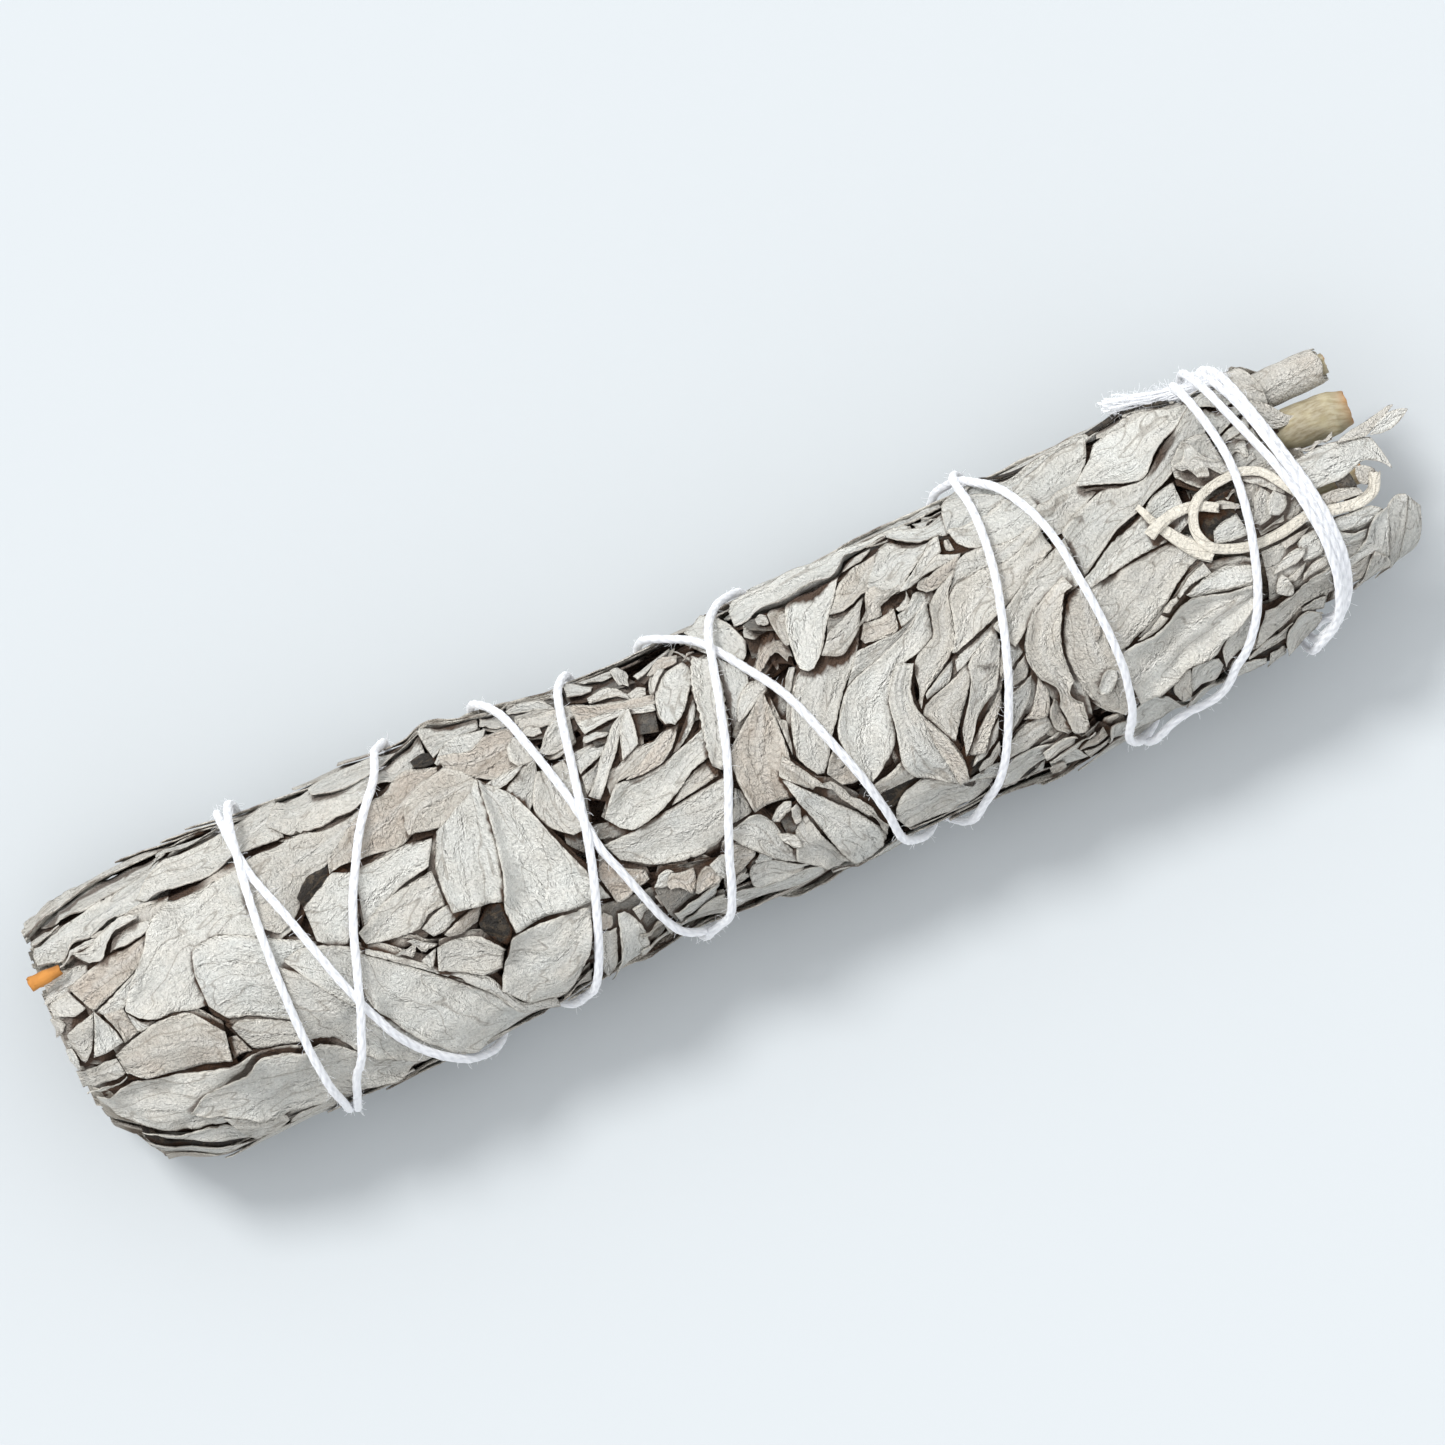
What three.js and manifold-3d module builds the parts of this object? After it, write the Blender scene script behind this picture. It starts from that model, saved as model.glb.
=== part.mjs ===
// A bunch of dried white sage, bound with cotton string and lying on its side.
//
// Seven stems run along the bunch, each in its own pad of pressed inner leaves. Broad dried leaves
// lie over them like shingles, and one length of string is wound along the bunch and back again,
// crossing itself, with three tight turns and a knot at the stem end.
//
// Millimetres. +X runs from the leafy end to the stem end and +Z is up. The origin is on the
// surface that the bunch rests on, under the middle of its box. Places along the bunch are given
// as a distance from its trimmed leafy end, and places round it as an angle from its top line,
// positive towards +Y.
import * as THREE from "three";
import { mergeVertices } from "three/addons/utils/BufferGeometryUtils.js";
import Module from "manifold-3d";

const wasm = await Module();
wasm.setup();

// ---------------------------------------------------------------- driving dimensions

const BUNCH_LENGTH = 220; // between the two trimmed ends
const ORIGIN_ALONG = 112.2; // the middle of its box, from the trimmed leafy end
const AXIS_HEIGHT = 20.7; // of the bunch's centre line above the surface
const ROUNDNESS = 0.84; // height of the bunch over its width
const LEAF_COVER = 4; // depth of the outer leaves over the pads
const LEAF_THICKNESS = 0.8;
const LEAF_GAP = 0.42; // between one leaf and the next
const STRING_DIAMETER = 1.5;
const STRING_GAP = 0.3;
const PAD_GAP = 0.4; // between the pads of inner leaves
const STEM_GAP = 0.35; // between a stem and its pad

// The bunch's outline seen from above: [distance along, +Y edge, -Y edge].
const OUTLINE = [
  [-4, 24, -15],
  [4, 25, -21],
  [14, 25.5, -24.3],
  [50, 24, -24.8],
  [72, 23.4, -24],
  [92, 20.8, -22.4],
  [112, 21.6, -24.2],
  [132, 22.4, -23.8],
  [160, 22.5, -24],
  [190, 22.8, -23.8],
  [206, 21.6, -21.6],
  [216, 20.6, -18.6],
  [226, 17, -16],
];

// ---------------------------------------------------------------- materials

const dried = (color, roughness) =>
  new THREE.MeshStandardMaterial({ color, roughness, metalness: 0 });
const LEAF_GREY = dried(0xc9c5ba, 0.9);
const LEAF_TAN = dried(0xbfb3a0, 0.92);
const INNER_LEAF = dried(0x8f8878, 0.95);
const STEM_WOOD = dried(0xb79b70, 0.8);
const PETIOLE = dried(0xd2c6ae, 0.85);
const COTTON = dried(0xf4f5f8, 0.95);

// ---------------------------------------------------------------- the bunch's skin

const degrees = (angle) => (angle * Math.PI) / 180;

/** The outline's half width and its middle's Y at a distance along the bunch. */
function outlineAt(along) {
  let k = OUTLINE.findIndex(([at]) => at >= along);
  k = k < 0 ? OUTLINE.length - 1 : Math.max(k, 1);
  const [a, b] = [OUTLINE[k - 1], OUTLINE[k]];
  const share = THREE.MathUtils.smoothstep(along, a[0], b[0]);
  const left = THREE.MathUtils.lerp(a[1], b[1], share);
  const right = THREE.MathUtils.lerp(a[2], b[2], share);
  return { halfWidth: (left - right) / 2, middle: (left + right) / 2 };
}

/** A point at a height above the skin of the inner pads. */
function skinPoint(along, angle, height) {
  const { halfWidth, middle } = outlineAt(along);
  const across = halfWidth - LEAF_COVER;
  return new THREE.Vector3(
    along - ORIGIN_ALONG,
    middle + (across + height) * Math.sin(angle),
    AXIS_HEIGHT + (across * ROUNDNESS + height) * Math.cos(angle),
  );
}

/** A place on the skin, by its distance along the bunch and its angle round it. */
const round = (along, angle) => ({ along, angle: degrees(angle) });

/** A place on the skin, by where it shows from above: along the bunch and across it. */
function above(along, across) {
  const { halfWidth, middle } = outlineAt(along);
  const sine = (across - middle) / (halfWidth - 1);
  return { along, angle: Math.asin(THREE.MathUtils.clamp(sine, -0.97, 0.97)) };
}

const GIRTH_RADIUS = 21; // turns an angle round the bunch into a distance round it
const RELIEF_CELL = 1;
const RELIEF_START = -8;
const RELIEF_LENGTH = 240;
const GIRTH_CELLS = Math.round((2 * Math.PI * GIRTH_RADIUS) / RELIEF_CELL);

/** How high the leaves stand over the pads so far, on a grid wrapped round the bunch. */
class Relief {
  constructor() {
    this.columns = RELIEF_LENGTH / RELIEF_CELL;
    this.height = new Float32Array(this.columns * GIRTH_CELLS);
  }

  cell(along, girth) {
    const i = Math.round((along - RELIEF_START) / RELIEF_CELL);
    const j = Math.round(girth / RELIEF_CELL);
    const wrapped = ((j % GIRTH_CELLS) + GIRTH_CELLS) % GIRTH_CELLS;
    return THREE.MathUtils.clamp(i, 0, this.columns - 1) * GIRTH_CELLS + wrapped;
  }

  at(along, girth) {
    return this.height[this.cell(along, girth)];
  }

  /** The greatest height within a reach of a place. */
  highest(along, girth, reach) {
    let top = 0;
    for (let a = -reach; a <= reach; a += RELIEF_CELL)
      for (let g = -reach; g <= reach; g += RELIEF_CELL)
        if (a * a + g * g <= reach * reach) top = Math.max(top, this.at(along + a, girth + g));
    return top;
  }

  raise(along, girth, height) {
    for (const [a, g] of [[0, 0], [1, 0], [-1, 0], [0, 1], [0, -1]]) {
      const k = this.cell(along + a * RELIEF_CELL, girth + g * RELIEF_CELL);
      this.height[k] = Math.max(this.height[k], height);
    }
  }
}
const relief = new Relief();

// ---------------------------------------------------------------- solids from grids

/** A closed solid from the points of its outer and inner faces, both rows by columns. */
function shellSolid(outer, inner) {
  const rows = outer.length;
  const columns = outer[0].length;
  const index = [];
  const at = (i, j) => i * columns + j;
  const under = (i, j) => rows * columns + at(i, j);
  const quad = (a, b, c, d) => index.push(a, c, b, a, d, c);
  for (let i = 0; i < rows - 1; i++)
    for (let j = 0; j < columns - 1; j++) {
      quad(at(i, j), at(i + 1, j), at(i + 1, j + 1), at(i, j + 1));
      quad(under(i, j), under(i, j + 1), under(i + 1, j + 1), under(i + 1, j));
    }
  for (let i = 0; i < rows - 1; i++) {
    const last = columns - 1;
    quad(at(i, 0), under(i, 0), under(i + 1, 0), at(i + 1, 0));
    quad(at(i + 1, last), under(i + 1, last), under(i, last), at(i, last));
  }
  for (let j = 0; j < columns - 1; j++) {
    const last = rows - 1;
    quad(at(0, j + 1), under(0, j + 1), under(0, j), at(0, j));
    quad(at(last, j), under(last, j), under(last, j + 1), at(last, j + 1));
  }
  return geometryOf([...outer.flat(), ...inner.flat()], index);
}

/** A closed solid between two sets of rings, such as a wall, with a flat ring at each end. */
function wallSolid(outer, inner) {
  const stations = outer.length;
  const sides = outer[0].length;
  const index = [];
  const at = (i, j) => i * sides + (j % sides);
  const within = (i, j) => stations * sides + at(i, j);
  const quad = (a, b, c, d) => index.push(a, c, b, a, d, c);
  for (let j = 0; j < sides; j++) {
    for (let i = 0; i < stations - 1; i++) {
      quad(at(i, j), at(i, j + 1), at(i + 1, j + 1), at(i + 1, j));
      quad(within(i, j), within(i + 1, j), within(i + 1, j + 1), within(i, j + 1));
    }
    const last = stations - 1;
    quad(at(0, j), within(0, j), within(0, j + 1), at(0, j + 1));
    quad(at(last, j), at(last, j + 1), within(last, j + 1), within(last, j));
  }
  return geometryOf([...outer.flat(), ...inner.flat()], index);
}

function geometryOf(points, index) {
  const geometry = new THREE.BufferGeometry().setFromPoints(points);
  geometry.setIndex(index);
  geometry.computeVertexNormals();
  return geometry;
}

function manifoldOf(geometry) {
  const bare = geometry.clone();
  bare.deleteAttribute("normal");
  bare.deleteAttribute("uv");
  const merged = mergeVertices(bare, 1e-4);
  return new wasm.Manifold(
    new wasm.Mesh({
      numProp: 3,
      vertProperties: merged.attributes.position.array,
      triVerts: new Uint32Array(merged.index.array),
    }),
  );
}

function geometryFrom(solid) {
  const mesh = solid.getMesh();
  const geometry = new THREE.BufferGeometry();
  const position = new THREE.Float32BufferAttribute(mesh.vertProperties, 3);
  geometry.setAttribute("position", position);
  geometry.setIndex(Array.from(mesh.triVerts));
  geometry.computeVertexNormals();
  return geometry;
}

/** A round rod along a curve through the points, closed at both ends. */
function rod(points, radius, sides, steps) {
  const path = new THREE.CatmullRomCurve3(points, false, "centripetal");
  path.arcLengthDivisions = 8 * steps;
  const section = new THREE.Shape();
  for (let k = 0; k < sides; k++) {
    const turn = (2 * Math.PI * k) / sides;
    const corner = [radius * Math.cos(turn), radius * Math.sin(turn)];
    if (k) section.lineTo(...corner);
    else section.moveTo(...corner);
  }
  return new THREE.ExtrudeGeometry(section, { steps, extrudePath: path });
}

// ---------------------------------------------------------------- leaves

const FACET_ALONG = 6.6;
const FACET_ACROSS = 5;
const FINE = 7; // steps across a facet when it is laid on the relief
const SEAM_TOLERANCE = 0.08; // where two leaves of a pair join

// A leaf's half width at a share of its length from the stalk, as a share of its greatest.
const FORMS = {
  lance: (u) => 0.22 + 0.78 * Math.sin(Math.PI * Math.min(1, u * 0.86 + 0.1)),
  oval: (u) => 0.3 + 0.7 * Math.sqrt(Math.max(0, Math.sin(Math.PI * (0.06 + 0.88 * u)))),
  cut: (u) => 0.3 + 0.7 * Math.sqrt(Math.max(0, Math.cos((Math.PI / 2) * 0.94 * u))),
  strap: (u) => 0.6 + 0.4 * Math.sin(Math.PI * u),
};

/** The places of a leaf's grid on the skin, from its stalk to its tip and from side to side. */
function leafPlaces({ base, tip, width, bend, form }) {
  const girth = (place) => place.angle * GIRTH_RADIUS;
  const start = new THREE.Vector2(base.along, girth(base));
  const run = new THREE.Vector2(tip.along, girth(tip)).sub(start);
  const length = run.length();
  const side = new THREE.Vector2(-run.y, run.x).divideScalar(length);
  const rows = Math.max(3, Math.ceil(length / FACET_ALONG));
  const columns = Math.max(2, Math.ceil(width / FACET_ACROSS));
  const places = [];
  for (let i = 0; i <= rows; i++) {
    const u = i / rows;
    const bow = 4 * bend * u * (1 - u);
    const slope = (4 * bend * (1 - 2 * u)) / length;
    const across = side.clone().addScaledVector(run, -slope / length).normalize();
    const middle = start.clone().addScaledVector(run, u).addScaledVector(side, bow);
    const row = [];
    for (let j = 0; j <= columns; j++) {
      const v = 1 - (2 * j) / columns;
      row.push(middle.clone().addScaledVector(across, (v * width * FORMS[form](u)) / 2));
    }
    places.push(row);
  }
  return places;
}

/** Calls back with each fine place of the facet at (i, j) and its shares along and across. */
function overFacet(places, i, j, callback) {
  for (let a = 0; a <= FINE; a++)
    for (let b = 0; b <= FINE; b++) {
      const low = places[i][j].clone().lerp(places[i][j + 1], b / FINE);
      const high = places[i + 1][j].clone().lerp(places[i + 1][j + 1], b / FINE);
      callback(low.lerp(high, a / FINE), a / FINE, b / FINE);
    }
}

/** The height that each corner of a leaf's grid needs to clear what its facets lie over. */
function bedsUnder(places) {
  const beds = places.map((row) => row.map(() => 0));
  for (let i = 0; i < places.length - 1; i++)
    for (let j = 0; j < places[0].length - 1; j++) {
      let top = 0;
      overFacet(places, i, j, (place) => {
        top = Math.max(top, relief.at(place.x, place.y));
      });
      for (const [a, b] of [[i, j], [i, j + 1], [i + 1, j], [i + 1, j + 1]])
        beds[a][b] = Math.max(beds[a][b], top + LEAF_GAP);
    }
  return beds;
}

/** Raises the relief to the top of a leaf. */
function raiseTo(places, beds, thickness) {
  const { lerp } = THREE.MathUtils;
  for (let i = 0; i < places.length - 1; i++)
    for (let j = 0; j < places[0].length - 1; j++)
      overFacet(places, i, j, (place, a, b) => {
        const low = lerp(beds[i][j], beds[i][j + 1], b);
        const high = lerp(beds[i + 1][j], beds[i + 1][j + 1], b);
        relief.raise(place.x, place.y, lerp(low, high, a) + thickness);
      });
}

/** Lays leaves that grow from one joint over what is there, and returns their one solid. */
function layLeaves(leaves, flattened = false) {
  const laid = leaves.map((each) => {
    const places = leafPlaces(each);
    return { places, beds: bedsUnder(places) };
  });
  const solids = laid.map(({ places, beds }) => {
    const lay = (extra) =>
      places.map((row, i) =>
        row.map((p, j) => skinPoint(p.x, p.y / GIRTH_RADIUS, beds[i][j] + extra)),
      );
    const outer = lay(LEAF_THICKNESS);
    if (flattened) outer.flat().forEach((point) => (point.z = 0));
    return shellSolid(outer, lay(0));
  });
  laid.forEach(({ places, beds }) => raiseTo(places, beds, LEAF_THICKNESS));
  if (solids.length === 1) return solids[0];
  return geometryFrom(wasm.Manifold.union(solids.map(manifoldOf)).simplify(SEAM_TOLERANCE));
}

const leaf = (base, tip, width, bend = 0, form = "lance") => ({ base, tip, width, bend, form });

/** Two leaves from one joint, which spread apart towards the leafy end. */
const leafPair = (along, angle, length, spread, width) =>
  [-1, 1].map((side) => {
    const tip = round(along - length, angle + side * spread);
    return leaf(round(along, angle + side * 5), tip, width, -side * 1.5);
  });

// The leaf pairs that lie under the others, as [along, angle round, length, spread, width].
const UNDER_PAIRS = [
  [50, 138, 49, 22, 14.5],
  [46, 222, 46, 21, 14.5],
  [104, 132, 50, 21, 14.5],
  [98, 220, 50, 22, 14.5],
  [156, 140, 50, 22, 15],
  [150, 226, 50, 21, 15],
  [208, 136, 50, 20, 14],
  [204, 222, 50, 21, 14.5],
];
const COVER_PAIRS = [
  [44, 50, 44, 24, 14.5],
  [48, -54, 47, 24, 14.5],
  [88, 44, 44, 25, 14.5],
  [92, -46, 45, 25, 14.5],
  [132, 52, 44, 24, 14.5],
  [136, -54, 45, 24, 14.5],
  [176, 42, 44, 24, 14.5],
  [180, -46, 46, 25, 14.5],
  [214, 26, 43, 24, 13.5],
  [216, -48, 44, 24, 13.5],
];

// The leaves on top, those underneath first, as [stalk, tip, width, bend, form].
const TOP_LEAVES = [
  leaf(above(66, 20), above(40, 20), 9, 0.6, "oval"),
  leaf(above(192, -1), above(165, -9), 13, -1),
  leaf(above(202, 16), above(172, 17), 9, 1),
  leaf(above(174, 13.5), above(148, 0), 10, 0.5),
  leaf(above(36, 12.5), above(9.5, 2), 12, 1.5, "oval"),
  leaf(above(38, -3), above(20.8, -1.5), 10.5, 0, "oval"),
  leaf(above(38, -12), above(0, -10.5), 8, 1, "oval"),
  leaf(above(62, 7.8), above(46, 0), 8, 0.6, "oval"),
  leaf(above(42, 20.5), above(17.5, 18.2), 7.5, 0.5, "oval"),
  leaf(above(69, -23.5), above(44, -5), 14, 3.2),
  leaf(above(74, 10), above(77, -10.5), 13, -0.6, "oval"),
  leaf(above(81, -12), above(65.5, -18.5), 10.5, -0.6, "oval"),
  leaf(above(113, 16), above(108.2, 0.5), 6.5, -0.5, "oval"),
  leaf(above(147, 22), above(119.5, 19.2), 8, 0.4, "oval"),
  leaf(above(131.5, 17), above(127.2, 6.2), 8.5, 0, "oval"),
  leaf(above(147.5, 7.5), above(127, -9.5), 8.5, -1.4),
  leaf(above(117.3, -7), above(125.5, -23), 7.4, 0.6, "strap"),
  leaf(above(168, 2), above(162.3, -19), 5.8, 2.4, "strap"),
  leaf(above(196, -10.5), above(173, -15.5), 9.5, -0.5, "cut"),
  leaf(above(208, 5.4), above(228.5, 4.7), 3.4, 0, "strap"),
];

// Leaves folded small under the bunch. What it rests on has pressed them flat.
const FOLDED_LEAVES = [
  leaf(round(7, 180), round(27, 180), 11, 0, "strap"),
  leaf(round(41, 180), round(58, 180), 12, 0, "strap"),
  leaf(round(106, 180), round(123, 180), 12, 0, "strap"),
  leaf(round(152, 180), round(163, 180), 11, 0, "strap"),
];

// ---------------------------------------------------------------- stems and their pads

const PAD_COUNT = 6; // round the middle one
const PAD_TURN = 52; // the angle of the first pad from the top line
const HEART_RADIUS = 5.8; // of the middle pad
const STATIONS = [2, 16, 50, 72, 92, 112, 150, 190, 205]; // where stems and pads bend
const PAD_DEPTH = 0.5; // of the pads under the skin that the leaves lie on

// Each stem's radius at the leafy end and at the stem end, and how far it reaches past each.
const STEMS = [
  { thin: 1.2, thick: 3.4, before: 4, past: 1 },
  { thin: 1.1, thick: 2.3, before: 1, past: -6 },
  { thin: 1.3, thick: 2.6, before: 2, past: -3 },
  { thin: 1.0, thick: 2.0, before: 0.5, past: -8 },
  { thin: 1.3, thick: 2.8, before: 1.5, past: -2 },
  { thin: 1.1, thick: 2.2, before: 2.5, past: -5 },
];
const HEART_STEM = { thin: 1.4, thick: 2.6, before: 2, past: -1 };
const PAD_ENDS = [
  [-1.5, 203],
  [0, 203],
  [-1, 208],
  [1, 205],
  [-0.5, 207],
  [-1, 210],
];

/** The corners of a regular ring round a line along X. */
function ring(x, y, z, radius, sides) {
  const points = [];
  for (let k = 0; k < sides; k++) {
    const turn = (2 * Math.PI * k) / sides;
    const [right, up] = [radius * Math.sin(turn), radius * Math.cos(turn)];
    points.push(new THREE.Vector3(x, y + right, z + up));
  }
  return points;
}

/** The centre of a stem at one of the stations: in the middle of its pad. */
function centreAtStation(along, turn) {
  const { halfWidth, middle } = outlineAt(along);
  const across = halfWidth - LEAF_COVER;
  const depth = turn === null ? 0 : (HEART_RADIUS + across) / 2;
  const angle = degrees(turn ?? 0);
  return new THREE.Vector2(
    middle + depth * Math.sin(angle),
    AXIS_HEIGHT + depth * ROUNDNESS * Math.cos(angle),
  );
}

/** The centre of a stem anywhere along it: straight from each station to the next. */
function stemCentre(along, turn) {
  const k = STATIONS.findIndex((at) => at >= along);
  const next = k < 0 ? STATIONS.length - 1 : Math.max(k, 1);
  const [from, to] = [STATIONS[next - 1], STATIONS[next]];
  const start = centreAtStation(from, turn);
  const share = (along - from) / (to - from);
  const centre = centreAtStation(to, turn).sub(start).multiplyScalar(share).add(start);
  return { y: centre.x, z: centre.y };
}

function stemRadius(stem, along) {
  const share = THREE.MathUtils.clamp(along / BUNCH_LENGTH, 0, 1);
  return THREE.MathUtils.lerp(stem.thin, stem.thick, share);
}

/** A tapering stem with a cut face at each end. */
function stemSolid(stem, turn) {
  const sides = 10;
  const stations = [-stem.before, ...STATIONS.slice(1, -1), BUNCH_LENGTH + stem.past];
  const rings = stations.map((along) => {
    const { y, z } = stemCentre(along, turn);
    return ring(along - ORIGIN_ALONG, y, z, stemRadius(stem, along), sides);
  });
  const points = rings.flat();
  const index = [];
  for (let i = 0; i < stations.length - 1; i++)
    for (let j = 0; j < sides; j++) {
      const [a, b] = [i * sides + j, i * sides + ((j + 1) % sides)];
      index.push(a, b + sides, b, a, a + sides, b + sides);
    }
  const last = (stations.length - 1) * sides;
  for (let j = 1; j < sides - 1; j++) index.push(0, j, j + 1, last, last + j + 1, last + j);
  return geometryOf(points, index);
}

/** The corners of a pad's section in the sector round an angle, counted from its stem. */
function padSection(along, turn) {
  const { halfWidth, middle } = outlineAt(along);
  const across = halfWidth - LEAF_COVER - PAD_DEPTH;
  const half = 180 / PAD_COUNT;
  const corner = (radius, offset) => {
    const flat = degrees(offset);
    const gap = PAD_GAP / 2 / radius;
    const angle = degrees(turn) + flat - Math.sign(flat) * gap;
    return new THREE.Vector3(
      along - ORIGIN_ALONG,
      middle + radius * Math.sin(angle),
      AXIS_HEIGHT + radius * ROUNDNESS * Math.cos(angle),
    );
  };
  const inside = HEART_RADIUS + PAD_GAP;
  const between = (inside + across) / 2;
  return [
    ...[-half, -half / 2, 0, half / 2, half].map((offset) => corner(across, offset)),
    corner(between, half),
    ...[half, 0, -half].map((offset) => corner(inside, offset)),
    corner(between, -half),
  ];
}

/** The corners of the channel in a pad, towards its own corners and clear of the stem. */
function channelSection(section, { y, z }, clearRadius) {
  const bearings = section.map((p) => Math.atan2(p.y - y, p.z - z));
  const spans = bearings.map((bearing, k) => {
    const next = bearings[(k + 1) % bearings.length];
    return Math.abs(THREE.MathUtils.euclideanModulo(next - bearing + Math.PI, 2 * Math.PI) - Math.PI);
  });
  const radius = clearRadius / Math.cos(Math.max(...spans) / 2);
  return section.map((p, k) => {
    const [right, up] = [radius * Math.sin(bearings[k]), radius * Math.cos(bearings[k])];
    return new THREE.Vector3(p.x, y + right, z + up);
  });
}

/** A pad of pressed leaves with the channel that its stem lies in. */
function padSolid(stem, turn, [from, to]) {
  const outer = [];
  const inner = [];
  for (const along of [from, ...STATIONS.slice(1, -1), to]) {
    const centre = stemCentre(along, turn);
    const section =
      turn === null
        ? ring(along - ORIGIN_ALONG, centre.y, centre.z, HEART_RADIUS * ROUNDNESS, 12)
        : padSection(along, turn);
    outer.push(section);
    inner.push(channelSection(section, centre, stemRadius(stem, along) + STEM_GAP));
  }
  return wallSolid(outer, inner);
}

// ---------------------------------------------------------------- the rolled leaf and petioles

const ROLL = { from: 203.8, to: 220, angle: 68, sunk: 2.2, radius: 2.8, bore: 1.9 };
const ROLL_STEM = { from: 204.2, to: 220.8, radius: 1.5 };

/** A leaf rolled into a tube, which tapers a little at its ends. */
function rollSolid() {
  const profile = [
    [ROLL.bore, ROLL.from],
    [ROLL.radius - 0.3, ROLL.from],
    [ROLL.radius, ROLL.from + 3],
    [ROLL.radius, ROLL.to - 2],
    [ROLL.radius - 0.35, ROLL.to],
    [ROLL.bore, ROLL.to],
    [ROLL.bore, ROLL.from],
  ].map(([radius, along]) => new THREE.Vector2(radius, along));
  return new THREE.LatheGeometry(profile, 14);
}

/** Lays the rolled leaf and the thin stem in it on the bunch's shoulder, at the stem end. */
function addRoll() {
  const angle = degrees(ROLL.angle);
  const seat = skinPoint(ROLL.from, angle, ROLL.radius + LEAF_GAP - ROLL.sunk);
  const length = ROLL_STEM.to - ROLL_STEM.from;
  const stem = new THREE.CylinderGeometry(ROLL_STEM.radius, ROLL_STEM.radius, length, 10);
  stem.translate(0, (ROLL_STEM.to + ROLL_STEM.from) / 2, 0);
  for (const mesh of [
    addPiece("rolled_leaf", rollSolid(), LEAF_TAN),
    addPiece("rolled_leaf_stem", stem, STEM_WOOD),
  ]) {
    mesh.rotation.z = -Math.PI / 2;
    mesh.position.set(-ORIGIN_ALONG, seat.y, seat.z);
  }
  const top = 2 * ROLL.radius + LEAF_GAP - ROLL.sunk;
  for (let along = ROLL.from; along <= ROLL.to; along += 1)
    for (let across = -ROLL.radius; across <= ROLL.radius; across += 0.7)
      relief.raise(along, angle * GIRTH_RADIUS + across, top);
}

const PETIOLE_RADIUS = 0.8;

// The petiole that curls in a loop on top, seen from above.
const CURLED_PETIOLE = [
  [204, 4.6],
  [200.5, 6.3],
  [196, 6.3],
  [192.4, 4.4],
  [190.8, 1],
  [192, -2.5],
  [195.5, -4.2],
  [200, -4.8],
  [205, -4.6],
];

/** The path of a rod that lies on the leaves, along places seen from above. */
function lyingPath(places, radius) {
  return places.map(([along, across]) => {
    const { angle } = above(along, across);
    const bed = relief.highest(along, angle * GIRTH_RADIUS, 3) + LEAF_GAP;
    return { along, angle, height: bed + radius };
  });
}

function layPetiole(places) {
  const path = lyingPath(places, PETIOLE_RADIUS);
  const points = path.map((p) => skinPoint(p.along, p.angle, p.height));
  for (let k = 0; k < path.length - 1; k++)
    for (let share = 0; share <= 1; share += 0.1) {
      const { lerp } = THREE.MathUtils;
      const girth = lerp(path[k].angle, path[k + 1].angle, share) * GIRTH_RADIUS;
      const height = Math.max(path[k].height, path[k + 1].height) + PETIOLE_RADIUS;
      relief.raise(lerp(path[k].along, path[k + 1].along, share), girth, height);
    }
  return rod(points, PETIOLE_RADIUS, 6, places.length * 3);
}

// ---------------------------------------------------------------- the string

// The string's turns in the order it was wound. Each goes under the bunch, as distances along it
// at angles round it, and then over it, as places seen from above. It starts with the tight turns
// at the stem end, goes to the leafy end, and comes back over itself.
const TURNS = [
  { under: [[205, 90], [203, 180]], over: [[208, -19], [211.4, -6], [211, 4], [208, 16]] },
  { under: [[203, 90], [201, 180]], over: [[206, -19.5], [209.6, -6], [209.2, 4], [206, 16.5]] },
  { under: [[201, 90], [199.5, 180]], over: [[204, -20], [207.8, -6], [207.2, 5], [203, 18]] },
  { under: [[200, 90], [187, 180]], over: [[168, -23.4], [171.8, -10], [171, 5], [164, 19.5]] },
  { under: [[161, 90], [146, 180]], over: [[130.5, -23], [127, -8], [119.5, 9.5], [110, 20]] },
  { under: [[106.5, 90], [101, 180]], over: [[95, -21.8], [88.5, -11], [84.8, 5], [80.5, 20]] },
  {
    under: [[79, 90], [73, 180], [64, 225]],
    over: [[53.5, -23.8], [44.5, -15], [38.5, 3], [34.6, 15]],
  },
  { under: [[33.8, 90], [33, 180]], over: [[32.6, -23.5], [32, -8], [33.2, 8], [35.8, 20]] },
  { under: [[36.5, 90], [35.5, 180]], over: [[35, -23.8], [42, -9], [50, 8], [59.5, 20]] },
  {
    under: [[61, 90], [62, 180], [67, 228]],
    over: [[75.5, -23.4], [83, -8], [88, 10], [90.8, 20]],
  },
  { under: [[91.5, 90], [93, 180]], over: [[97, -21.6], [106.5, -7], [113.5, 10], [118.5, 20.5]] },
  {
    under: [[120, 90], [130, 180]],
    over: [[142.5, -23.5], [154, -9], [160, 8], [161.3, 19.5]],
  },
  { under: [[161, 90], [167, 180]], over: [[177, -23.2], [194.5, -14], [201, 2], [200, 12]] },
];
const STRING_START = [207.5, 80]; // along, and the angle round
const STRING_END = [196.8, 64];
const STRING_SAMPLES = 384;
const STRING_SIDES = 6;
const KNOT = { length: 3.4, height: 1.4 }; // half its length and half its height
const TAIL_LENGTH = 9;

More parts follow.
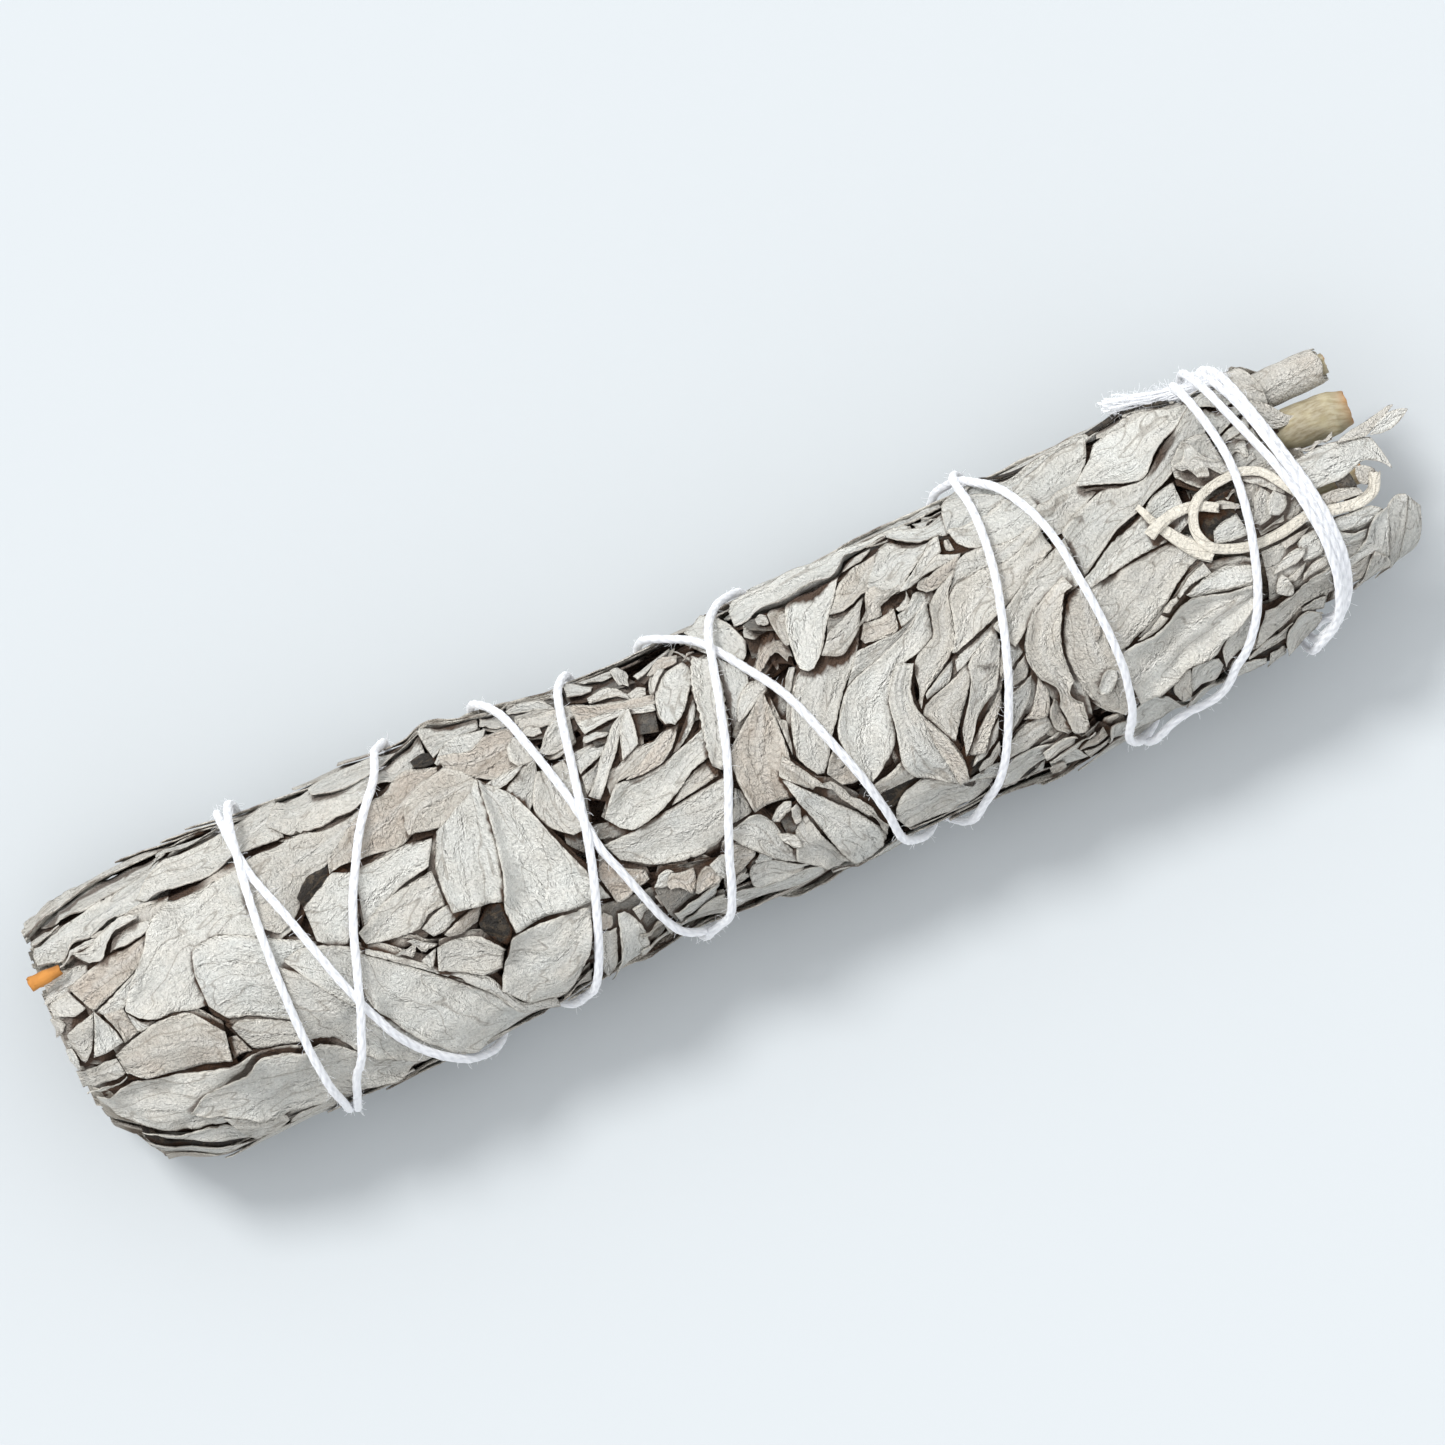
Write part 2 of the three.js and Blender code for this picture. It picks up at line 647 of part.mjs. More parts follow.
/** The places along the string, with its girth counted up without a break. */
function windingPlaces() {
  const places = [STRING_START];
  TURNS.forEach(({ under, over }, k) => {
    for (const [along, angle] of under) places.push([along, angle + 360 * k]);
    for (const [along, across] of over) {
      const { angle } = above(along, across);
      places.push([along, THREE.MathUtils.radToDeg(angle) + 360 * (k + 1)]);
    }
  });
  places.push([STRING_END[0], STRING_END[1] + 360 * TURNS.length]);
  return places.map(([along, angle]) => new THREE.Vector3(along, degrees(angle) * GIRTH_RADIUS, 0));
}

/** The string's route with its height over the leaves, and over its own earlier turns. */
function windString() {
  const route = new THREE.CatmullRomCurve3(windingPlaces(), false, "centripetal");
  route.arcLengthDivisions = 4000;
  const radius = STRING_DIAMETER / 2;
  const clear = STRING_DIAMETER + STRING_GAP;
  const quarterTurn = (Math.PI / 2) * GIRTH_RADIUS;
  const path = [];
  for (const place of route.getSpacedPoints(STRING_SAMPLES)) {
    let height = relief.highest(place.x, place.y, 4) + STRING_GAP + radius;
    for (const before of path) {
      const round = place.y - before.girth;
      if (round < quarterTurn) continue;
      const turns = Math.round(round / (2 * Math.PI * GIRTH_RADIUS));
      const beside = round - turns * 2 * Math.PI * GIRTH_RADIUS;
      const apart = Math.hypot(place.x - before.along, beside);
      const reach = clear + 3.5;
      if (apart >= reach) continue;
      const near = Math.max(0, apart - 3.5) / clear;
      const across = Math.abs(place.x - before.along) / clear;
      const share = Math.min(1, Math.max(near, across));
      height = Math.max(height, before.height + clear * Math.sqrt(1 - share * share));
    }
    path.push({ along: place.x, girth: place.y, height });
  }
  return path;
}

/** The wound string with its knot and one loose tail, as one piece. */
function stringSolid() {
  const path = windString();
  const points = path.map((p) => skinPoint(p.along, p.girth / GIRTH_RADIUS, p.height));
  const wound = rod(points, STRING_DIAMETER / 2, STRING_SIDES, STRING_SAMPLES);
  const end = points.at(-1);
  const knot = new THREE.SphereGeometry(1, 10, 7);
  knot.scale(KNOT.length, KNOT.height, KNOT.height);
  knot.translate(end.x, end.y, end.z);
  const tailEnd = new THREE.Vector3(-TAIL_LENGTH, 1, 0.4).add(end);
  const tail = rod([end, end.clone().lerp(tailEnd, 0.5), tailEnd], STRING_DIAMETER / 2, 6, 4);
  return geometryFrom(manifoldOf(wound).add(manifoldOf(knot)).add(manifoldOf(tail)));
}

// ---------------------------------------------------------------- the bunch

const bunch = new THREE.Group();

function addPiece(name, geometry, material) {
  const mesh = new THREE.Mesh(geometry, material);
  mesh.name = name;
  bunch.add(mesh);
  return mesh;
}

const numbered = (name, k) => `${name}_${String(k + 1).padStart(2, "0")}`;

STEMS.forEach((stem, k) => {
  const turn = PAD_TURN + (360 / PAD_COUNT) * k;
  addPiece(`stem_${k + 1}`, stemSolid(stem, turn), STEM_WOOD);
  addPiece(`inner_leaves_${k + 1}`, padSolid(stem, turn, PAD_ENDS[k]), INNER_LEAF);
});
addPiece("stem_middle", stemSolid(HEART_STEM, null), STEM_WOOD);
addPiece("inner_leaves_middle", padSolid(HEART_STEM, null, [0, 207]), INNER_LEAF);

const layPairs = (pairs, name, material) =>
  pairs.forEach((pair, k) => addPiece(numbered(name, k), layLeaves(leafPair(...pair)), material));
layPairs(UNDER_PAIRS, "leaf_pair_under", LEAF_TAN);
layPairs(COVER_PAIRS, "leaf_pair_top", LEAF_TAN);
TOP_LEAVES.forEach((each, k) => {
  addPiece(numbered("leaf_top", k), layLeaves([each]), LEAF_GREY);
});
addPiece("curled_petiole", layPetiole(CURLED_PETIOLE), PETIOLE);
addRoll();
const string = stringSolid();
FOLDED_LEAVES.forEach((each, k) => {
  addPiece(numbered("folded_leaf", k), layLeaves([each], true), LEAF_TAN);
});
addPiece("binding_string", string, COTTON);

export default bunch;
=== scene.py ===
"""Looks for a bunch of dried white sage, bound with cotton string and lying on its side.

The leaves, stems and string are laid as the real bunch is made. A height map wrapped round the
bunch, the relief, keeps how high the pile stands over the pressed core. Each leaf is draped over
it and raises it, and the string is wound over the leaves and over its own earlier turns. Lengths
are in millimetres until a mesh is made, and places are given as a distance along the bunch from
its trimmed leafy end and a distance round it from its top line.
"""

import logging
import math
from dataclasses import dataclass, field, replace
from enum import Enum
from typing import Optional, Sequence

import bpy
import numpy as np
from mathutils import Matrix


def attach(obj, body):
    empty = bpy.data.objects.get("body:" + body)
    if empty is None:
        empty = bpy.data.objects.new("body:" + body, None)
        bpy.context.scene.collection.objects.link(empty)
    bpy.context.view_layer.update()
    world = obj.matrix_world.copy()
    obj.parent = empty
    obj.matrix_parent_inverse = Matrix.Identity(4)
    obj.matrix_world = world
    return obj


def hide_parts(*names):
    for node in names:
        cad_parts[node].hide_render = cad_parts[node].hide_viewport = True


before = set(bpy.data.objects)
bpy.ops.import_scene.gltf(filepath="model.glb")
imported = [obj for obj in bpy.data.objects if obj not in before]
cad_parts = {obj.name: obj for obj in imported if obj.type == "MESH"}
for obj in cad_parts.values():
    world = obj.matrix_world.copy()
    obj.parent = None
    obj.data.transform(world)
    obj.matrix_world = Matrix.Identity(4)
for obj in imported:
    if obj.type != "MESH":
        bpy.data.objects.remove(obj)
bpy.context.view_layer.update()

LOG = logging.getLogger("sage_bunch")
MM = 0.001
Array = np.ndarray
Points = Sequence[tuple[float, float]]
Random = np.random.Generator
Material = bpy.types.Material
Node = bpy.types.Node
Piece = bpy.types.Object
Socket = bpy.types.NodeSocket
Colour = Socket | str

BUNCH_LENGTH = 220.0  # between the two trimmed ends
ORIGIN_ALONG = 112.2  # the middle of the bunch's box, from the trimmed leafy end
AXIS_HEIGHT = 20.7
ROUNDNESS = 0.84  # height of the bunch over its width
LEAF_COVER = 4.0  # depth of the leaves over the pressed core
PUFF = 0.55  # how far the pile's air lifts it
SAG = 1.5  # how far the pile hangs below the pressed core's own middle
GIRTH_RADIUS = 21.0  # turns an angle round the bunch into a distance round it
GIRTH = 2 * math.pi * GIRTH_RADIUS
OUTLINE = np.array(
    [  # distance along, edge towards +Y, edge towards -Y, seen from above
        *((-4, 24, -15), (4, 25, -21), (14, 25.5, -24.3), (50, 24, -24.8), (72, 23.4, -24)),
        *((92, 20.8, -22.4), (112, 21.6, -24.2), (132, 22.4, -23.8), (160, 22.7, -24)),
        *((190, 23.3, -23.8), (206, 20.9, -21.8), (216, 20.6, -18.6), (226, 17, -16)),
    ]
)
TRIMMED = np.array(
    [  # distance towards +Y, and the distance along at which the leafy end was trimmed there
        *((-26, 13), (-24, 9), (-21.5, 5), (-17.5, 2.5), (-12, -0.8), (-8, -2), (12.2, -2.4)),
        *((12.9, 1.4), (15, 1.4), (15.4, -2.6), (24, -1)),
    ]
)
WIDEST = (26.8, 27.55)  # where a piece's far points begin to be drawn in, and their limit
TALLEST = (45.0, 45.8)
SKIN_WIDEST = (25.2, 27.1)  # the same for the pile's own surface
SKIN_TALLEST = (43.2, 45.2)
FLAT_BELOW = 1.2  # the height above the surface under which the pile is pressed flat
LOOSE_DEPTH = 2.2  # how deep a pile is before the string presses it
PRESSED_SHARE = 0.58  # what is left of a greater depth
STEEPEST = 0.985  # sine of the steepest place round the bunch that is seen from above


# ------------------------------------------------------------------ small helpers


def linear(hex_colour: str) -> tuple[float, float, float, float]:
    """Turns an sRGB hex colour to linear.

    Args:
        hex_colour: Six hex digits.

    Returns:
        Linear red, green and blue, and an alpha of 1.
    """
    parts = [int(hex_colour[k : k + 2], 16) / 255 for k in (0, 2, 4)]
    r, g, b = (c / 12.92 if c <= 0.04045 else ((c + 0.055) / 1.055) ** 2.4 for c in parts)
    return (r, g, b, 1.0)


def in_scene(name: str, data: bpy.types.ID) -> Piece:
    """Makes an object of a mesh, a light or a camera and puts it in the scene.

    Args:
        name: The object's name.
        data: Its mesh, light or camera.

    Returns:
        The object.
    """
    made = bpy.data.objects.new(name, data)
    bpy.context.scene.collection.objects.link(made)
    return made


def smoothstep(x: Array) -> Array:
    """The smooth ramp from 0 to 1, held outside it."""
    x = np.clip(x, 0, 1)
    return x * x * (3 - 2 * x)


def held(values: Array, start: float, limit: float) -> Array:
    """Values that bend over smoothly after a start so that they never pass a limit."""
    room = limit - start
    return np.where(values > start, start + room * np.tanh(np.maximum(values - start, 0) / room), values)


def within_box(points: Array) -> Array:
    """The points with the outermost ones drawn in, so that the piece keeps its size.

    Args:
        points: Points in millimetres.

    Returns:
        Their new places.
    """
    out = points.copy()
    out[:, 1] = held(np.abs(out[:, 1]), *WIDEST) * np.sign(out[:, 1])
    out[:, 2] = held(out[:, 2], *TALLEST)
    return out


def outline_at(along: Array) -> tuple[Array, Array]:
    """The outline's half width and middle.

    Args:
        along: Distances along the bunch.

    Returns:
        The half width and the middle's Y at each.
    """
    along = np.asarray(along, float)
    k = np.clip(np.searchsorted(OUTLINE[:, 0], along), 1, len(OUTLINE) - 1)
    low, high = OUTLINE[k - 1], OUTLINE[k]
    share = smoothstep((along - low[..., 0]) / (high[..., 0] - low[..., 0]))
    left = low[..., 1] + (high[..., 1] - low[..., 1]) * share
    right = low[..., 2] + (high[..., 2] - low[..., 2]) * share
    return (left - right) / 2, (left + right) / 2


def trimmed_at(y: Array) -> Array:
    """Where the leafy end was trimmed, as a distance along, at distances towards +Y."""
    return np.interp(y, *TRIMMED.T)


def skin_point(along: Array, girth: Array, height: Array, over: float = 0.0) -> Array:
    """Points at a height above the pressed core, where a deep pile is pressed down.

    Args:
        along: Distances along the bunch.
        girth: Distances round it from its top line.
        height: Heights over the core before the pile is pressed.
        over: A height over the pressed pile.

    Returns:
        The points, in millimetres, with X, Y and Z last.
    """
    half, middle = outline_at(along)
    deep = np.maximum(0, height - LOOSE_DEPTH)
    height = np.minimum(height, LOOSE_DEPTH) + PRESSED_SHARE * deep + over + PUFF
    across = half - LEAF_COVER
    angle = np.asarray(girth) / GIRTH_RADIUS
    x = np.asarray(along) - ORIGIN_ALONG
    y = middle + (across + height) * np.sin(angle)
    z = AXIS_HEIGHT - SAG + (across * ROUNDNESS + height) * np.cos(angle)
    pressed = FLAT_BELOW * np.exp(np.minimum(z - FLAT_BELOW, 0) / FLAT_BELOW)
    z = held(np.where(z < FLAT_BELOW, pressed, z), *SKIN_TALLEST)
    y = held(np.abs(y), *SKIN_WIDEST) * np.sign(y)
    return np.stack([x + 0 * y, y, z], axis=-1)


def from_above(points: Points) -> Array:
    """Turns places seen from above into distances along and round the bunch.

    Args:
        points: Pairs of distance along and distance across.

    Returns:
        An array of pairs of distance along and distance round.
    """
    plan = np.asarray(points, float)
    half, middle = outline_at(plan[:, 0])
    sine = np.clip((plan[:, 1] - middle) / (half - 0.2), -STEEPEST, STEEPEST)
    return np.stack([plan[:, 0], np.arcsin(sine) * GIRTH_RADIUS], axis=1)


def curve_through(points: Array, step: float) -> Array:
    """A smooth line through points.

    Args:
        points: Rows of coordinates.
        step: The distance between the points of the line.

    Returns:
        Evenly spaced points on a centripetal Catmull-Rom curve.
    """
    pts = np.asarray(points, float)
    pts = np.vstack([2 * pts[0] - pts[1], pts, 2 * pts[-1] - pts[-2]])
    knots = np.concatenate([[0], np.cumsum(np.linalg.norm(np.diff(pts, axis=0), axis=1) ** 0.5)])
    line = []
    for k in range(1, len(pts) - 2):
        t0, t1, t2, t3 = knots[k - 1 : k + 3]
        p0, p1, p2, p3 = pts[k - 1 : k + 3]
        t = np.linspace(t1, t2, 24, endpoint=False)[:, None]
        a1 = (t1 - t) / (t1 - t0) * p0 + (t - t0) / (t1 - t0) * p1
        a2 = (t2 - t) / (t2 - t1) * p1 + (t - t1) / (t2 - t1) * p2
        a3 = (t3 - t) / (t3 - t2) * p2 + (t - t2) / (t3 - t2) * p3
        b1 = (t2 - t) / (t2 - t0) * a1 + (t - t0) / (t2 - t0) * a2
        b2 = (t3 - t) / (t3 - t1) * a2 + (t - t1) / (t3 - t1) * a3
        line.append((t2 - t) / (t2 - t1) * b1 + (t - t1) / (t2 - t1) * b2)
    line.append(pts[-2:-1])
    return evenly(np.vstack(line), step)


def evenly(line: Array, step: float = 0.0, count: int = 0) -> Array:
    """Places points evenly along a line.

    Args:
        line: The line's points.
        step: The distance between the new points, used where count is 0.
        count: How many points to return.

    Returns:
        The new points.
    """
    run = np.concatenate([[0], np.cumsum(np.linalg.norm(np.diff(line, axis=0), axis=1))])
    count = count or max(2, int(round(run[-1] / step)) + 1)
    at = np.linspace(0, run[-1], count)
    return np.stack([np.interp(at, run, line[:, c]) for c in range(line.shape[1])], axis=1)


def blur(values: Array, reach: int, axis: int) -> Array:
    """Averages over a window along one axis, with the ends held.

    Args:
        values: The values.
        reach: How far the window reaches to each side.
        axis: The axis.

    Returns:
        The averages, in the same shape.
    """
    pad = [(0, 0)] * values.ndim
    pad[axis] = (reach, reach)
    padded = np.pad(values, pad, mode="edge")
    total = np.zeros_like(values)
    for k in range(2 * reach + 1):
        total += np.take(padded, range(k, k + values.shape[axis]), axis=axis)
    return total / (2 * reach + 1)


@dataclass
class Relief:
    """How high the pile stands over the pressed core, on a grid wrapped round the bunch."""

    cell: float = 0.33
    start: float = -10.0  # distance along of the first row
    length: float = 250.0
    floor: float = -2.6  # the pressed core's own surface, under its nominal radius
    filled: tuple[float, float] = (5.0, 206.5)  # the stretch along the bunch that is plumped
    filled_to: float = 130.0  # degrees round from the top, where the plumping ends
    fading: float = 45.0  # the degrees over which it ends
    light: tuple[float, float] = (-0.16, 0.4)  # towards the light, for each cell of reach
    shade_turns: int = 6  # how many places round that point are averaged
    shade_spread: float = 0.3
    finer: int = 3  # points of a raised sheet for each of the leaf's own
    rows: int = field(init=False)
    columns: int = field(init=False)
    height: Array = field(init=False)
    settled: Array = field(init=False)  # the height before the string goes over the pile

    def __post_init__(self) -> None:
        """Makes an empty relief."""
        self.rows = int(self.length / self.cell)
        self.columns = int(round(GIRTH / self.cell))
        self.height = np.full((self.rows, self.columns), self.floor)
        self.settled = self.height

    def settle(self) -> None:
        """Remembers the pile as it is before the string goes over it."""
        self.settled = self.height.copy()

    def plump(self, least: float) -> None:
        """Fills the pile's low places on the upper half of the bunch.

        Args:
            least: The height that it fills them to.
        """
        turn = np.arange(self.columns) / self.columns * 360
        turn = np.minimum(turn, 360 - turn)
        level = self.floor + (least - self.floor) * smoothstep((self.filled_to - turn) / self.fading)
        rows = (np.arange(self.rows) * self.cell + self.start)[:, None]
        inside = (rows > self.filled[0]) & (rows < self.filled[1])
        self.height = np.where(inside, np.maximum(self.height, level), self.height)

    def cells(self, along: Array, girth: Array) -> tuple[Array, Array]:
        """The grid cells of some places.

        Args:
            along: Distances along the bunch.
            girth: Distances round it.

        Returns:
            Their rows and columns.
        """
        i = np.clip(np.rint((along - self.start) / self.cell).astype(int), 0, self.rows - 1)
        j = np.rint(girth / GIRTH * self.columns).astype(int) % self.columns
        return i, j

    def bed(
        self, along: Array, girth: Array, reach: int = 1, height: Optional[Array] = None
    ) -> Array:
        """The greatest height within some cells of each place.

        Args:
            along: Distances along the bunch.
            girth: Distances round it.
            reach: How many cells to look to each side.
            height: The grid of heights to read, or none for the pile as it is now.

        Returns:
            The height at each place.
        """
        height = self.height if height is None else height
        i, j = self.cells(along, girth)
        top = np.full(np.shape(along), self.floor)
        for a in range(-reach, reach + 1):
            rows = np.clip(i + a, 0, self.rows - 1)
            for b in range(-reach, reach + 1):
                top = np.maximum(top, height[rows, (j + b) % self.columns])
        return top

    def shade(self, along: Array, girth: Array, reach: int, height: Optional[Array] = None) -> Array:
        """The greatest height a little way from each place on the side that the light comes from.

        Args:
            along: Distances along the bunch.
            girth: Distances round it.
            reach: How many cells to look to each side.
            height: What bed takes.

        Returns:
            The height at each place.
        """
        total = np.zeros(np.shape(along))
        for turn in range(self.shade_turns):
            angle = turn * 1.05
            towards = along + self.light[0] * reach + self.shade_spread * math.cos(angle)
            beside = girth + self.light[1] * reach + self.shade_spread * math.sin(angle)
            total += self.bed(towards, beside, reach, height) / self.shade_turns
        return total

    def raise_to(self, along: Array, girth: Array, height: Array) -> None:
        """Raises the relief where it is lower than the heights given."""
        np.maximum.at(self.height, self.cells(along, girth), height)

    def raise_sheet(self, along: Array, girth: Array, height: Array) -> None:
        """Raises the relief under a grid of points, filling between them.

        Args:
            along: Distances along the bunch, as a grid.
            girth: Distances round it.
            height: The heights that the sheet reaches.
        """
        sheet = np.stack([along, girth, height])
        for axis in (1, 2):
            sheet = np.repeat(sheet, self.finer, axis=axis)
            sheet = (sheet + np.roll(sheet, 1, axis=axis) + np.roll(sheet, -1, axis=axis)) / 3
            sheet = sheet[:, 1:-1] if axis == 1 else sheet[:, :, 1:-1]
        self.raise_to(*sheet)


RELIEF = Relief()


@dataclass
class PieceMesh:
    """Gathers the parts of one piece and makes its object."""

    UNCOVERED = (0, 0, 99.0, 99)  # the places of a part that nothing is laid over
    CLOSE = (0.42, 0.9)  # the depth at which a narrow gap begins to take painted shade, and until it is fully shaded
    DEEP = (1.8, 2.0)  # the same for a place among taller neighbours
    DARKEST = (0.62, 0.35)  # how much painted shade each of the two adds

    name: str
    points: list[Array] = field(default_factory=list)
    faces: list[Array] = field(default_factory=list)
    marks: list[Array] = field(default_factory=list)
    flat: list[Array] = field(default_factory=list)
    places: list[Array] = field(default_factory=list)
    count: int = 0

    def add(
        self, points: Array, quads: Array, marks: Array, flat: Array, places: Optional[Array] = None
    ) -> None:
        """Adds a part.

        Args:
            points: Its points, in millimetres.
            quads: Rows of four indices, or three and the third again for a triangle.
            marks: Four values a point, read by the material.
            flat: Two surface coordinates a point, in millimetres.
            places: Distance along and round of each point, and the relief's greatest height near it
            and wider round it, towards the light, when it was laid; they set its painted shade.
        """
        self.points.append(points)
        self.faces.append(quads + self.count)
        self.marks.append(marks)
        self.flat.append(flat)
        self.places.append(np.tile(self.UNCOVERED, (len(points), 1)) if places is None else places)
        self.count += len(points)

    def gap_shades(self) -> Array:
        """Painted shade: how deep each point lies in a gap between the things laid over it, towards the
        light.

        Returns:
            One value a point.
        """
        along, girth, near, wide = np.vstack(self.places).T
        near = RELIEF.shade(along, girth, 1, RELIEF.settled) - near  # covered close by
        wide = RELIEF.shade(along, girth, 3, RELIEF.settled) - wide  # deep among its neighbours
        close = smoothstep((near - self.CLOSE[0]) / self.CLOSE[1])
        deep = smoothstep((wide - self.DEEP[0]) / self.DEEP[1])
        return np.clip(self.DARKEST[0] * close + self.DARKEST[1] * deep, 0, 1)

    def make(self, material: Material) -> Piece:
        """Makes the object with its material, smooth shading and attributes.

        Args:
            material: The piece's only material.

        Returns:
            The object.
        """
        points = within_box(np.vstack(self.points))
        quads = np.vstack(self.faces)
        mesh = bpy.data.meshes.new(self.name)
        faces = [tuple(q[:3]) if q[2] == q[3] else tuple(q) for q in quads.tolist()]
        mesh.from_pydata((points * MM).tolist(), [], faces)
        mesh.polygons.foreach_set("use_smooth", np.ones(len(faces), bool))
        marks = mesh.attributes.new("marks", "FLOAT_COLOR", "POINT")
        marks.data.foreach_set("color", np.vstack(self.marks).astype(np.float32).ravel())
        # painted shade in the gaps between leaves, for the leaf material
        gap_shade = mesh.attributes.new("gap_shade", "FLOAT", "POINT")
        gap_shade.data.foreach_set("value", self.gap_shades().astype(np.float32))
        corner = np.empty(len(mesh.loops), np.int32)
        mesh.loops.foreach_get("vertex_index", corner)
        uv = mesh.uv_layers.new(name="surface_mm")
        uv.data.foreach_set("uv", np.vstack(self.flat).astype(np.float32)[corner].ravel())
        mesh.materials.append(material)
        mesh.validate()
        return in_scene(self.name, mesh)


def tube_quads(rows: int, columns: int, inwards: bool = False) -> Array:
    """Faces of a closed tube of rings, whose last two points are the middles of its ends.

    Args:
        rows: How many rings there are.
        columns: How many points there are in a ring.
        inwards: Whether the rings turn so that the faces have to be turned round.

    Returns:
        Rows of four indices, the last one twice in a triangle.
    """
    k = np.arange(columns)
    following = (k + 1) % columns
    middle = np.full(columns, rows * columns)
    last = (rows - 1) * columns
    near, far = (following, k) if inwards else (k, following)
    side = grid_quads(rows, columns, wrap=True)
    start = np.stack([near, far, middle, middle], 1)
    end = np.stack([last + far, last + near, middle + 1, middle + 1], 1)
    return np.vstack([side[:, ::-1] if inwards else side, start, end])


def grid_quads(rows: int, columns: int, wrap: bool = False) -> Array:
    """Quads of a grid of points, counted row by row.

    Args:
        rows: How many rows of points.
        columns: How many points in a row.
        wrap: Whether each row closes on itself.

    Returns:
        Rows of four indices.
    """
    i, j = np.meshgrid(np.arange(rows - 1), np.arange(columns - (0 if wrap else 1)), indexing="ij")
    i, j = i.ravel(), j.ravel()
    n = (j + 1) % columns
    return np.stack([i * columns + j, (i + 1) * columns + j, (i + 1) * columns + n, i * columns + n], 1)


# ------------------------------------------------------------------ leaves


class Form(Enum):
    """How a leaf's width runs from its stalk to its tip."""

    LANCE = "lance"
    OVAL = "oval"
    CUT = "cut"  # cut across before its tip

    def width(self, u: Array) -> Array:
        """The share of the greatest width at shares of the length.

        Args:
            u: Shares of the length from the stalk.

        Returns:
            The share of the greatest width at each.
        """
        if self is Form.LANCE:
            return np.sin(np.pi * (0.1 + 0.885 * u)) ** 0.8
        if self is Form.OVAL:
            return np.sin(np.pi * (0.12 + 0.86 * u)) ** 0.5
        return 0.55 + 0.45 * smoothstep(u * 2.2)


@dataclass
class Leaf:
    """One leaf, by its two long edges from stalk to tip, and how it has dried."""

    left: Array
    right: Array
    tone: float = 0.0  # lighter above 0 and darker below; near -1 it is painted as the shade of a hollow
    hue: float = 0.2  # 0 grey-green, 0.5 beige, 1 mauve
    fold: float = 0.0  # how far the edges stand over the rib, as a slope
    curl: tuple[float, float] = (0.85, 0.85)  # where each edge starts to roll up, 1 for nowhere
    roll: float = 1.3  # the radius of a rolled edge
    wave: float = 0.28  # height of the waves that drying leaves
    teeth: float = 0.16  # depth of the scalloped edge
    torn: float = 0.0  # share of the edges that is torn away
    rib: float = 0.16  # height of the midrib
    ridges: int = 0  # pleats along the leaf
    lift: float = 0.3  # height of the tip over what it lies on
    thickness: float = 0.34
    seed: int = 0
    wrinkle: float = 0.04  # height of the puckers beside the side veins
    facet: float = 0.1  # slope of the flats between its creases
    open: float = 0.3  # how far its edges stand off what they lie on

    def length(self) -> float:
        """The length of the leaf's middle line."""
        middle = (self.left + self.right) / 2
        return float(np.linalg.norm(np.diff(middle, axis=0), axis=1).sum())


def blade(
    base: tuple[float, float],
    tip: tuple[float, float],
    width: float,
    bend: float = 0.0,
    form: Form = Form.LANCE,
    above: bool = True,
    **dried: object,
) -> Leaf:
    """A leaf from its stalk, tip and width.

    Args:
        base: Where its stalk is.
        tip: Where its tip is.
        width: Its greatest width.
        bend: How far its middle bows to the left of the line from stalk to tip.
        form: How its width runs.
        above: Whether the places are seen from above, or else along and round the bunch.
        **dried: Any of the fields that say how it dried.

    Returns:
        The leaf.
    """
    ends = from_above([base, tip]) if above else np.asarray([base, tip], float)
    start, run = ends[0], ends[1] - ends[0]
    side = np.array([-run[1], run[0]]) / np.linalg.norm(run)
    u = np.linspace(0, 1, 25)[:, None]
    middle = start + u * run + 4 * bend * u * (1 - u) * side
    slope = np.gradient(middle, axis=0)
    out = np.stack([-slope[:, 1], slope[:, 0]], 1) / np.linalg.norm(slope, axis=1)[:, None]
    half = (width / 2) * form.width(u)
    return Leaf(middle + out * half, middle - out * half, **dried)


def noise_waves(rng: Random, a: Array, b: Array, sizes: Points) -> Array:
    """Sums a few waves that cross a surface.

    Args:
        rng: The leaf's own random numbers.
        a: The first surface coordinate, in millimetres.
        b: The second.
        sizes: Pairs of wavelength and height.

    Returns:
        The height at each place.
    """
    total = np.zeros_like(a)
    for wavelength, height in sizes:
        turn, phase = rng.uniform(0, 2 * math.pi, 2)
        k = 2 * math.pi / (wavelength * rng.uniform(0.8, 1.25))
        total += height * np.sin(k * (a * math.cos(turn) + b * math.sin(turn)) + phase)
    return total


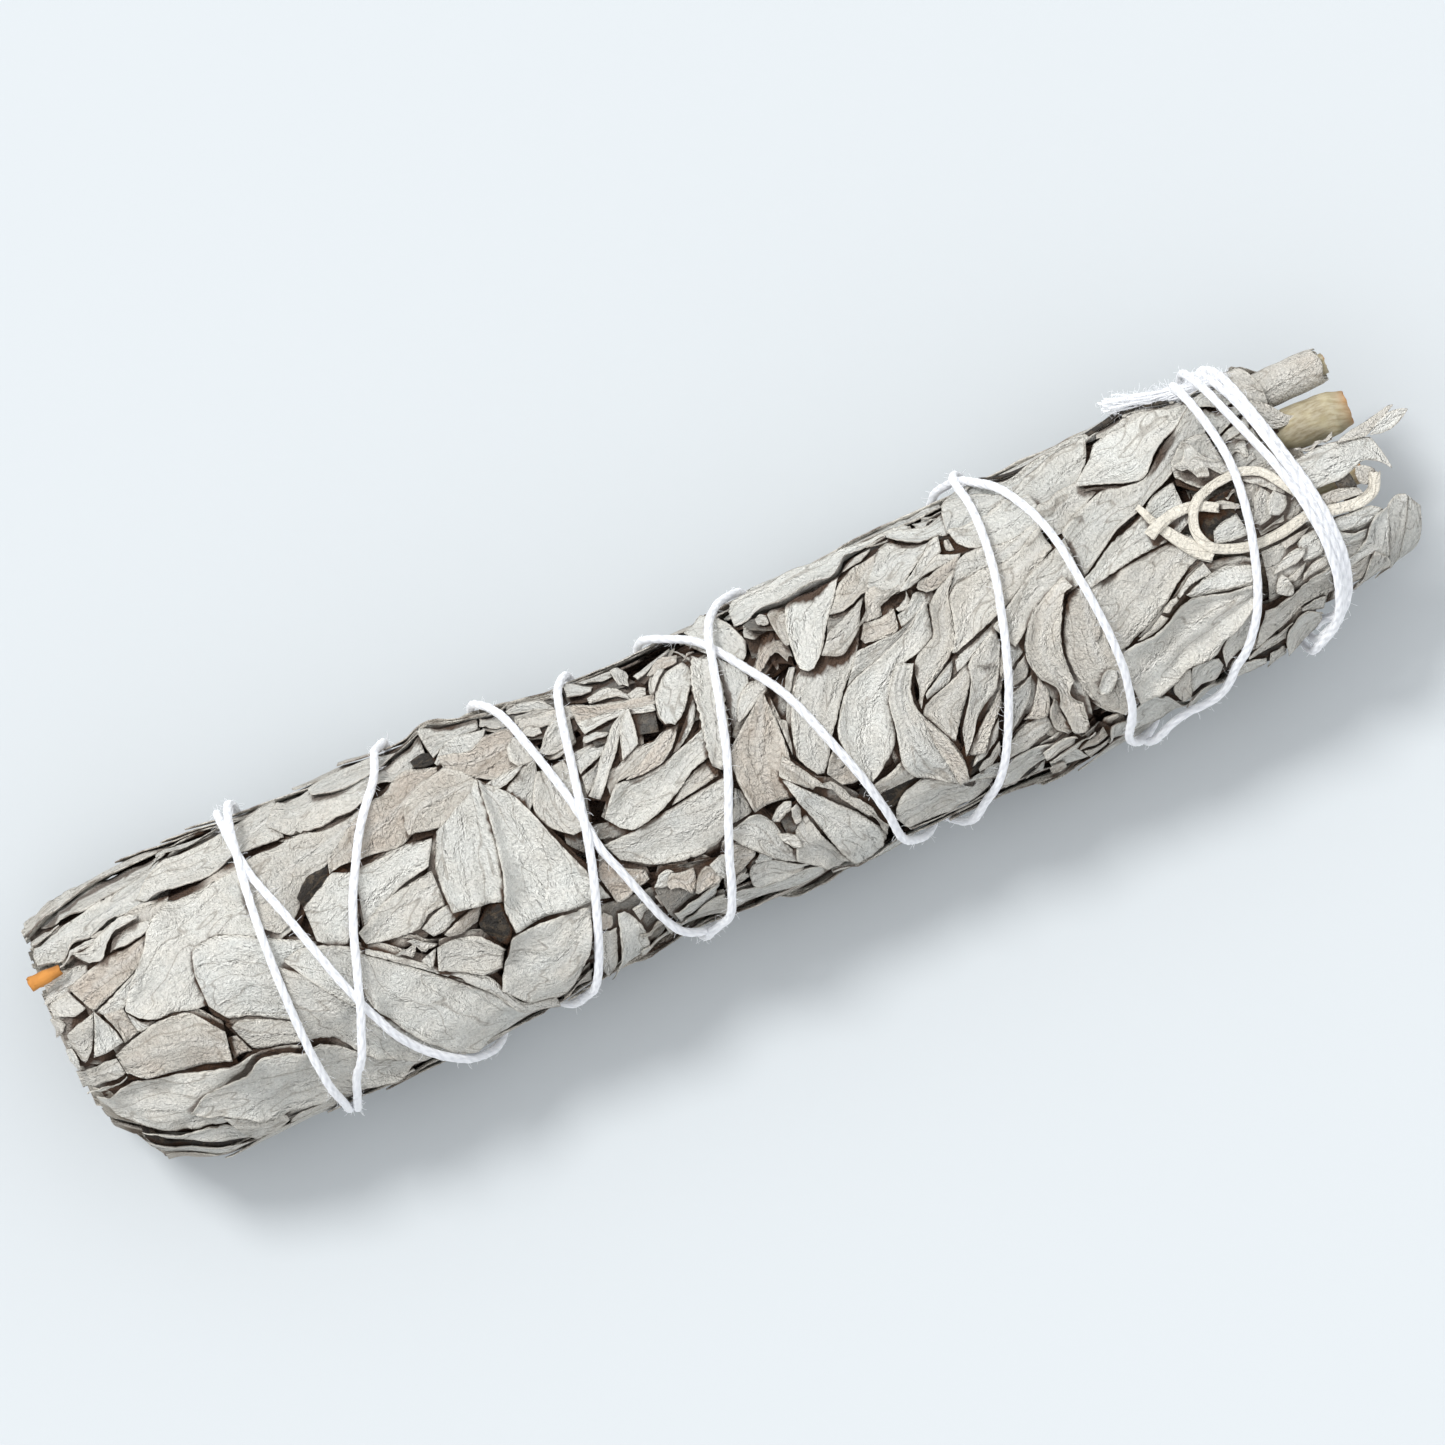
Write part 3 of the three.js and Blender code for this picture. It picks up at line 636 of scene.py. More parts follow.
@dataclass(frozen=True)
class LeafLayer:
    """Drapes leaves over the relief and adds them to pieces."""

    step: float = 0.8  # between the points of a leaf's mesh
    clear: float = 0.06  # between a leaf and what it lies on
    pile: float = 2.6  # the most that a leaf's waves raise what is laid later
    rows: tuple[int, int] = (8, 100)  # the fewest and the most steps along a leaf
    columns: tuple[int, int] = (5, 40)  # and across it
    pressed: float = 0.3  # the share of its shape that a leaf keeps at the sides and underneath
    curled: float = 2.6  # the most that an edge rolls up, in radians
    pleat: float = 1.2  # height of a pleat
    flats: int = 3  # creases that part a leaf into flats
    scallops: tuple[float, float] = (1.3, 1.8)  # the range of the length of an edge's scallops
    tears: tuple[float, float] = (0.6, 2.2)  # the range of half a tear's length
    tear_depths: tuple[float, float] = (0.5, 1.7)  # the range of its depth
    most_torn: float = 0.75  # the most of the half width that is missing anywhere
    wander: float = 0.08  # how far the line wanders at which an edge begins to roll up
    free_edge: float = 0.6  # how far in from the edge a leaf stands off what it lies on
    tip: float = 0.7  # the share of the length after which the tip lifts
    rim: float = 0.34  # width of the scorched edge and of its painted highlight
    rib: float = 0.5  # width of the pale midrib
    side_veins: float = 2.7  # distance between the puckers beside them

    def lay(self, leaf: Leaf, piece: PieceMesh, floor: Optional[float] = None) -> None:
        """Drapes one leaf and adds it to a piece.

        Args:
            leaf: The leaf.
            piece: The piece that it belongs to.
            floor: The height of a surface that presses the leaf flat from below, if any.
        """
        rng = np.random.default_rng(leaf.seed * 7919 + int(leaf.left[0, 0] * 31) % 9973)
        spread = np.linalg.norm(leaf.left - leaf.right, axis=1)
        rows = int(np.clip(leaf.length() / self.step, *self.rows)) + 1
        columns = int(np.clip(spread.max() / self.step, *self.columns)) + 1
        left, right = evenly(leaf.left, count=rows), evenly(leaf.right, count=rows)
        half = np.linalg.norm(left - right, axis=1)[:, None] / 2
        u = np.linspace(0, 1, rows)[:, None]
        run = u * leaf.length()
        v = np.linspace(-1, 1, columns)[None, :]
        v = np.sign(v) * np.abs(v) ** 0.9  # closer together near the edges
        reach, rolled = self.section(leaf, rng, run, v, half)
        share = (1 - reach) / 2
        along = left[:, :1] * (1 - share) + right[:, :1] * share
        girth = left[:, 1:] * (1 - share) + right[:, 1:] * share
        across = v * half
        bed = RELIEF.bed(along, girth) + self.clear
        rest = self.drape(bed, columns)
        shape = self.shape(leaf, rng, run, across, v, half)
        upward = np.clip(1.3 * np.cos(girth / GIRTH_RADIUS), 0, 1)
        shape = shape * (self.pressed + (1 - self.pressed) * upward)
        margin = np.minimum((1 - np.abs(v)) * half, (leaf.length() - run) + 0.1)
        free = leaf.open * np.exp(-margin / self.free_edge)
        height = np.maximum(rest + shape - shape.min() * 0.6, bed) + rolled + free
        height = height + leaf.lift * smoothstep((u - self.tip) / (1 - self.tip)) ** 2
        top = height + leaf.thickness
        RELIEF.raise_sheet(along, girth, np.minimum(top, rest + leaf.thickness + self.pile))
        upper = skin_point(along, girth, top)
        lower = skin_point(along, girth, height)
        if floor is not None:
            upper[..., 2] = np.maximum(upper[..., 2], floor)
            lower[..., 2] = np.maximum(lower[..., 2], floor + 0.15)
        # heights towards the light, from which the leaf's painted shade is found
        near, wide = RELIEF.shade(along, girth, 1), RELIEF.shade(along, girth, 3)
        places = np.stack([along, girth, near, wide], -1)
        self.stitch(leaf, piece, (upper, lower), (run + 0 * v, across), v, half, places)

    def section(
        self, leaf: Leaf, rng: Random, run: Array, v: Array, half: Array
    ) -> tuple[Array, Array]:
        """Scallops, tears and rolls the leaf's edges.

        Args:
            leaf: The leaf.
            rng: Its own random numbers.
            run: Distance from the stalk.
            v: Places from the left edge, -1, to the right edge, 1.
            half: The half width.

        Returns:
            How far out each place is as a share of the half width, and how high a roll lifts it.
        """
        edge = np.ones((len(run), 2))
        for side in range(2):
            scallop = np.abs(np.sin(np.pi * run[:, 0] / rng.uniform(*self.scallops) + rng.uniform(0, 3)))
            ragged = noise_waves(rng, run[:, 0], 0 * run[:, 0], [(5, 0.35), (2.3, 0.2), (9, 0.4)])
            cut = leaf.teeth * (1 - scallop) + 0.22 * leaf.teeth * (ragged + 1)
            for _ in range(int(leaf.torn * 6 * rng.uniform(0.6, 1.4))):
                middle = rng.uniform(0.08, 0.95) * run[-1, 0]
                size = rng.uniform(*self.tears)
                notch = np.clip(1 - np.abs(run[:, 0] - middle) / size, 0, 1)
                cut = cut + rng.uniform(*self.tear_depths) * notch**0.6
            edge[:, side] = 1 - np.clip(cut / np.maximum(half[:, 0], 0.4), 0, self.most_torn)
        reach = -v * np.where(v < 0, edge[:, :1], edge[:, 1:])
        rolled = np.zeros_like(reach)
        for side, start in enumerate(leaf.curl):
            sign = 1 if side == 0 else -1
            wander = start + self.wander * np.sin(run / rng.uniform(2.5, 5) + rng.uniform(0, 6))
            beyond = np.maximum(0, sign * reach - wander) * half
            turn = beyond / leaf.roll
            rolling = beyond > 0
            turn = np.minimum(turn, self.curled)
            out = wander + leaf.roll * np.sin(turn) / np.maximum(half, 0.1)
            reach = np.where(rolling, sign * out, reach)
            rolled = np.where(rolling, leaf.roll * (1 - np.cos(turn)), rolled)
        return reach, rolled

    def drape(self, bed: Array, columns: int) -> Array:
        """How a leaf lies over an uneven bed: it bridges the dips and follows the rises.

        Args:
            bed: The height under each point of the leaf.
            columns: How many points there are across it.

        Returns:
            The height of the leaf's own lower face at each point.
        """
        rest = bed
        for along, across in ((4, columns // 5), (2, 1), (1, 1)):
            rest = np.maximum(bed, blur(blur(rest, along, 0), across, 1))
        return blur(blur(rest, 1, 0), 1, 1)

    def shape(
        self, leaf: Leaf, rng: Random, run: Array, across: Array, v: Array, half: Array
    ) -> Array:
        """The height of a leaf's folds, pleats, rib, waves and wrinkles.

        Args:
            leaf: The leaf.
            rng: Its own random numbers.
            run: Distance from the stalk.
            across: Distance from the midrib.
            v: Places from the left edge, -1, to the right edge, 1.
            half: The half width.

        Returns:
            The height at each point.
        """
        a = run + 0 * v
        height = leaf.fold * (np.abs(across) - half / 2)
        if leaf.ridges:
            pleat = np.abs(((v * 0.5 + 0.5) * leaf.ridges + 0.12 * np.sin(a / 4)) % 1 - 0.5) * 2
            height = height + self.pleat * (pleat - 0.5) * np.minimum(1, half / 2)
        height = height + leaf.rib * np.exp(-((across / 0.45) ** 2)) * (1 - 0.6 * a / a.max())
        waves = [(14, leaf.wave), (8, 0.7 * leaf.wave), (4.6, 0.35 * leaf.wave)]
        height = height + noise_waves(rng, a, across, waves) * (0.35 + 0.65 * np.abs(v))
        for _ in range(self.flats):
            turn = rng.normal(0, 0.6)
            line = (across - rng.uniform(-0.6, 0.6) * half.max()) * math.cos(turn)
            line = line + (a - rng.uniform(0.1, 0.9) * a.max()) * math.sin(turn)
            height = height + leaf.facet * rng.uniform(-1, 1) * np.abs(line)
        pucker = np.sin((a - 0.9 * np.abs(across)) * 2 * math.pi / self.side_veins)
        return height + leaf.wrinkle * pucker * (1 - np.exp(-((across / 0.8) ** 2)))

    def stitch(
        self,
        leaf: Leaf,
        piece: PieceMesh,
        sheet: Sequence[Array],
        surface: tuple[Array, Array],
        v: Array,
        half: Array,
        places: Optional[Array] = None,
    ) -> None:
        """Joins the two faces of a leaf into one closed sheet and adds it to the piece.

        Args:
            leaf: The leaf.
            piece: The piece.
            sheet: The points of its upper and its lower face.
            surface: Distances along the leaf and across it.
            v: Places from the left edge, -1, to the right edge, 1.
            half: The half width.
            places: What the piece's add takes.
        """
        (upper, lower), (run, across) = sheet, surface
        rows, columns = upper.shape[:2]
        count = rows * columns
        faces = grid_quads(rows, columns)
        index = np.arange(count).reshape(rows, columns)
        border = np.concatenate([index[:, 0], index[-1, 1:], index[-2::-1, -1], index[0, -2:0:-1]])
        following = np.roll(border, -1)
        rim = np.stack([border, border + count, following + count, following], 1)
        quads = np.vstack([faces, faces[:, ::-1] + count, rim])
        facing = np.cross(upper[1:, :-1] - upper[:-1, :-1], upper[:-1, 1:] - upper[:-1, :-1])
        if float((facing * (upper - lower)[:-1, :-1]).sum()) < 0:
            quads = quads[:, ::-1]
        length = run.max()
        margin = np.minimum((1 - np.abs(v)) * half, np.minimum(run, length - run) + 0.15)
        edge = np.exp(-margin / self.rim)
        rib = np.exp(-((across / self.rib) ** 2)) * (1 - 0.5 * run / length)
        tone = np.full_like(run, 0.5 + 0.5 * np.clip(leaf.tone, -1, 1))
        hue = np.full_like(run, leaf.hue)
        marks = np.stack([edge, rib, tone, hue], -1).reshape(count, 4)
        offset = 13.7 * leaf.seed  # so that no two leaves show the same stretch of the material
        flat = np.stack([run + offset, across + 0.37 * offset], -1).reshape(count, 2)
        points = np.vstack([upper.reshape(count, 3), lower.reshape(count, 3)])
        if places is not None:
            places = np.tile(places.reshape(count, 4), (2, 1))
        piece.add(points, quads, np.vstack([marks, marks]), np.vstack([flat, flat]), places)


@dataclass
class Spray:
    """The leaves of one stretch of the bunch, which hide the core and each other."""

    node: str
    along: float
    angle: float
    piece: PieceMesh = field(init=False)

    def __post_init__(self) -> None:
        """Starts the spray's piece."""
        self.piece = PieceMesh(self.node.replace("leaf_pair", "spray"))

    def distance(self, along: float, girth: float) -> float:
        """How far a place is from the middle of the spray."""
        round_ = (girth - math.radians(self.angle) * GIRTH_RADIUS + GIRTH / 2) % GIRTH - GIRTH / 2
        return math.hypot(along - self.along, round_)


def make_sprays() -> list[Spray]:
    """The sprays, with the middle of each as the pair of leaves it stands for has it.

    Returns:
        Those underneath, then those on top.
    """
    under = [(26, 138), (23, 222), (79, 132), (73, 220), (131, 140), (125, 226), (183, 136), (179, 222)]
    top = [(22, 50), (25, -54), (66, 44), (70, -46), (110, 52), (114, -54), (154, 42), (158, -46)]
    top += [(196, 26), (198, -48)]
    sprays = [Spray(f"leaf_pair_under_{k + 1:02d}", *place) for k, place in enumerate(under)]
    return sprays + [Spray(f"leaf_pair_top_{k + 1:02d}", *place) for k, place in enumerate(top)]


def spray_near(sprays: list[Spray], leaf: Leaf) -> PieceMesh:
    """The piece of the spray whose middle is nearest to a leaf's."""
    along, girth = (leaf.left.mean(axis=0) + leaf.right.mean(axis=0)) / 2
    return min(sprays, key=lambda spray: spray.distance(along, girth)).piece


@dataclass
class CoverLeaves:
    """Leaves laid like shingles all round the bunch, under those that show on top."""

    sprays: list[Spray]  # that take the leaves
    seed: int = 4
    first_row: float = 14.0  # where the stalks of the first row are
    last_row: float = 222.0
    row_step: float = 9.5
    around: int = 8  # leaves in a row
    bare_from: float = 205.0  # past it there are none on the bunch's upper half
    lengths: tuple[float, float] = (27.0, 42.0)  # the range of their lengths
    widths: tuple[float, float] = (8.5, 13.5)
    cut_at: float = -2.2  # the furthest point of the trimmed leafy end
    floor_below: float = 9.0  # the height under which the surface presses them flat
    layer: LeafLayer = LeafLayer(1.3)
    rng: Random = field(init=False)

    def __post_init__(self) -> None:
        """Makes the random numbers that place the leaves."""
        self.rng = np.random.default_rng(self.seed)

    def leaf(self, base: float, girth: float, seed: int) -> Leaf:
        """Makes up one leaf whose stalk is at a place.

        Args:
            base: Its stalk's distance along the bunch.
            girth: Its stalk's distance round.
            seed: The number that its own shape comes from.

        Returns:
            The leaf.
        """
        rng = self.rng
        length = rng.uniform(*self.lengths)
        tip = base - length
        form = Form.LANCE if rng.random() < 0.6 else Form.OVAL
        if tip < self.cut_at + 6:
            tip, form = self.cut_at - 3, Form.CUT
        swing = rng.normal(0, 4.5) * (base - tip) / 35
        return blade(
            (base, girth),
            (tip, girth + swing),
            rng.uniform(*self.widths),
            rng.normal(0, 1.2),
            form,
            above=False,
            tone=rng.normal(-0.1, 0.3),
            hue=float(np.clip(rng.normal(0.42, 0.25), 0, 1)),
            fold=rng.normal(0, 0.1),
            curl=tuple(rng.uniform(0.6, 1.05, 2)),
            roll=rng.uniform(0.9, 1.8),
            wave=rng.uniform(0.1, 0.3),
            torn=rng.uniform(0, 0.6),
            lift=0.0 if form is Form.CUT else rng.uniform(0, 0.4),
            teeth=rng.uniform(0.1, 0.25),
            open=rng.uniform(0.1, 0.3),
            seed=seed,
        )

    def trim(self, leaf: Leaf) -> Leaf:
        """Cuts a leaf's edges off where the leafy end was trimmed.

        Args:
            leaf: The leaf.

        Returns:
            The same leaf, cut.
        """
        allowance = self.rng.normal(0, 0.35)
        for name in ("left", "right"):
            edge = evenly(getattr(leaf, name), count=80)
            half, middle = outline_at(edge[:, 0])
            y = middle + half * np.sin(edge[:, 1] / GIRTH_RADIUS)
            kept = edge[edge[:, 0] > trimmed_at(y) + allowance]
            setattr(leaf, name, evenly(kept if len(kept) > 3 else edge[:4], count=25))
        return leaf

    def lay(self) -> int:
        """Lays them from the leafy end to the stem end.

        Returns:
            How many there are.
        """
        count = 0
        base = self.first_row
        while base < self.last_row:
            for k in range(self.around):
                girth = (k + 0.5 * (int(base / self.row_step) % 2)) * GIRTH / self.around
                girth += self.rng.normal(0, 2.2)
                if base > self.bare_from and math.cos(girth / GIRTH_RADIUS) > 0.2:
                    continue
                leaf = self.trim(self.leaf(base + self.rng.normal(0, 3), girth, 100 + count))
                height = skin_point(leaf.left[:, 0], leaf.left[:, 1], 0)[:, 2].mean()
                floor = 0.1 if height < self.floor_below else None
                self.layer.lay(leaf, spray_near(self.sprays, leaf), floor)
                count += 1
            base += self.row_step
        return count


@dataclass
class SideLeaves(CoverLeaves):
    """Leaves along both sides of the bunch, over the lower edges of those that show on top."""

    seed: int = 14
    degrees: tuple[float, ...] = (132.0, 116.0, 101.0)  # of each row, round from the top
    starts: tuple[float, float] = (20.0, 26.0)  # the range of where a row's first stalk is
    stop: float = 206.0
    apart: tuple[float, float] = (9.0, 15.0)  # the range of the distances between stalks

    def lay(self) -> int:
        """Lays them, the lowest row first.

        Returns:
            How many there are.
        """
        count = 0
        for degrees in self.degrees:
            for side in (-1, 1):
                base = self.rng.uniform(*self.starts)
                while base < self.stop:
                    girth = side * math.radians(degrees) * GIRTH_RADIUS + self.rng.normal(0, 0.5)
                    leaf = self.trim(self.leaf(base, girth, 700 + count))
                    self.layer.lay(leaf, spray_near(self.sprays, leaf))
                    count += 1
                    base += self.rng.uniform(*self.apart)
        return count


def traced(
    outline: str, tone: float = 0.0, hue: float = 0.25, number: int = 0, **dried: object
) -> tuple[int, Leaf]:
    """A leaf that shows on top, from its two edges as seen from above, each from stalk to tip.

    Args:
        outline: Places "along,across" on one edge, a slash, and those on the other edge.
        tone: How light it is, from -1 to 1.
        hue: Its colour, from grey-green at 0 through beige to mauve at 1.
        number: The number of the CAD leaf that it stands for, or 0.
        **dried: Any other fields that say how it dried.

    Returns:
        The number and the leaf.
    """
    edges = []
    for edge in outline.split("/"):
        places = np.array([[float(value) for value in place.split(",")] for place in edge.split()])
        line = from_above(places)
        edges.append((evenly(curve_through(line, 0.4), count=41) + evenly(line, count=41)) / 2)
    size = np.linalg.norm(edges[0] - edges[1], axis=1).max()
    usual = {"torn": 0.0, "teeth": 0.1, "thickness": 0.27, "lift": 0.1, "curl": (1.1, 1.1), "open": 0.12}
    usual |= {"facet": 0.13, "wave": min(0.85, 0.085 * size)}
    usual["fold"] = 0.34 * math.sin(9.7 * size + 3 * places[0, 0])  # some folded up and some down
    return number, Leaf(edges[0], edges[1], tone, hue, **(usual | dried))


def traced_leaves() -> list[tuple[int, Leaf]]:
    """The leaves that show on top, those underneath first.

    Returns:
        Pairs of the number of the CAD leaf that each stands for, or 0, and the leaf.
    """
    t = traced
    shaded_hollow = -1.0  # the tone that paints a patch as the shade of a hollow between leaves; tones below about -0.66 take some of it
    ragged = {"torn": 0.45, "teeth": 0.2}
    smooth = {"teeth": 0.0, "wave": 0.0, "facet": 0.0, "fold": 0.0, "open": 0.0}
    leaves = [
        # the leafy end, far side
        t("9,16.4 5,16.9 0,16.8 -3.6,16.2/8,15.6 4,15.7 0,15.2 -2.4,14.9", 0.4),
        t("34,17.2 26,17 20,16.6 15.6,16.8/34,15.6 26,15.6 20,15 17,14.8", -0.3, 0.9),
        t("22,16 16,16.8 12,17.2 8,16.6/20,13.6 17.4,12.8 16.4,14 12,14.6", -0.1, 0.6),
        t("24,25 16,25.9 8,25.7 1.6,24/24,24 17,22.6 10,21.7 5.5,22.3 1.4,23.2", 0.1, 0.3),
        t("34,23.8 28,23.6 22,23.4/34,22.4 28,21.6 22,21.8", shaded_hollow),
        t("24,23 16,22.1 9,21.4 4,20.6 -1.4,20.2/22,17.6 16,17.5 10,17.6 3,17.5 -1.4,16.9", 0.3, 0.2),
        t("-1,21.8 2,22.2 4.3,20.9/-.8,20.3 2,20.4 4.2,20.6", 0.1, 0.4),
        t("40,24.9 32,25 26,24.9 22.6,23/40,24 32,23.9 27,23.2 22.4,22.2", 0.3, 0.2),
        t("43,24 36,23 31,22.2 23,22 20,21.2 17.2,18.9/"
          "42,18.2 31,16.9 22,16.3 19.3,16.5 17.3,18.4", 0.15, 0.3, 9),
        # the leafy end, middle
        t("20,12.6 14,12 8,12 3,10/19,10 14,7 8,5 3,4", -0.8, 0.4),
        t("6,13 3.6,14.5 .5,13.9 -1.5,12.3 -2.8,10.4/5,11 3,9.9 0,10 -2.6,10", 0.3, 0.3),
        t("17,12.7 11,12.4 6,11.3 1.6,10.5/16,11.6 12.6,8.8 8,6.7 3.9,5.4", 0.0, 0.9),
        t("18,14 14,15 11.2,14.4 10.4,12.8/18,12.6 14,12.6 11,12.5 10,12.2", 0.5, 0.2),
        t("16.4,15.4 13.5,16.9 10,16.3 6,15.2 4.3,15.9/"
          "15.8,14.8 12,15 10.4,13.6 8.4,11.4 6.4,12.2", 0.5, 0.2, curl=(0.5, 1.1)),
        t("13,8.6 8,6.5 4.2,5.2/11,6 8,3.9 5.6,4", 0.5, 0.2),
        t("1.4,9.9 -.2,10 -1.8,9.9/3,6.3 1,6.1 -1.4,7.2", 0.5, 0.3),
        t("-1,5.8 -1.5,7 -3,7.8/-2,4.8 -3.4,4.4 -3,6", -0.2, 0.5),
        t("3.8,5.3 1,5 -1.6,4.3/1,.5 -1,-1 -1.6,2", 0.1, 0.45),
        t("8.3,4 8.6,2 9,-.1/5,4.4 6,1.4 6.2,-.6", -0.3, 0.9),
        t("4,5.3 5.6,2 6.1,-.4/3.9,5.2 2.2,2 .8,-.5", 0.8, 0.15),
        t("8.5,3.2 10,1.2 12,.5/8.6,1.4 9,-.2 12,.3", 0.6, 0.15),
        t("38,16 31,15.8 26,15.5 22,15.3 19.5,14.3 17,13 13.5,9 9.3,5 8.5,3.8/"
          "38,4 30,2 24,-.6 19,-.8 15,.4 12.5,.4 10,1.6 8.5,3.4", 0.25, 0.2, 5),
        t("57,16.4 50,16.2 44,17 38,16.6 34.6,15.8 32.6,14/"
          "56.5,14.8 51,13 46.6,11.2 43,10 38.2,5.1 35.4,4 32.8,6", 0.05, 0.4),
        # the leafy end, near side
        t("20,-4 12,-2.6 6,-3/21,-11 12,-10 4,-6.6", -0.85, 0.4),
        t("40,1 34,4 30,6.3 26,8.2 22,7.6 20.6,4/"
          "42,-9.6 36,-9.8 31,-8.4 26,-5.2 22.4,-4 20.5,-1", 0.1, 0.1, 6),
        t("33,-9.5 28,-6.6 24,-4.7 22.3,-5.2/33,-12.4 28,-11.2 24,-10 22.8,-7", 0.0, 0.35),
        t("22.6,-6.8 23.7,-10/21,-6.8 20.4,-9.7", 0.0, 0.9),
        t("21.2,-5.2 17.2,-.4 12,.3 8,-.5 4.1,-1.6/20.2,-9.6 15,-9.1 10,-7.8 6.6,-6.8 4.4,-5", -0.1, 0.6),
        t("4,-2 2,-2.2 -.8,-2.7 -2.8,-2.6/4.3,-4.8 2,-5.8 -.5,-6.4 -3,-7", 0.1, 0.45),
        t("4.3,-5.2 0,-6.5 -2.8,-7.6/4.2,-5.6 -1,-7.4 -2.8,-8", 0.4, 0.2),
        t("-1.7,2 -1.5,0 -2,-2.1/-2.9,2 -3,-.5 -2.4,-2", -0.1, 0.1),
        t("19,-22.6 13,-22 7,-19.6 2.5,-16/19,-24 13,-23.6 7,-21.4 2.5,-18", shaded_hollow),
        t("19,-24 14,-23 10,-21.4 6,-19.2 2.6,-17.3/"
          "19,-24.8 13,-24.4 8,-23.6 4,-21.6 2.4,-18.6", 0.35, 0.2),
        t("31,-12 27,-10.9 20,-9.8 15,-9.3 10,-8 6,-6.8 3,-6.8 0,-7.9 -1.7,-8.8/"
          "20,-21 14,-19.3 8,-17.8 5,-16 2,-14.6 -1,-12", 0.15, 0.3, 7),
        t("18,-23 13,-21.8 9,-19.6 5.6,-17.6 2.8,-15.6/"
          "16,-20.4 12,-19 8,-17.8 4.4,-15.8 2.4,-14.8", 0.5, 0.2),
        t("24,-21.8 20,-20 15,-18/24,-22.8 21,-23.4 18.3,-23", 0.2, 0.4),
        t("45,-23.6 35,-23.4 24,-22.9/45,-24.8 35,-24.9 24,-24.5", 0.1, 0.4),
        t("47,-22.7 42,-20.8 38.4,-17.6 34,-13.4 31,-12.4 24,-10.6 19,-12.2 13,-13.4 10.7,-14.9/"
          "46.4,-22.9 42.6,-23.7 38,-23 31,-22.4 23,-21.2 17,-18.4 10.8,-15.1", 0.1, 0.25),
        # from 27 to 63 along
        t("48,10.8 43,10.8 40,8/50,7 45,6.6 40.4,6.4", shaded_hollow),
        t("67.8,22.8 64,21.8 61,21.1 60,23.6 52,24 46,24.2 43,22.8 40.2,20.4/"
          "67.3,20.6 63,18.3 60,18.4 56.5,17 54.4,16 50,16.8 46,16.8 42.8,18 40.4,19.8",
          0.1, 0.35, 1, torn=0.3),
        t("69.6,24.1 62,24.3 52,23.8 48.4,23.2/"
          "69.4,23.5 64,21.9 60,20.8 56,20.1 51.6,19.9 48.6,20.8", 0.3, 0.25),
        t("68.4,17.2 65,18.4 61,18 56.6,15.8 51,13.2 46.8,11/"
          "66.6,14 62,10.4 58,9.2 54,9.6 50,9.8 46.2,9.4", -0.05, 0.8),
        t("50.4,7.8 46.4,9.3 43,7.7 40.3,6.2/46.6,1.8 44.2,-1.4 41.8,-.6 40.1,.8", 0.4, 0.15),
        t("63,8 60,9 54,8.8 50,8/60.6,4 56.4,3.4 52.2,1.9 47.6,-.4", 0.35, 0.15, 8),
        t("60.8,3.4 56.6,3 52.4,2.2 49.4,.9 46.4,-.5/"
          "60.6,-2.2 57.6,-2.6 55.4,-4 51,-3.7 46.8,-2.6", 0.2, 0.3),
        t("56,-24 49,-19.8 45,-14 42.5,-8 38,-4 33,0/"
          "50,-23.8 45,-22 41,-19.6 38.5,-17.3 36,-14 32,-11.5", 0.0, 0.25),
        t("46,-3.4 44,-1.5 41,0 37.2,1 34.2,.6/44,-12 41,-10 38.4,-6.5 36,-2.9 34.1,.2", 0.3, 0.15),
        t("72,-24 66,-21.8 61,-17.6 56,-12.8 51,-8 48,-5.3 45.4,-3.2/"
          "68,-24.8 58,-24.2 53,-23.2 47,-17.4 44.4,-12.6 43.2,-8.6 44.4,-5", 0.2, 0.2, 10),
        t("70,-22.6 64.6,-20 62,-15.2 57,-11.8 52.6,-8 49,-4.8 46.4,-3/"
          "70,-23.4 64,-21 61,-17.2 56.6,-12.8 51.5,-8.4 48.4,-5.6 46,-3.6", 0.5, 0.3, torn=0.2),
        t("49.6,-5.4 51,-4.8 53.4,-5.2/51,-6.4 52.7,-7.6 53.6,-6.4", 0.3, 0.4, **ragged),
        t("52,-4.6 54.2,-3.4 55,-5 57,-7/53.6,-5.4 53.2,-7.4 56.6,-7.6", 0.0, 0.4, **ragged),
        t("56.4,-7.6 55,-9.8 54.2,-9.8/53.4,-8.4 54,-9.6 54.2,-9.8", 0.7, 0.2),
        t("68.6,-5.4 67,-5 65.4,-6 64,-7.4/68.4,-10 66.6,-12 65,-10.6 64,-8.4", shaded_hollow, 0.1),
        t("64,-3.4 61,-2.3 58.4,-2.7 55.6,-4/64,-4.4 61,-5 58.8,-6 56.8,-6", 0.2, 0.3),
        t("66,-4 63,-4.6 58.4,-6.2/64,-7 60.6,-7.6 59,-7", 0.0, 0.9),
        t("66.2,-12 63.4,-9 60,-7.7 56.6,-7.4/64.4,-14.8 61.4,-14.4 58,-12.4 55.2,-10.4", 0.1, 0.3),
        # from 59 to 95 along
        t("69,20.4 67,20.8 64.8,20.2/69,17.6 67,17.8 65,18.2", shaded_hollow),
        t("77,22.4 73,23.4 69.4,23.5 67.6,22.6/76.4,21.4 73.4,20.5 70.4,19.6 68.4,18.3", 0.2, 0.25),
        t("77.6,20.3 74,20.6 71,19.9 69,18.2 68.2,17.3/76,17.3 72.6,17.1 68.4,17", 0.35, 0.2),
        t("81.6,18.6 78,19.2 74,17.5 69,17.1/80,12.2 76,12.1 72.6,13.9 69.3,16", 0.0, 0.8),
        t("81.8,21.6 79.6,22.5 77.4,22.2/81,19.2 78.8,19.9 76.9,21", 0.1, 0.3),
        t("92,20 86,20.4 82,20.8/91,14 86,14.6 82,16", -0.9, 0.4),
        t("91.6,20.6 87,21.9 82,22.2/90,19 87.6,20.8 82,21.2", 0.3, 0.2),
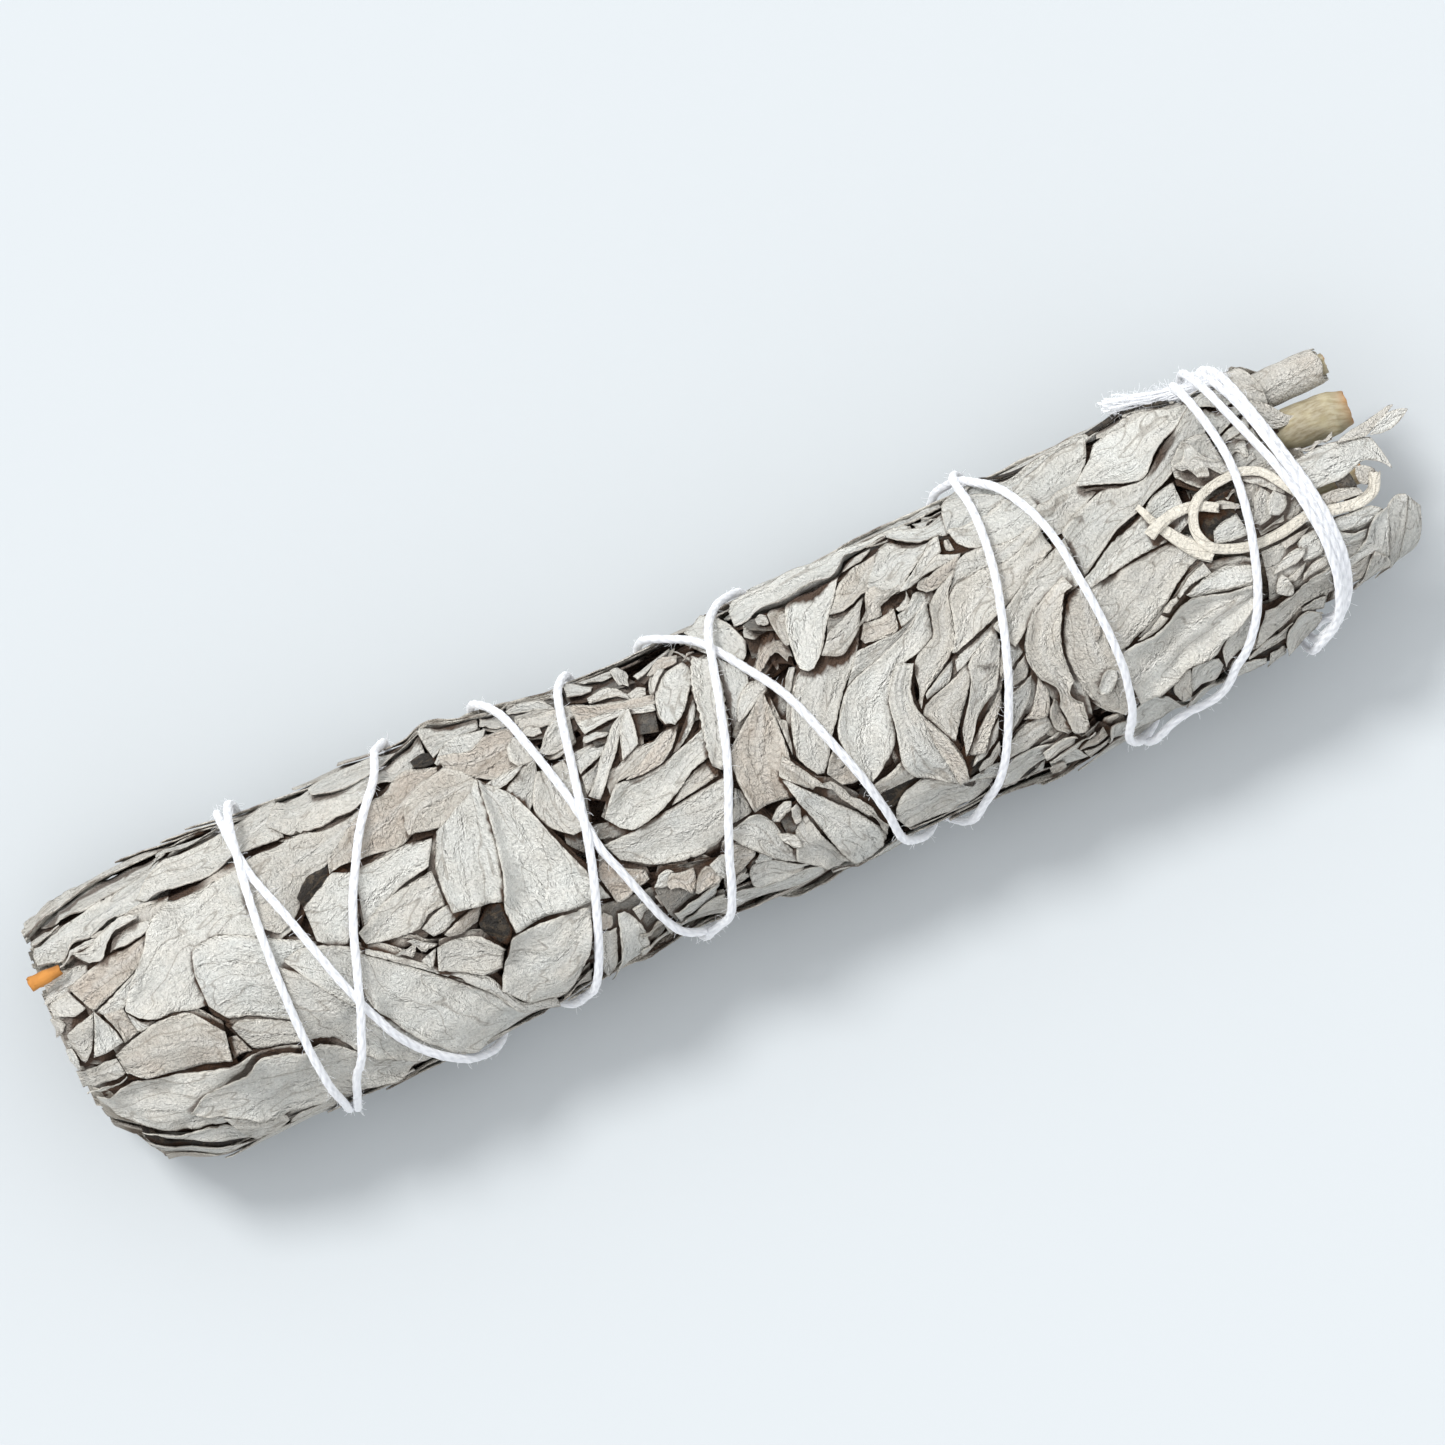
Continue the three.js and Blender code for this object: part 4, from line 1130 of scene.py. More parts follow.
        t("88.8,18.4 87.2,20.3 84.6,21 81.6,21/88.2,18.2 86,19.7 83.6,20.3 81.8,20.5", 0.3, 0.3),
        t("89.6,17.9 86,19 82.6,19.3/89.4,17.2 86,18 82.2,18", 0.0, 0.6, **ragged),
        t("92,17 87,17.9 82.6,18.5/91,15.4 86.6,16.2 82.4,16.6", 0.1, 0.45),
        t("85.4,16.3 84,17 82.6,16.7/85.4,15.6 84,15.5 82.8,16", 0.3, 0.3, curl=(0.4, 1.1)),
        t("90.4,15.6 88,16.1 86,15.4 83.8,13.4/89.6,13 87.4,12.3 85.4,12.2 84,12.9", 0.1, 0.3),
        t("81,16.4 79.6,15.6 78.9,13.6 79.8,12.1/81.8,16.2 82.6,15 83,13.4 82.6,12.2", 0.2, 0.3),
        t("73.3,12.1 71.6,14.6 68.8,16.3 64.6,15.6 61.4,13.6 59.9,10.8/"
          "72.8,11.8 69.4,10.1 66.4,8.7 62.6,9.2 59.9,9.4", -0.1, 0.6),
        t("82.8,12.3 79.8,11.5 75.9,9.2/81.6,9.4 80,6.4 78.3,5 77,7.8", 0.1, 0.3),
        t("80.8,11.9 77,12.1 74.4,11.5 73.3,10.7/"
          "79.6,11.2 77,10.2 75,9.9 73.8,10.2", 0.4, 0.2, curl=(0.4, 1.1)),
        t("64,8.4 61.6,4 61,0 61,-3.6/73.2,11.6 72.8,7 71.4,1 69.4,-5.4", 0.4, 0.1, ridges=2),
        t("88,10 86,9 82.6,4 81.6,-1.6/90,9 88,4 86,-1 83.6,-4.4", -0.85, 0.4),
        t("82,10.3 80.2,7.4 79.1,4.6 80.2,1.6 83.2,-.9/86.8,10.6 87.2,6 86,2 85,-.8", 0.15, 0.3),
        t("73.3,11 72.2,5 70.6,-1.6 68.6,-6 68.6,-9.8/"
          "74.4,10.6 77.6,7.6 79.6,2.4 81.4,-3 83.4,-8 84.4,-11.6", 0.4, 0.1, 11, ridges=2),
        t("93.4,8.8 90,6.8 88.2,6.2/92,7.4 89.6,4.8 87.8,3.4", -0.2, 0.35),
        t("94.6,10.2 91,10.7 88,10.3/93,8.6 90.4,7.4 88.2,6.4", 0.3, 0.2),
        t("94,-13 88,-12.8 82.6,-12.6 78,-15/94,-19 88,-21 84,-22 79,-23", -0.85, 0.5),
        t("81,-11.8 76,-11.1 71,-10.2 68,-10.2 66,-12.6/"
          "77.6,-17 74,-20.4 70.6,-21.9 66.6,-21 62.8,-17", 0.1, 0.25, 12),
        t("77,-20.6 74,-21 71,-22/76,-23.4 73.6,-23.2 71.6,-22.8", 0.1, 0.4),
        t("91,-10.4 88,-8.6 85.6,-5.6 84,-8/91,-12 88,-12.5 85,-12.8 84.6,-10.6", 0.0, 0.9),
        t("82.2,-13.2 81,-13.8 80.6,-15/83.4,-14.6 82.6,-15.8 81.6,-15.6", 0.1, 0.9),
        t("80.8,-15.5 79,-18.6 78.4,-21.4/83.2,-16 81.6,-19.4 79,-23.2", 0.1, 0.35),
        t("84.2,-14.2 82.6,-18 80.6,-21.4 79,-23.8/85.4,-14.4 87,-17.6 86.8,-20.6 84.6,-23.6", 0.65, 0.15),
        t("91,-15.6 89,-14.6 86.6,-14.6/91.6,-17 89,-17 87,-16.6", 0.0, 0.4, **ragged),
        t("90,-18.6 87,-18.2 86,-18/91,-19.6 87,-20 86,-19.4", 0.1, 0.7, **ragged),
        t("90,-20.8 86.8,-20.6 85,-20.8/90.2,-21.8 86,-22 84.8,-21.8", 0.2, 0.3),
        t("94.8,-14.6 92.6,-13.8 90.6,-13.8/95,-16 92.6,-16.2 91,-15.8", 0.1, 0.9),
        # from 91 to 127 along, far side
        t("100,20 96,20.4 91,20/102,17 96,17.4 91,17.6", -0.9, 0.4),
        t("95.6,19.2 93.6,19.9 91.6,20.8/95,18.4 93,17.9 91.2,17.8", 0.35, 0.2),
        t("99,20.4 97,20.6 93.6,20.7/99,19 97,18.9 95.5,19.4", 0.1, 0.2),
        t("99.3,17.6 99,20 100,20.2 101,19.2/100.8,16.6 101,17.4 101.4,18 101.2,19", 0.3, 0.3),
        t("100,16.2 99,17 97,17.8 94,17.5/100.2,14.9 98.4,16.4 95,16.8 94,17", 0.3, 0.4, curl=(0.5, 0.6)),
        t("103,15.6 102,16.6 100,15.8/102.6,14.6 101.4,14.4 100.4,14.6", 0.3, 0.4),
        t("109,20.4 105,19.4 102,17.9/108,19.4 105,18.3 102.4,17.2", 0.3, 0.2),
        t("109.6,18.4 107,19 104,17.2/109,17 106,16.9 104.4,16.8", 0.0, 0.8),
        t("103,12 98,12 92,12.6/102,8.4 98,9 92,9.6", -0.95, 0.4),
        t("103.8,13.8 99.8,14.8 95,16.4 91,16.8/103.4,12.2 99.6,12.9 94,14 91,14.3", 0.0, 0.9),
        t("103.2,12.2 99.4,12.9 95,14 91,14.1/103,11.2 99.4,11.8 95,12.6 91.4,12.6", 0.4, 0.2),
        t("95,10.8 93,12 91,12.2/94,10.3 91,10.8 90.6,11.4", 0.1, 0.1),
        t("110,11 107,11 105,10.6/110,7 107,6.8 104,7", -0.9, 0.5),
        t("109.2,10.4 107,8 104.6,5.8 102.7,4/108.8,8.6 107.6,6.6 105.6,5.2 103.3,3.8", 0.3, 0.3),
        t("104.6,7.6 101,7 97.6,7.2 94,5.8 91.4,5.8/102,5.6 99,4.4 96,3.4 93,3.4 91,2", 0.05, 0.5),
        t("99.4,12.7 96,11.6 94.4,10 92.4,8.2 89.8,5 87.8,3.2/"
          "98.5,11.8 97,10.6 95.4,8.6 93,5.9 91,3.6 89.4,2.2", 0.35, 0.25),
        t("99.3,12.6 96.6,10.4 95,6/99.4,12.4 99,9.6 98.4,7.4", 0.45, 0.15),
        t("93,-4 90,-1.6 86.4,-.6/93,-5.2 90,-4.6 86.6,-3.4", -0.8, 0.4),
        t("109.6,-2.4 104,-2.9 98,-3.4 92,-4.1 86.8,-4.3/"
          "106.6,-9 103,-11.6 98,-11.4 92,-10.2 88.2,-7.6", 0.2, 0.25),
        t("107.4,1 104.8,.3 102,-1/108,-2 104,-2.6 99,-3.1", 0.1, 0.5),
        t("108.4,5.4 104,4 100.6,3.1 96,2.8 92.6,3.2 90.2,1.2 88.6,-.6/"
          "107.6,1 104.4,.4 101,-1.6 97,-3.2 92,-4 90.3,-3", 0.5, 0.15),
        t("105.4,7.3 102.6,7.1 99,5.4 96,3.8 94.2,3.1/105,6.8 103,4.6 100.6,3.1 97.4,2.8 94.4,3", 0.0, 0.9),
        t("109.8,16.6 106.4,15.8 104,13.6 103,10 103.4,8.2/"
          "110.6,15 109.6,12 108,9.8 106,7.6 104.8,6.9", 0.4, 0.15),
        t("106,17.2 104.4,16 103.6,13.8/107,16.4 105.4,15.4 104,13.6", 0.3, 0.35, curl=(0.4, 1.1)),
        t("109,-4.6 107.6,-7 106,-9.2/109.8,-5.6 110,-9.2 108,-9.4", -0.4, 0.35),
        t("115,14.4 113.4,8 112.6,3/118.4,11.6 118,9 115.6,7.4 114,4.6", 0.1, 0.05),
        t("119,8.4 115,5.8 112,2.6/118,5 115,3.6 112.6,1.6", -0.85, 0.6),
        t("120.4,9.2 118,8.9 115.6,7.3 114,4.8/120,6.6 118,5.7 116,4.6 114,3.8", 0.4, 0.2),
        t("118.8,6.2 114.6,3.4 110.6,.4 109.8,-4 110.2,-9/119.4,6.3 119.4,1 119,-3.6 117,-9.8", 0.05, 0.75),
        t("111.4,16.4 109.4,11.6 108.6,7 107.6,3 107.2,-.2/"
          "114.8,14.4 114.2,9.6 112.6,4.4 110.4,0 108.6,-1.6", 0.3, 0.2, 13, teeth=0.35),
        t("115.6,22 113.6,21.6 112,20.4/120.4,14.2 119.4,17 118,19.8", 0.4, 0.15),
        t("118.2,12.6 116,15.6 114,18 112,20.4/120.4,14.2 119.2,17.4 117.8,20 115.6,22", 0.45, 0.15),
        t("112,17.6 111,18.6 109.4,19.2/110.4,17.2 109.6,18 109.2,18.6", 0.2, 0.4, **ragged),
        t("112.4,17 111,17.1 110,16.6/112,16 111,15.8 110.2,16", 0.1, 0.8, **ragged),
        t("126,16.8 124,17.2 121,16/126,12 123,12 120,12.6", -0.9, 0.5),
        t("124.8,14.9 122.6,14.2 120.8,12.4 119.6,10.6/124.4,12.6 122.6,11.2 120.3,9.6", 0.05, 0.9),
        t("124.5,15.4 123,16.6 120.9,17.2/122.6,14.8 121.4,13.6 120.3,14", -0.2, 0.45),
        t("126,12 125,14.2 124,14 122.6,12.4/125.8,8.8 124.4,9.6 123,9.9", 0.1, 0.8, **ragged),
        t("124.6,9 123.4,7.6 122.2,5/125.6,8.4 124.4,6.8 123,4.6", 0.2, 0.35),
        # from 91 to 127 along, near side
        t("98,-11.6 94,-11.6 91,-13/108,-15 100,-17 92,-19", -0.85, 0.5),
        t("95,-11.6 94,-11 92.6,-11.4/94.4,-12.4 93,-13 91,-12.6", 0.2, 0.1, curl=(0.4, 1.1)),
        t("98,-12.2 96,-12 94.2,-11.4 93,-12.6/97.6,-14 96.2,-15 95,-13.6 93.4,-13.4", 0.2, 0.9),
        t("101.6,-14.4 100,-12.4 98,-13 96.6,-14.8/101.4,-15.2 101,-15.6 98.8,-15.4 97,-15.2", 0.3, 0.8),
        t("104,-13.4 102.6,-12.4 100.4,-12.4/103.6,-14.8 102,-15.6 101,-14.6", 0.1, 0.1),
        t("107.8,-14.6 107.2,-13.6 105.6,-11.8 103,-13.6/"
          "107.2,-15.2 106,-15.8 103.4,-16.4 102,-15.4", 0.0, 0.7),
        t("100.6,-16.7 96,-16.6 92.3,-16.1/98.6,-20.4 96,-21.2 92.6,-19", 0.4, 0.1),
        t("105.4,-16.4 103.8,-15.9 102.5,-16.6/"
          "105.4,-17.2 104,-17.7 102.6,-17.2", 0.4, 0.4, curl=(0.3, 0.3)),
        t("105.4,-18.4 103,-18 101.4,-18.4/105.3,-19 103,-19.6 101,-19.6", 0.1, 0.5),
        t("117,-21.2 112,-21.2 106,-20.9 102,-20.2 99.7,-20.4/"
          "116,-23.8 110,-24.3 103,-23.8 99.9,-22.4", 0.35, 0.15),
        t("115,-20.6 113,-20 110,-17.6 108.6,-17 106.4,-17.4 105.4,-18.4/"
          "113,-21 110,-21.2 108,-21 106,-20.9 105.2,-20", 0.5, 0.2),
        t("110,-16.6 109,-15.4 108.2,-15 107,-16.4/110,-17 109.6,-17.4 108.4,-17.2 107.2,-17", 0.6, 0.0),
        t("105,-11 108.2,-14.8 111,-18.2 115.4,-20.7/"
          "106.4,-10.1 110.6,-9.3 112.4,-12.4 113,-17 115.6,-20.4", 0.2, 0.25),
        t("117.4,-10 115.6,-10.4 113.4,-11/119,-17 116,-18 113.4,-17.4", -0.9, 0.5),
        t("117.4,-13 118.4,-17 119.8,-21 120.6,-22.8/114.8,-14.8 113,-18.4 116,-20.8 118.6,-23", 0.1, 0.35),
        t("116.2,-9.8 115,-9.6 113.4,-10.4 112.2,-11.4/"
          "115.6,-11.2 114.4,-11.6 113.2,-12.4 112.4,-12", 0.3, 0.4, curl=(0.5, 1.1)),
        t("117,-10.4 117,-11.8 116.4,-13.6/115.6,-10.8 115.2,-12.4 115.2,-13.8", 0.2, 0.5, curl=(0.5, 1.1)),
        t("114.8,-15 113.6,-14.4 112,-14/114.8,-16.8 113.6,-16.4 112.4,-15.4", 0.2, 0.4, curl=(0.5, 1.1)),
        # from 119 to 159 along, far side
        t("140.4,21 144,21.4 150,21.6/139,18 143,18.4 147.6,19", shaded_hollow),
        t("127.4,17.4 124,17.6 121,16.8/127,14.2 124,14.4 121.6,14.6", -0.9, 0.4),
        t("124.8,16.8 124,17.2 123,16.5/124.8,15.3 124,15.1 123,15.2", 0.2, 0.3),
        t("128,17.2 126,17.3 125,16.4 125,14 125.4,12/"
          "127.6,15 127.2,12.6 126.4,11.4 125.8,11.4", 0.15, 0.6),
        t("140.2,13.2 136,12 132,11 128,9 125.6,7.4 123.6,5 122.2,2.6 121,0 119.8,-4.6 121.6,-8.2/"
          "140,12.6 137.4,9.2 134.4,5 131,1.8 128.6,-1.2 126,-4 124.8,-6 122.8,-8.4", 0.0, 0.3, rib=0.5),
        t("119.6,2 120.6,1.4 120.8,1/119.4,-3.8 119.9,-2.6 120.2,-1", -0.3, 0.6),
        t("137.6,17.7 133,17.6 128.4,17.2 126.8,14 126.1,10 126,7.6 127,6.4/"
          "137.4,17.4 135.6,15.2 133,11.8 131,8.8 129.6,7.2 128.2,6.3", 0.35, 0.15, 15),
        t("140.6,13.2 137.6,12.6 133.6,12.2/138,11 135,9.4 132.2,9.8", -0.8, 0.5),
        t("139.8,12.8 136,11.4 132.6,9.8/137,8.8 133,6.4 130,7.2", -0.05, 0.3),
        t("145,18.6 141.5,18.2 138.6,17.3 136.4,15.8 134.6,13.4 133.6,12.2/"
          "144,17.8 142.4,15.6 141,13.6 138.6,12.5 136.6,12.1 134.2,12.1", 0.05, 0.6),
        t("144,19.8 141.6,19.6 139.6,18.8 138.4,17.9/143.6,19.2 141.6,18.2 140,17.9 138.8,17.6", -0.1, 0.4),
        t("151,21.6 148,22.3 144,22.8 138,23.4 130,23 124,22.2 121,21.6 119.8,20.6/"
          "151,21.2 148,20.9 145,21.1 142,20.3 140,19.4 138.3,18 136,18 132,17.4 128,17.3 123,17.6"
          " 119.6,17.9", 0.35, 0.15, 14, ridges=2),
        t("147,20.6 145,20.8 143.4,20.7/146.8,20.2 145,20.2 143.6,20.2", -0.1, 0.6, **ragged),
        t("147.2,20 145.6,20.1 144,20/147,19.6 145.6,19.5 144.4,19.4", 0.1, 0.5, **ragged),
        t("147.4,19.5 146.4,19.5 145.6,19.2/147,19 146.4,18.9 145.8,18.9", 0.2, 0.3, **ragged),
        t("155,16 152,17 149,18.4 146.6,19.3 144.2,18.2 142.4,16 141,13.5/"
          "154,15.4 152.6,15.8 150,14.4 147.6,12.8 145.2,10.9 143.6,11.6 142,12.8 141.2,13.2", 0.3, 0.2),
        t("157,20.2 153,19.8 150,20.2 147,20.5/"
          "155.8,16.4 153.6,16.6 151,17.2 149,18.2 147.2,19.4", 0.5, 0.05),
        t("154.6,20.6 153,21.4 151.6,21.7/154.8,20 153.4,20.1 152,20.9", 0.4, 0.2),
        t("157,20.6 155.4,21 153.6,22.2/156.4,20.1 155,20.4 153.2,21.5", 0.4, 0.2),
        t("158.6,13 156.4,15.8 153.6,16/158,12.4 155,13 152,12.6", shaded_hollow),
        t("155.6,15.2 155,15.2 154.6,14.6/155.8,13.8 155,14 154.6,14.2", 0.0, 0.8),
        t("146.6,11 144.8,12.6 142,13.2 140.3,12.9 138.6,10.6 137.2,9/"
          "146.4,10.6 144,10 141,9.6 138.4,9.3 137.2,8.9", 0.25, 0.6, **ragged),
        t("154.4,15.6 152.8,15.7 150.2,14.3 147.6,12.5 145.2,10.6/"
          "153.8,14.1 151.4,13 149,11.9 146.6,10.6", 0.4, 0.15),
        t("156.4,12.8 154.6,13.4 152.9,13.8 150,12.7 147.2,11.2/"
          "156,12.3 153,12.4 150.4,12.1 147.6,11", 0.2, 0.2),
        t("147,10.4 144,9 141,8/148,6.6 144,5.8 141,5.6", shaded_hollow),
        t("146.2,10.4 144.6,10 143.6,9.6/146.2,9.6 145,8.9 143.8,9.1", 0.4, 0.3),
        t("143.3,9.7 140.4,9.3 138,9 136.6,7.6/143,8 142.6,6.6 141,6.3 138.6,6.6 137,6.9", 0.2, 0.75),
        t("150,10 148,10 146.6,9.6 144.4,8.6 143.4,8.4/149.6,8.6 147.6,7.6 145.4,7 143.2,6.6", -0.1, 0.1),
        t("149,8.2 146,7.4 143,6.3 139,6.3 135.4,6.3/"
          "143,5.4 140,4.4 137.4,3.7 134.4,3 131.6,1.9", 0.3, 0.2),
        t("156,12.4 152.6,12.2 149.4,11.2 147.9,10.4/"
          "154.6,10.8 152.4,10.4 150.6,9.6 149,9.4 148,10", 0.0, 0.9),
        # from 119 to 159 along, near side
        t("126.6,-5 124.8,-6 123,-8.4/128,-12 126.4,-12 124.6,-11.4 123.4,-9.4", 0.1, 0.7),
        t("117,-6.4 120.6,-10.8 124.2,-15.6 127.2,-20.2 126.4,-23.4/"
          "116.2,-6.2 117.2,-10.6 118.6,-16 120,-21 121.6,-24", 0.35, 0.15, 17),
        t("127,-13.6 129,-15.6 130.6,-19.8/125.6,-15 127.6,-18 128,-20.8", shaded_hollow),
        t("118,-3 119.4,-5.4 121.2,-8.6 123.4,-10 125.6,-13.8 127.4,-16.8 128.6,-19.6/"
          "116,-5.6 119,-8.4 122,-11.6 124.4,-14.8 126.2,-17.6 127.6,-20.6",
          0.15, 0.55, torn=0.4, curl=(0.55, 0.55)),
        t("148.4,8 146,6.8 143,5.4 140,4.4 137,3.5 134,2.7 131.2,1.6 129,-.8 127,-3.6 127,-7 128,-10.6"
          " 128.6,-12.4/"
          "147,3.4 144,2 141.4,1.6 139.6,.4 138,-.8 136.6,-2.6 136,-5 135.2,-7.8 133.4,-9.8 131,-11.4"
          " 129,-12.5", 0.3, 0.15, 16, rib=0.7),
        t("137,-9.6 132,-12.4 128.4,-13.4/143,-17.6 136,-18 129.6,-18", shaded_hollow),
        t("135.4,-10.4 133,-11.4 130.6,-12.4 128.7,-13/135.2,-14.6 132,-14.8 129,-15", -0.35, 0.6),
        t("146.4,-20.4 143,-18.6 140.6,-17.2 138.4,-15.6 136.4,-15.3 133.4,-16.4 130.8,-17.8 130,-19.4/"
          "146,-21.6 143.4,-22.6 140,-22.6 136,-22.4 132.6,-21.8 130.6,-20.6", 0.2, 0.3),
        t("146,-22 142,-22.9 137,-22.6 131,-21.4/144,-24 140,-24.8 135,-24.8 131.4,-24", 0.25, 0.2),
        t("143.6,-18.8 142.6,-19.4 141.6,-18.9/143.4,-20.6 142.8,-21 141.8,-20", -0.9, 0.7, **ragged),
        t("157,12 153,10.6 149.6,8.6 148.4,7 147.6,5 147,3.4 145,2.4 143,1.4 141.8,-1 140.8,-4.4/"
          "157,11.6 152.4,9 151.8,7.6 150.8,4 149.6,.8 148,-.6 145,-2.4 142.4,-3.7 140.6,-5.8",
          0.15, 0.45, torn=0.2),
        t("148.2,-1 145.6,-2.2 143.8,-3.2 142.2,-3.9/147.6,-2.4 146.4,-4 144,-4.6 142,-5", -0.35, 0.1),
        t("150.4,-3.6 148.4,-6.6 146,-9.6 143.4,-12/"
          "150,-2.2 147.6,-3.5 145,-4.4 141.8,-5.2 140.4,-6.4 141.6,-9 143,-12", 0.1, 0.5),
        t("157,1.6 153,.2 150,-.6 148.6,-1.2/156,.6 153.8,-.8 151.4,-1.8 149.8,-2.6 148,-3.2", -0.05, 0.1),
        t("148,-11.6 145,-13 143.2,-14/149,-17 145,-18 143,-18", shaded_hollow),
        t("151,-12.4 148.8,-13.6 147,-14.8 145.4,-15 144,-16.2/"
          "149.6,-14.6 148,-15.2 146.4,-16 145,-16", -0.2, 0.4),
        t("149.6,-15.2 147.2,-16.2 144.8,-17.2/149,-17 147,-18 144.8,-17.8", 0.1, 0.5),
        t("153,-8.4 151,-10.2 148.6,-11.6 146,-13.2 144,-14.6/"
          "152.4,-11 150.6,-12.2 148.6,-13.4 146.8,-15", 0.0, 0.7),
        t("149,-19 146,-18.4 143.6,-18 141.2,-17.8/148,-21 146,-20.3 144,-19.4 142,-18.4", 0.2, 0.0),
        t("156.4,1 153.4,-.6 151,-1.8 150,-2.6 149.6,-4.6 148,-7.4 146.6,-9.4 145.2,-11/"
          "156,-2 154,-6 152.6,-8.2 150.4,-9.4 148,-10.8 145.6,-13 143.8,-14.4", 0.35, 0.3),
        t("153.8,-3.9 152.4,-3.4 151.4,-3/153.4,-4.3 152.4,-4.6 151.2,-3.8", -0.8, 0.8, **ragged),
        t("142.6,.8 141.6,-.6 140.4,-2.6 140,-4.8 140.4,-6.6 141.4,-8.8 142.6,-11.2 143.4,-13.6"
          " 143.4,-15.2 142.6,-17.6/"
          "140,2 138,.2 136.8,-1.6 136.2,-3.4 135.6,-6.4 134.8,-9 134.2,-10.6 134.3,-11.8 135.4,-14"
          " 137.4,-15.2 140.6,-17.2", 0.4, 0.2, ridges=4),
        t("140.3,-7 141.4,-9 142.8,-12 143.4,-14.6 142.8,-17.2/"
          "140.1,-8.6 140.1,-11.4 140.6,-14 140.8,-15.6 141,-17.2", 0.1, 0.7),
        t("160,1.4 158.4,.8 157,-2 155.4,-5.4 154.6,-7/"
          "160.4,-2 159.4,-4.2 157.2,-5.6 155,-6.8", -0.1, 0.05),
        t("159,-5 157,-6 155,-7.4 154.2,-8.6/158.6,-7 157.6,-8.6 155.6,-9 154.2,-9.2", -0.35, 0.5),
        t("158.4,-8.4 156,-9.2 153.6,-9.8 151.6,-14 150.2,-16.6/"
          "157.4,-10.8 156,-12.6 154.4,-13.8 152.4,-15.2 150.4,-16.9", 0.0, 0.1),
        t("158,-14.6 155.6,-15.2 152.6,-16 150.2,-17/"
          "158,-17.2 155.6,-18 153.4,-18.7 150.4,-18.6 148.6,-18.8", 0.0, 0.45),
        t("153,-21.6 150.6,-22 148.6,-22/153,-24 150.4,-24.2 148.4,-23.6", shaded_hollow),
        t("160.8,-18.8 157,-19.4 153,-19 149,-19.2/"
          "158,-20.6 155,-21.6 152,-22 149.4,-22.6 147,-21.6", 0.15, 0.2),
        t("149.6,-23 147.4,-22.6 145.4,-23/149,-24.4 147,-24.3 145,-24.1", 0.3, 0.4, **ragged),
        t("155,-22.2 152.4,-22.6 151.2,-23.4/154,-24.2 152,-24.3 151,-24.2", 0.2, 0.3, **ragged),
        t("159.2,-9 158,-11 156,-13.6 154.4,-14.2/159.8,-12 159,-14 158,-15 156.4,-14.8", 0.15, 0.7),
        t("160,-13 158.4,-14.4 158.2,-17.4 159.8,-18.8/160.4,-14 160.4,-16.4 160.8,-18.4", -0.1, 0.6),
        # from 155 to 200 along, far side
        t("193,21.6 190,22.6 186,22.9 178,22.6 170,22.3 164.5,22.1/"
          "190.6,21 188,20.9 186,20.6 184.6,20.6 183,20.9 181,21.2 177,21.2 173,20.9 170,20.4 167.6,20.2"
          " 164,21", 0.3, 0.5, teeth=0.03, wave=0.05),
        t("198,21 195,21.2 193,21.6 191,22.3 189,22.7/"
          "197,20.3 194,20.2 192.2,20.5 190.6,21.1 188.4,21.1", 0.2, 0.5, teeth=0.03),
        t("198,20 194,20 192,20.4 190,21 187.6,20.9 185,20.2/"
          "197,19.2 194,19 192,19.4 190,19.6 187,19.8 185.2,19.9", 0.1, 0.4, teeth=0.03),
        t("182,20.9 178,21.2 174,20.8 170,20.3 167,20.1 164,21 160,22 156.8,20.6/"
          "184,19.9 180,20 176,19.8 172,19.2 169,18.2 166,17.2 162,17 157,17", 0.2, 0.1, teeth=0.03),
        t("182,20 178,20 174,19.7 170,18.6 166.4,17.3/"
          "177.2,15.4 174.6,15.2 173.2,14.4 172,13.2 168,13", 0.25, 0.15, teeth=0.03),
        t("166.4,17.4 163,19.6 160,20.6 157.6,20.6 156.4,19.4 155.8,16.6/"
          "166,16.4 162,15.9 158,15.7 155.8,15.8", 0.15, 0.1),
        t("170,16.4 166,16.6 162,16 158.6,15.8 156,15.7/"
          "170.6,11.6 168,10.8 164,11.4 160,12 158,12.8 156.6,14", 0.35, 0.15),
        t("169.8,11.6 164,11.6 160,12.4 157.4,12.2 155.2,11.4 154.4,10.4/"
          "169.6,10.6 165,9.6 161,9 157,8.9 154,9.2 152,8", 0.3, 0.25),
        t("169,10.8 165,9.8 161,9.1 157,9.4 154,9 151.8,7.6 151,4.6 150,1.8 148.6,0/"
          "169.8,8 166,6.2 162,4 159.4,2.8 156,1.6 152,.4 149,-.4", 0.0, 0.4, 4),
        t("177.2,15.5 174,14.8 172.6,13.8 170,12.9/179.6,12.9 177,12 174.6,10.9 172.4,9.4 170,9", 0.0, 0.3),
        t("183.6,12.8 181,13.6 178,14.2/183,12 180,12.7 177.6,13.3", -0.1, 0.75, **ragged),
        t("201,18 197,16.8 194,15.2 191,13.6 187,11.6 184,11.9 180.6,12.6 177,11.8 174.4,10.6 172,9/"
          "199,14 196,12.6 192.6,10.6 190,9.4 187.4,8.6 184,7.4 180,6 176,3.8 172.2,1.6",
          -0.05, 0.2, teeth=0.03, ridges=2),
        t("175.6,10.8 175,10.9 174.2,10.6/175.6,10.3 175,10.2 174.4,10.3", -0.6, 0.8, **ragged),
        t("204,19.4 200,19.4 196,19.2 190,19.6 185,19.7 182.4,19.6 180.4,17.8 178.4,16 177.2,14.8/"
          "204,18 200,17.6 197,16.6 194,15.1 191,13.5 187,11.5 184,12.2 181.4,12.9 178.6,13.9 177.2,14.4",
          0.45, 0.15, 3),
        # from 155 to 200 along, near side
        t("171,1 168.8,.4 167,-2 165.4,-5 164.6,-8 164.6,-11 164.8,-14 165.4,-16.4 167,-18.8 169.2,-20.4/"
          "173.6,0 173.6,-6 173.4,-10 173.4,-14 172,-17 170.4,-20", 0.1, 0.5),
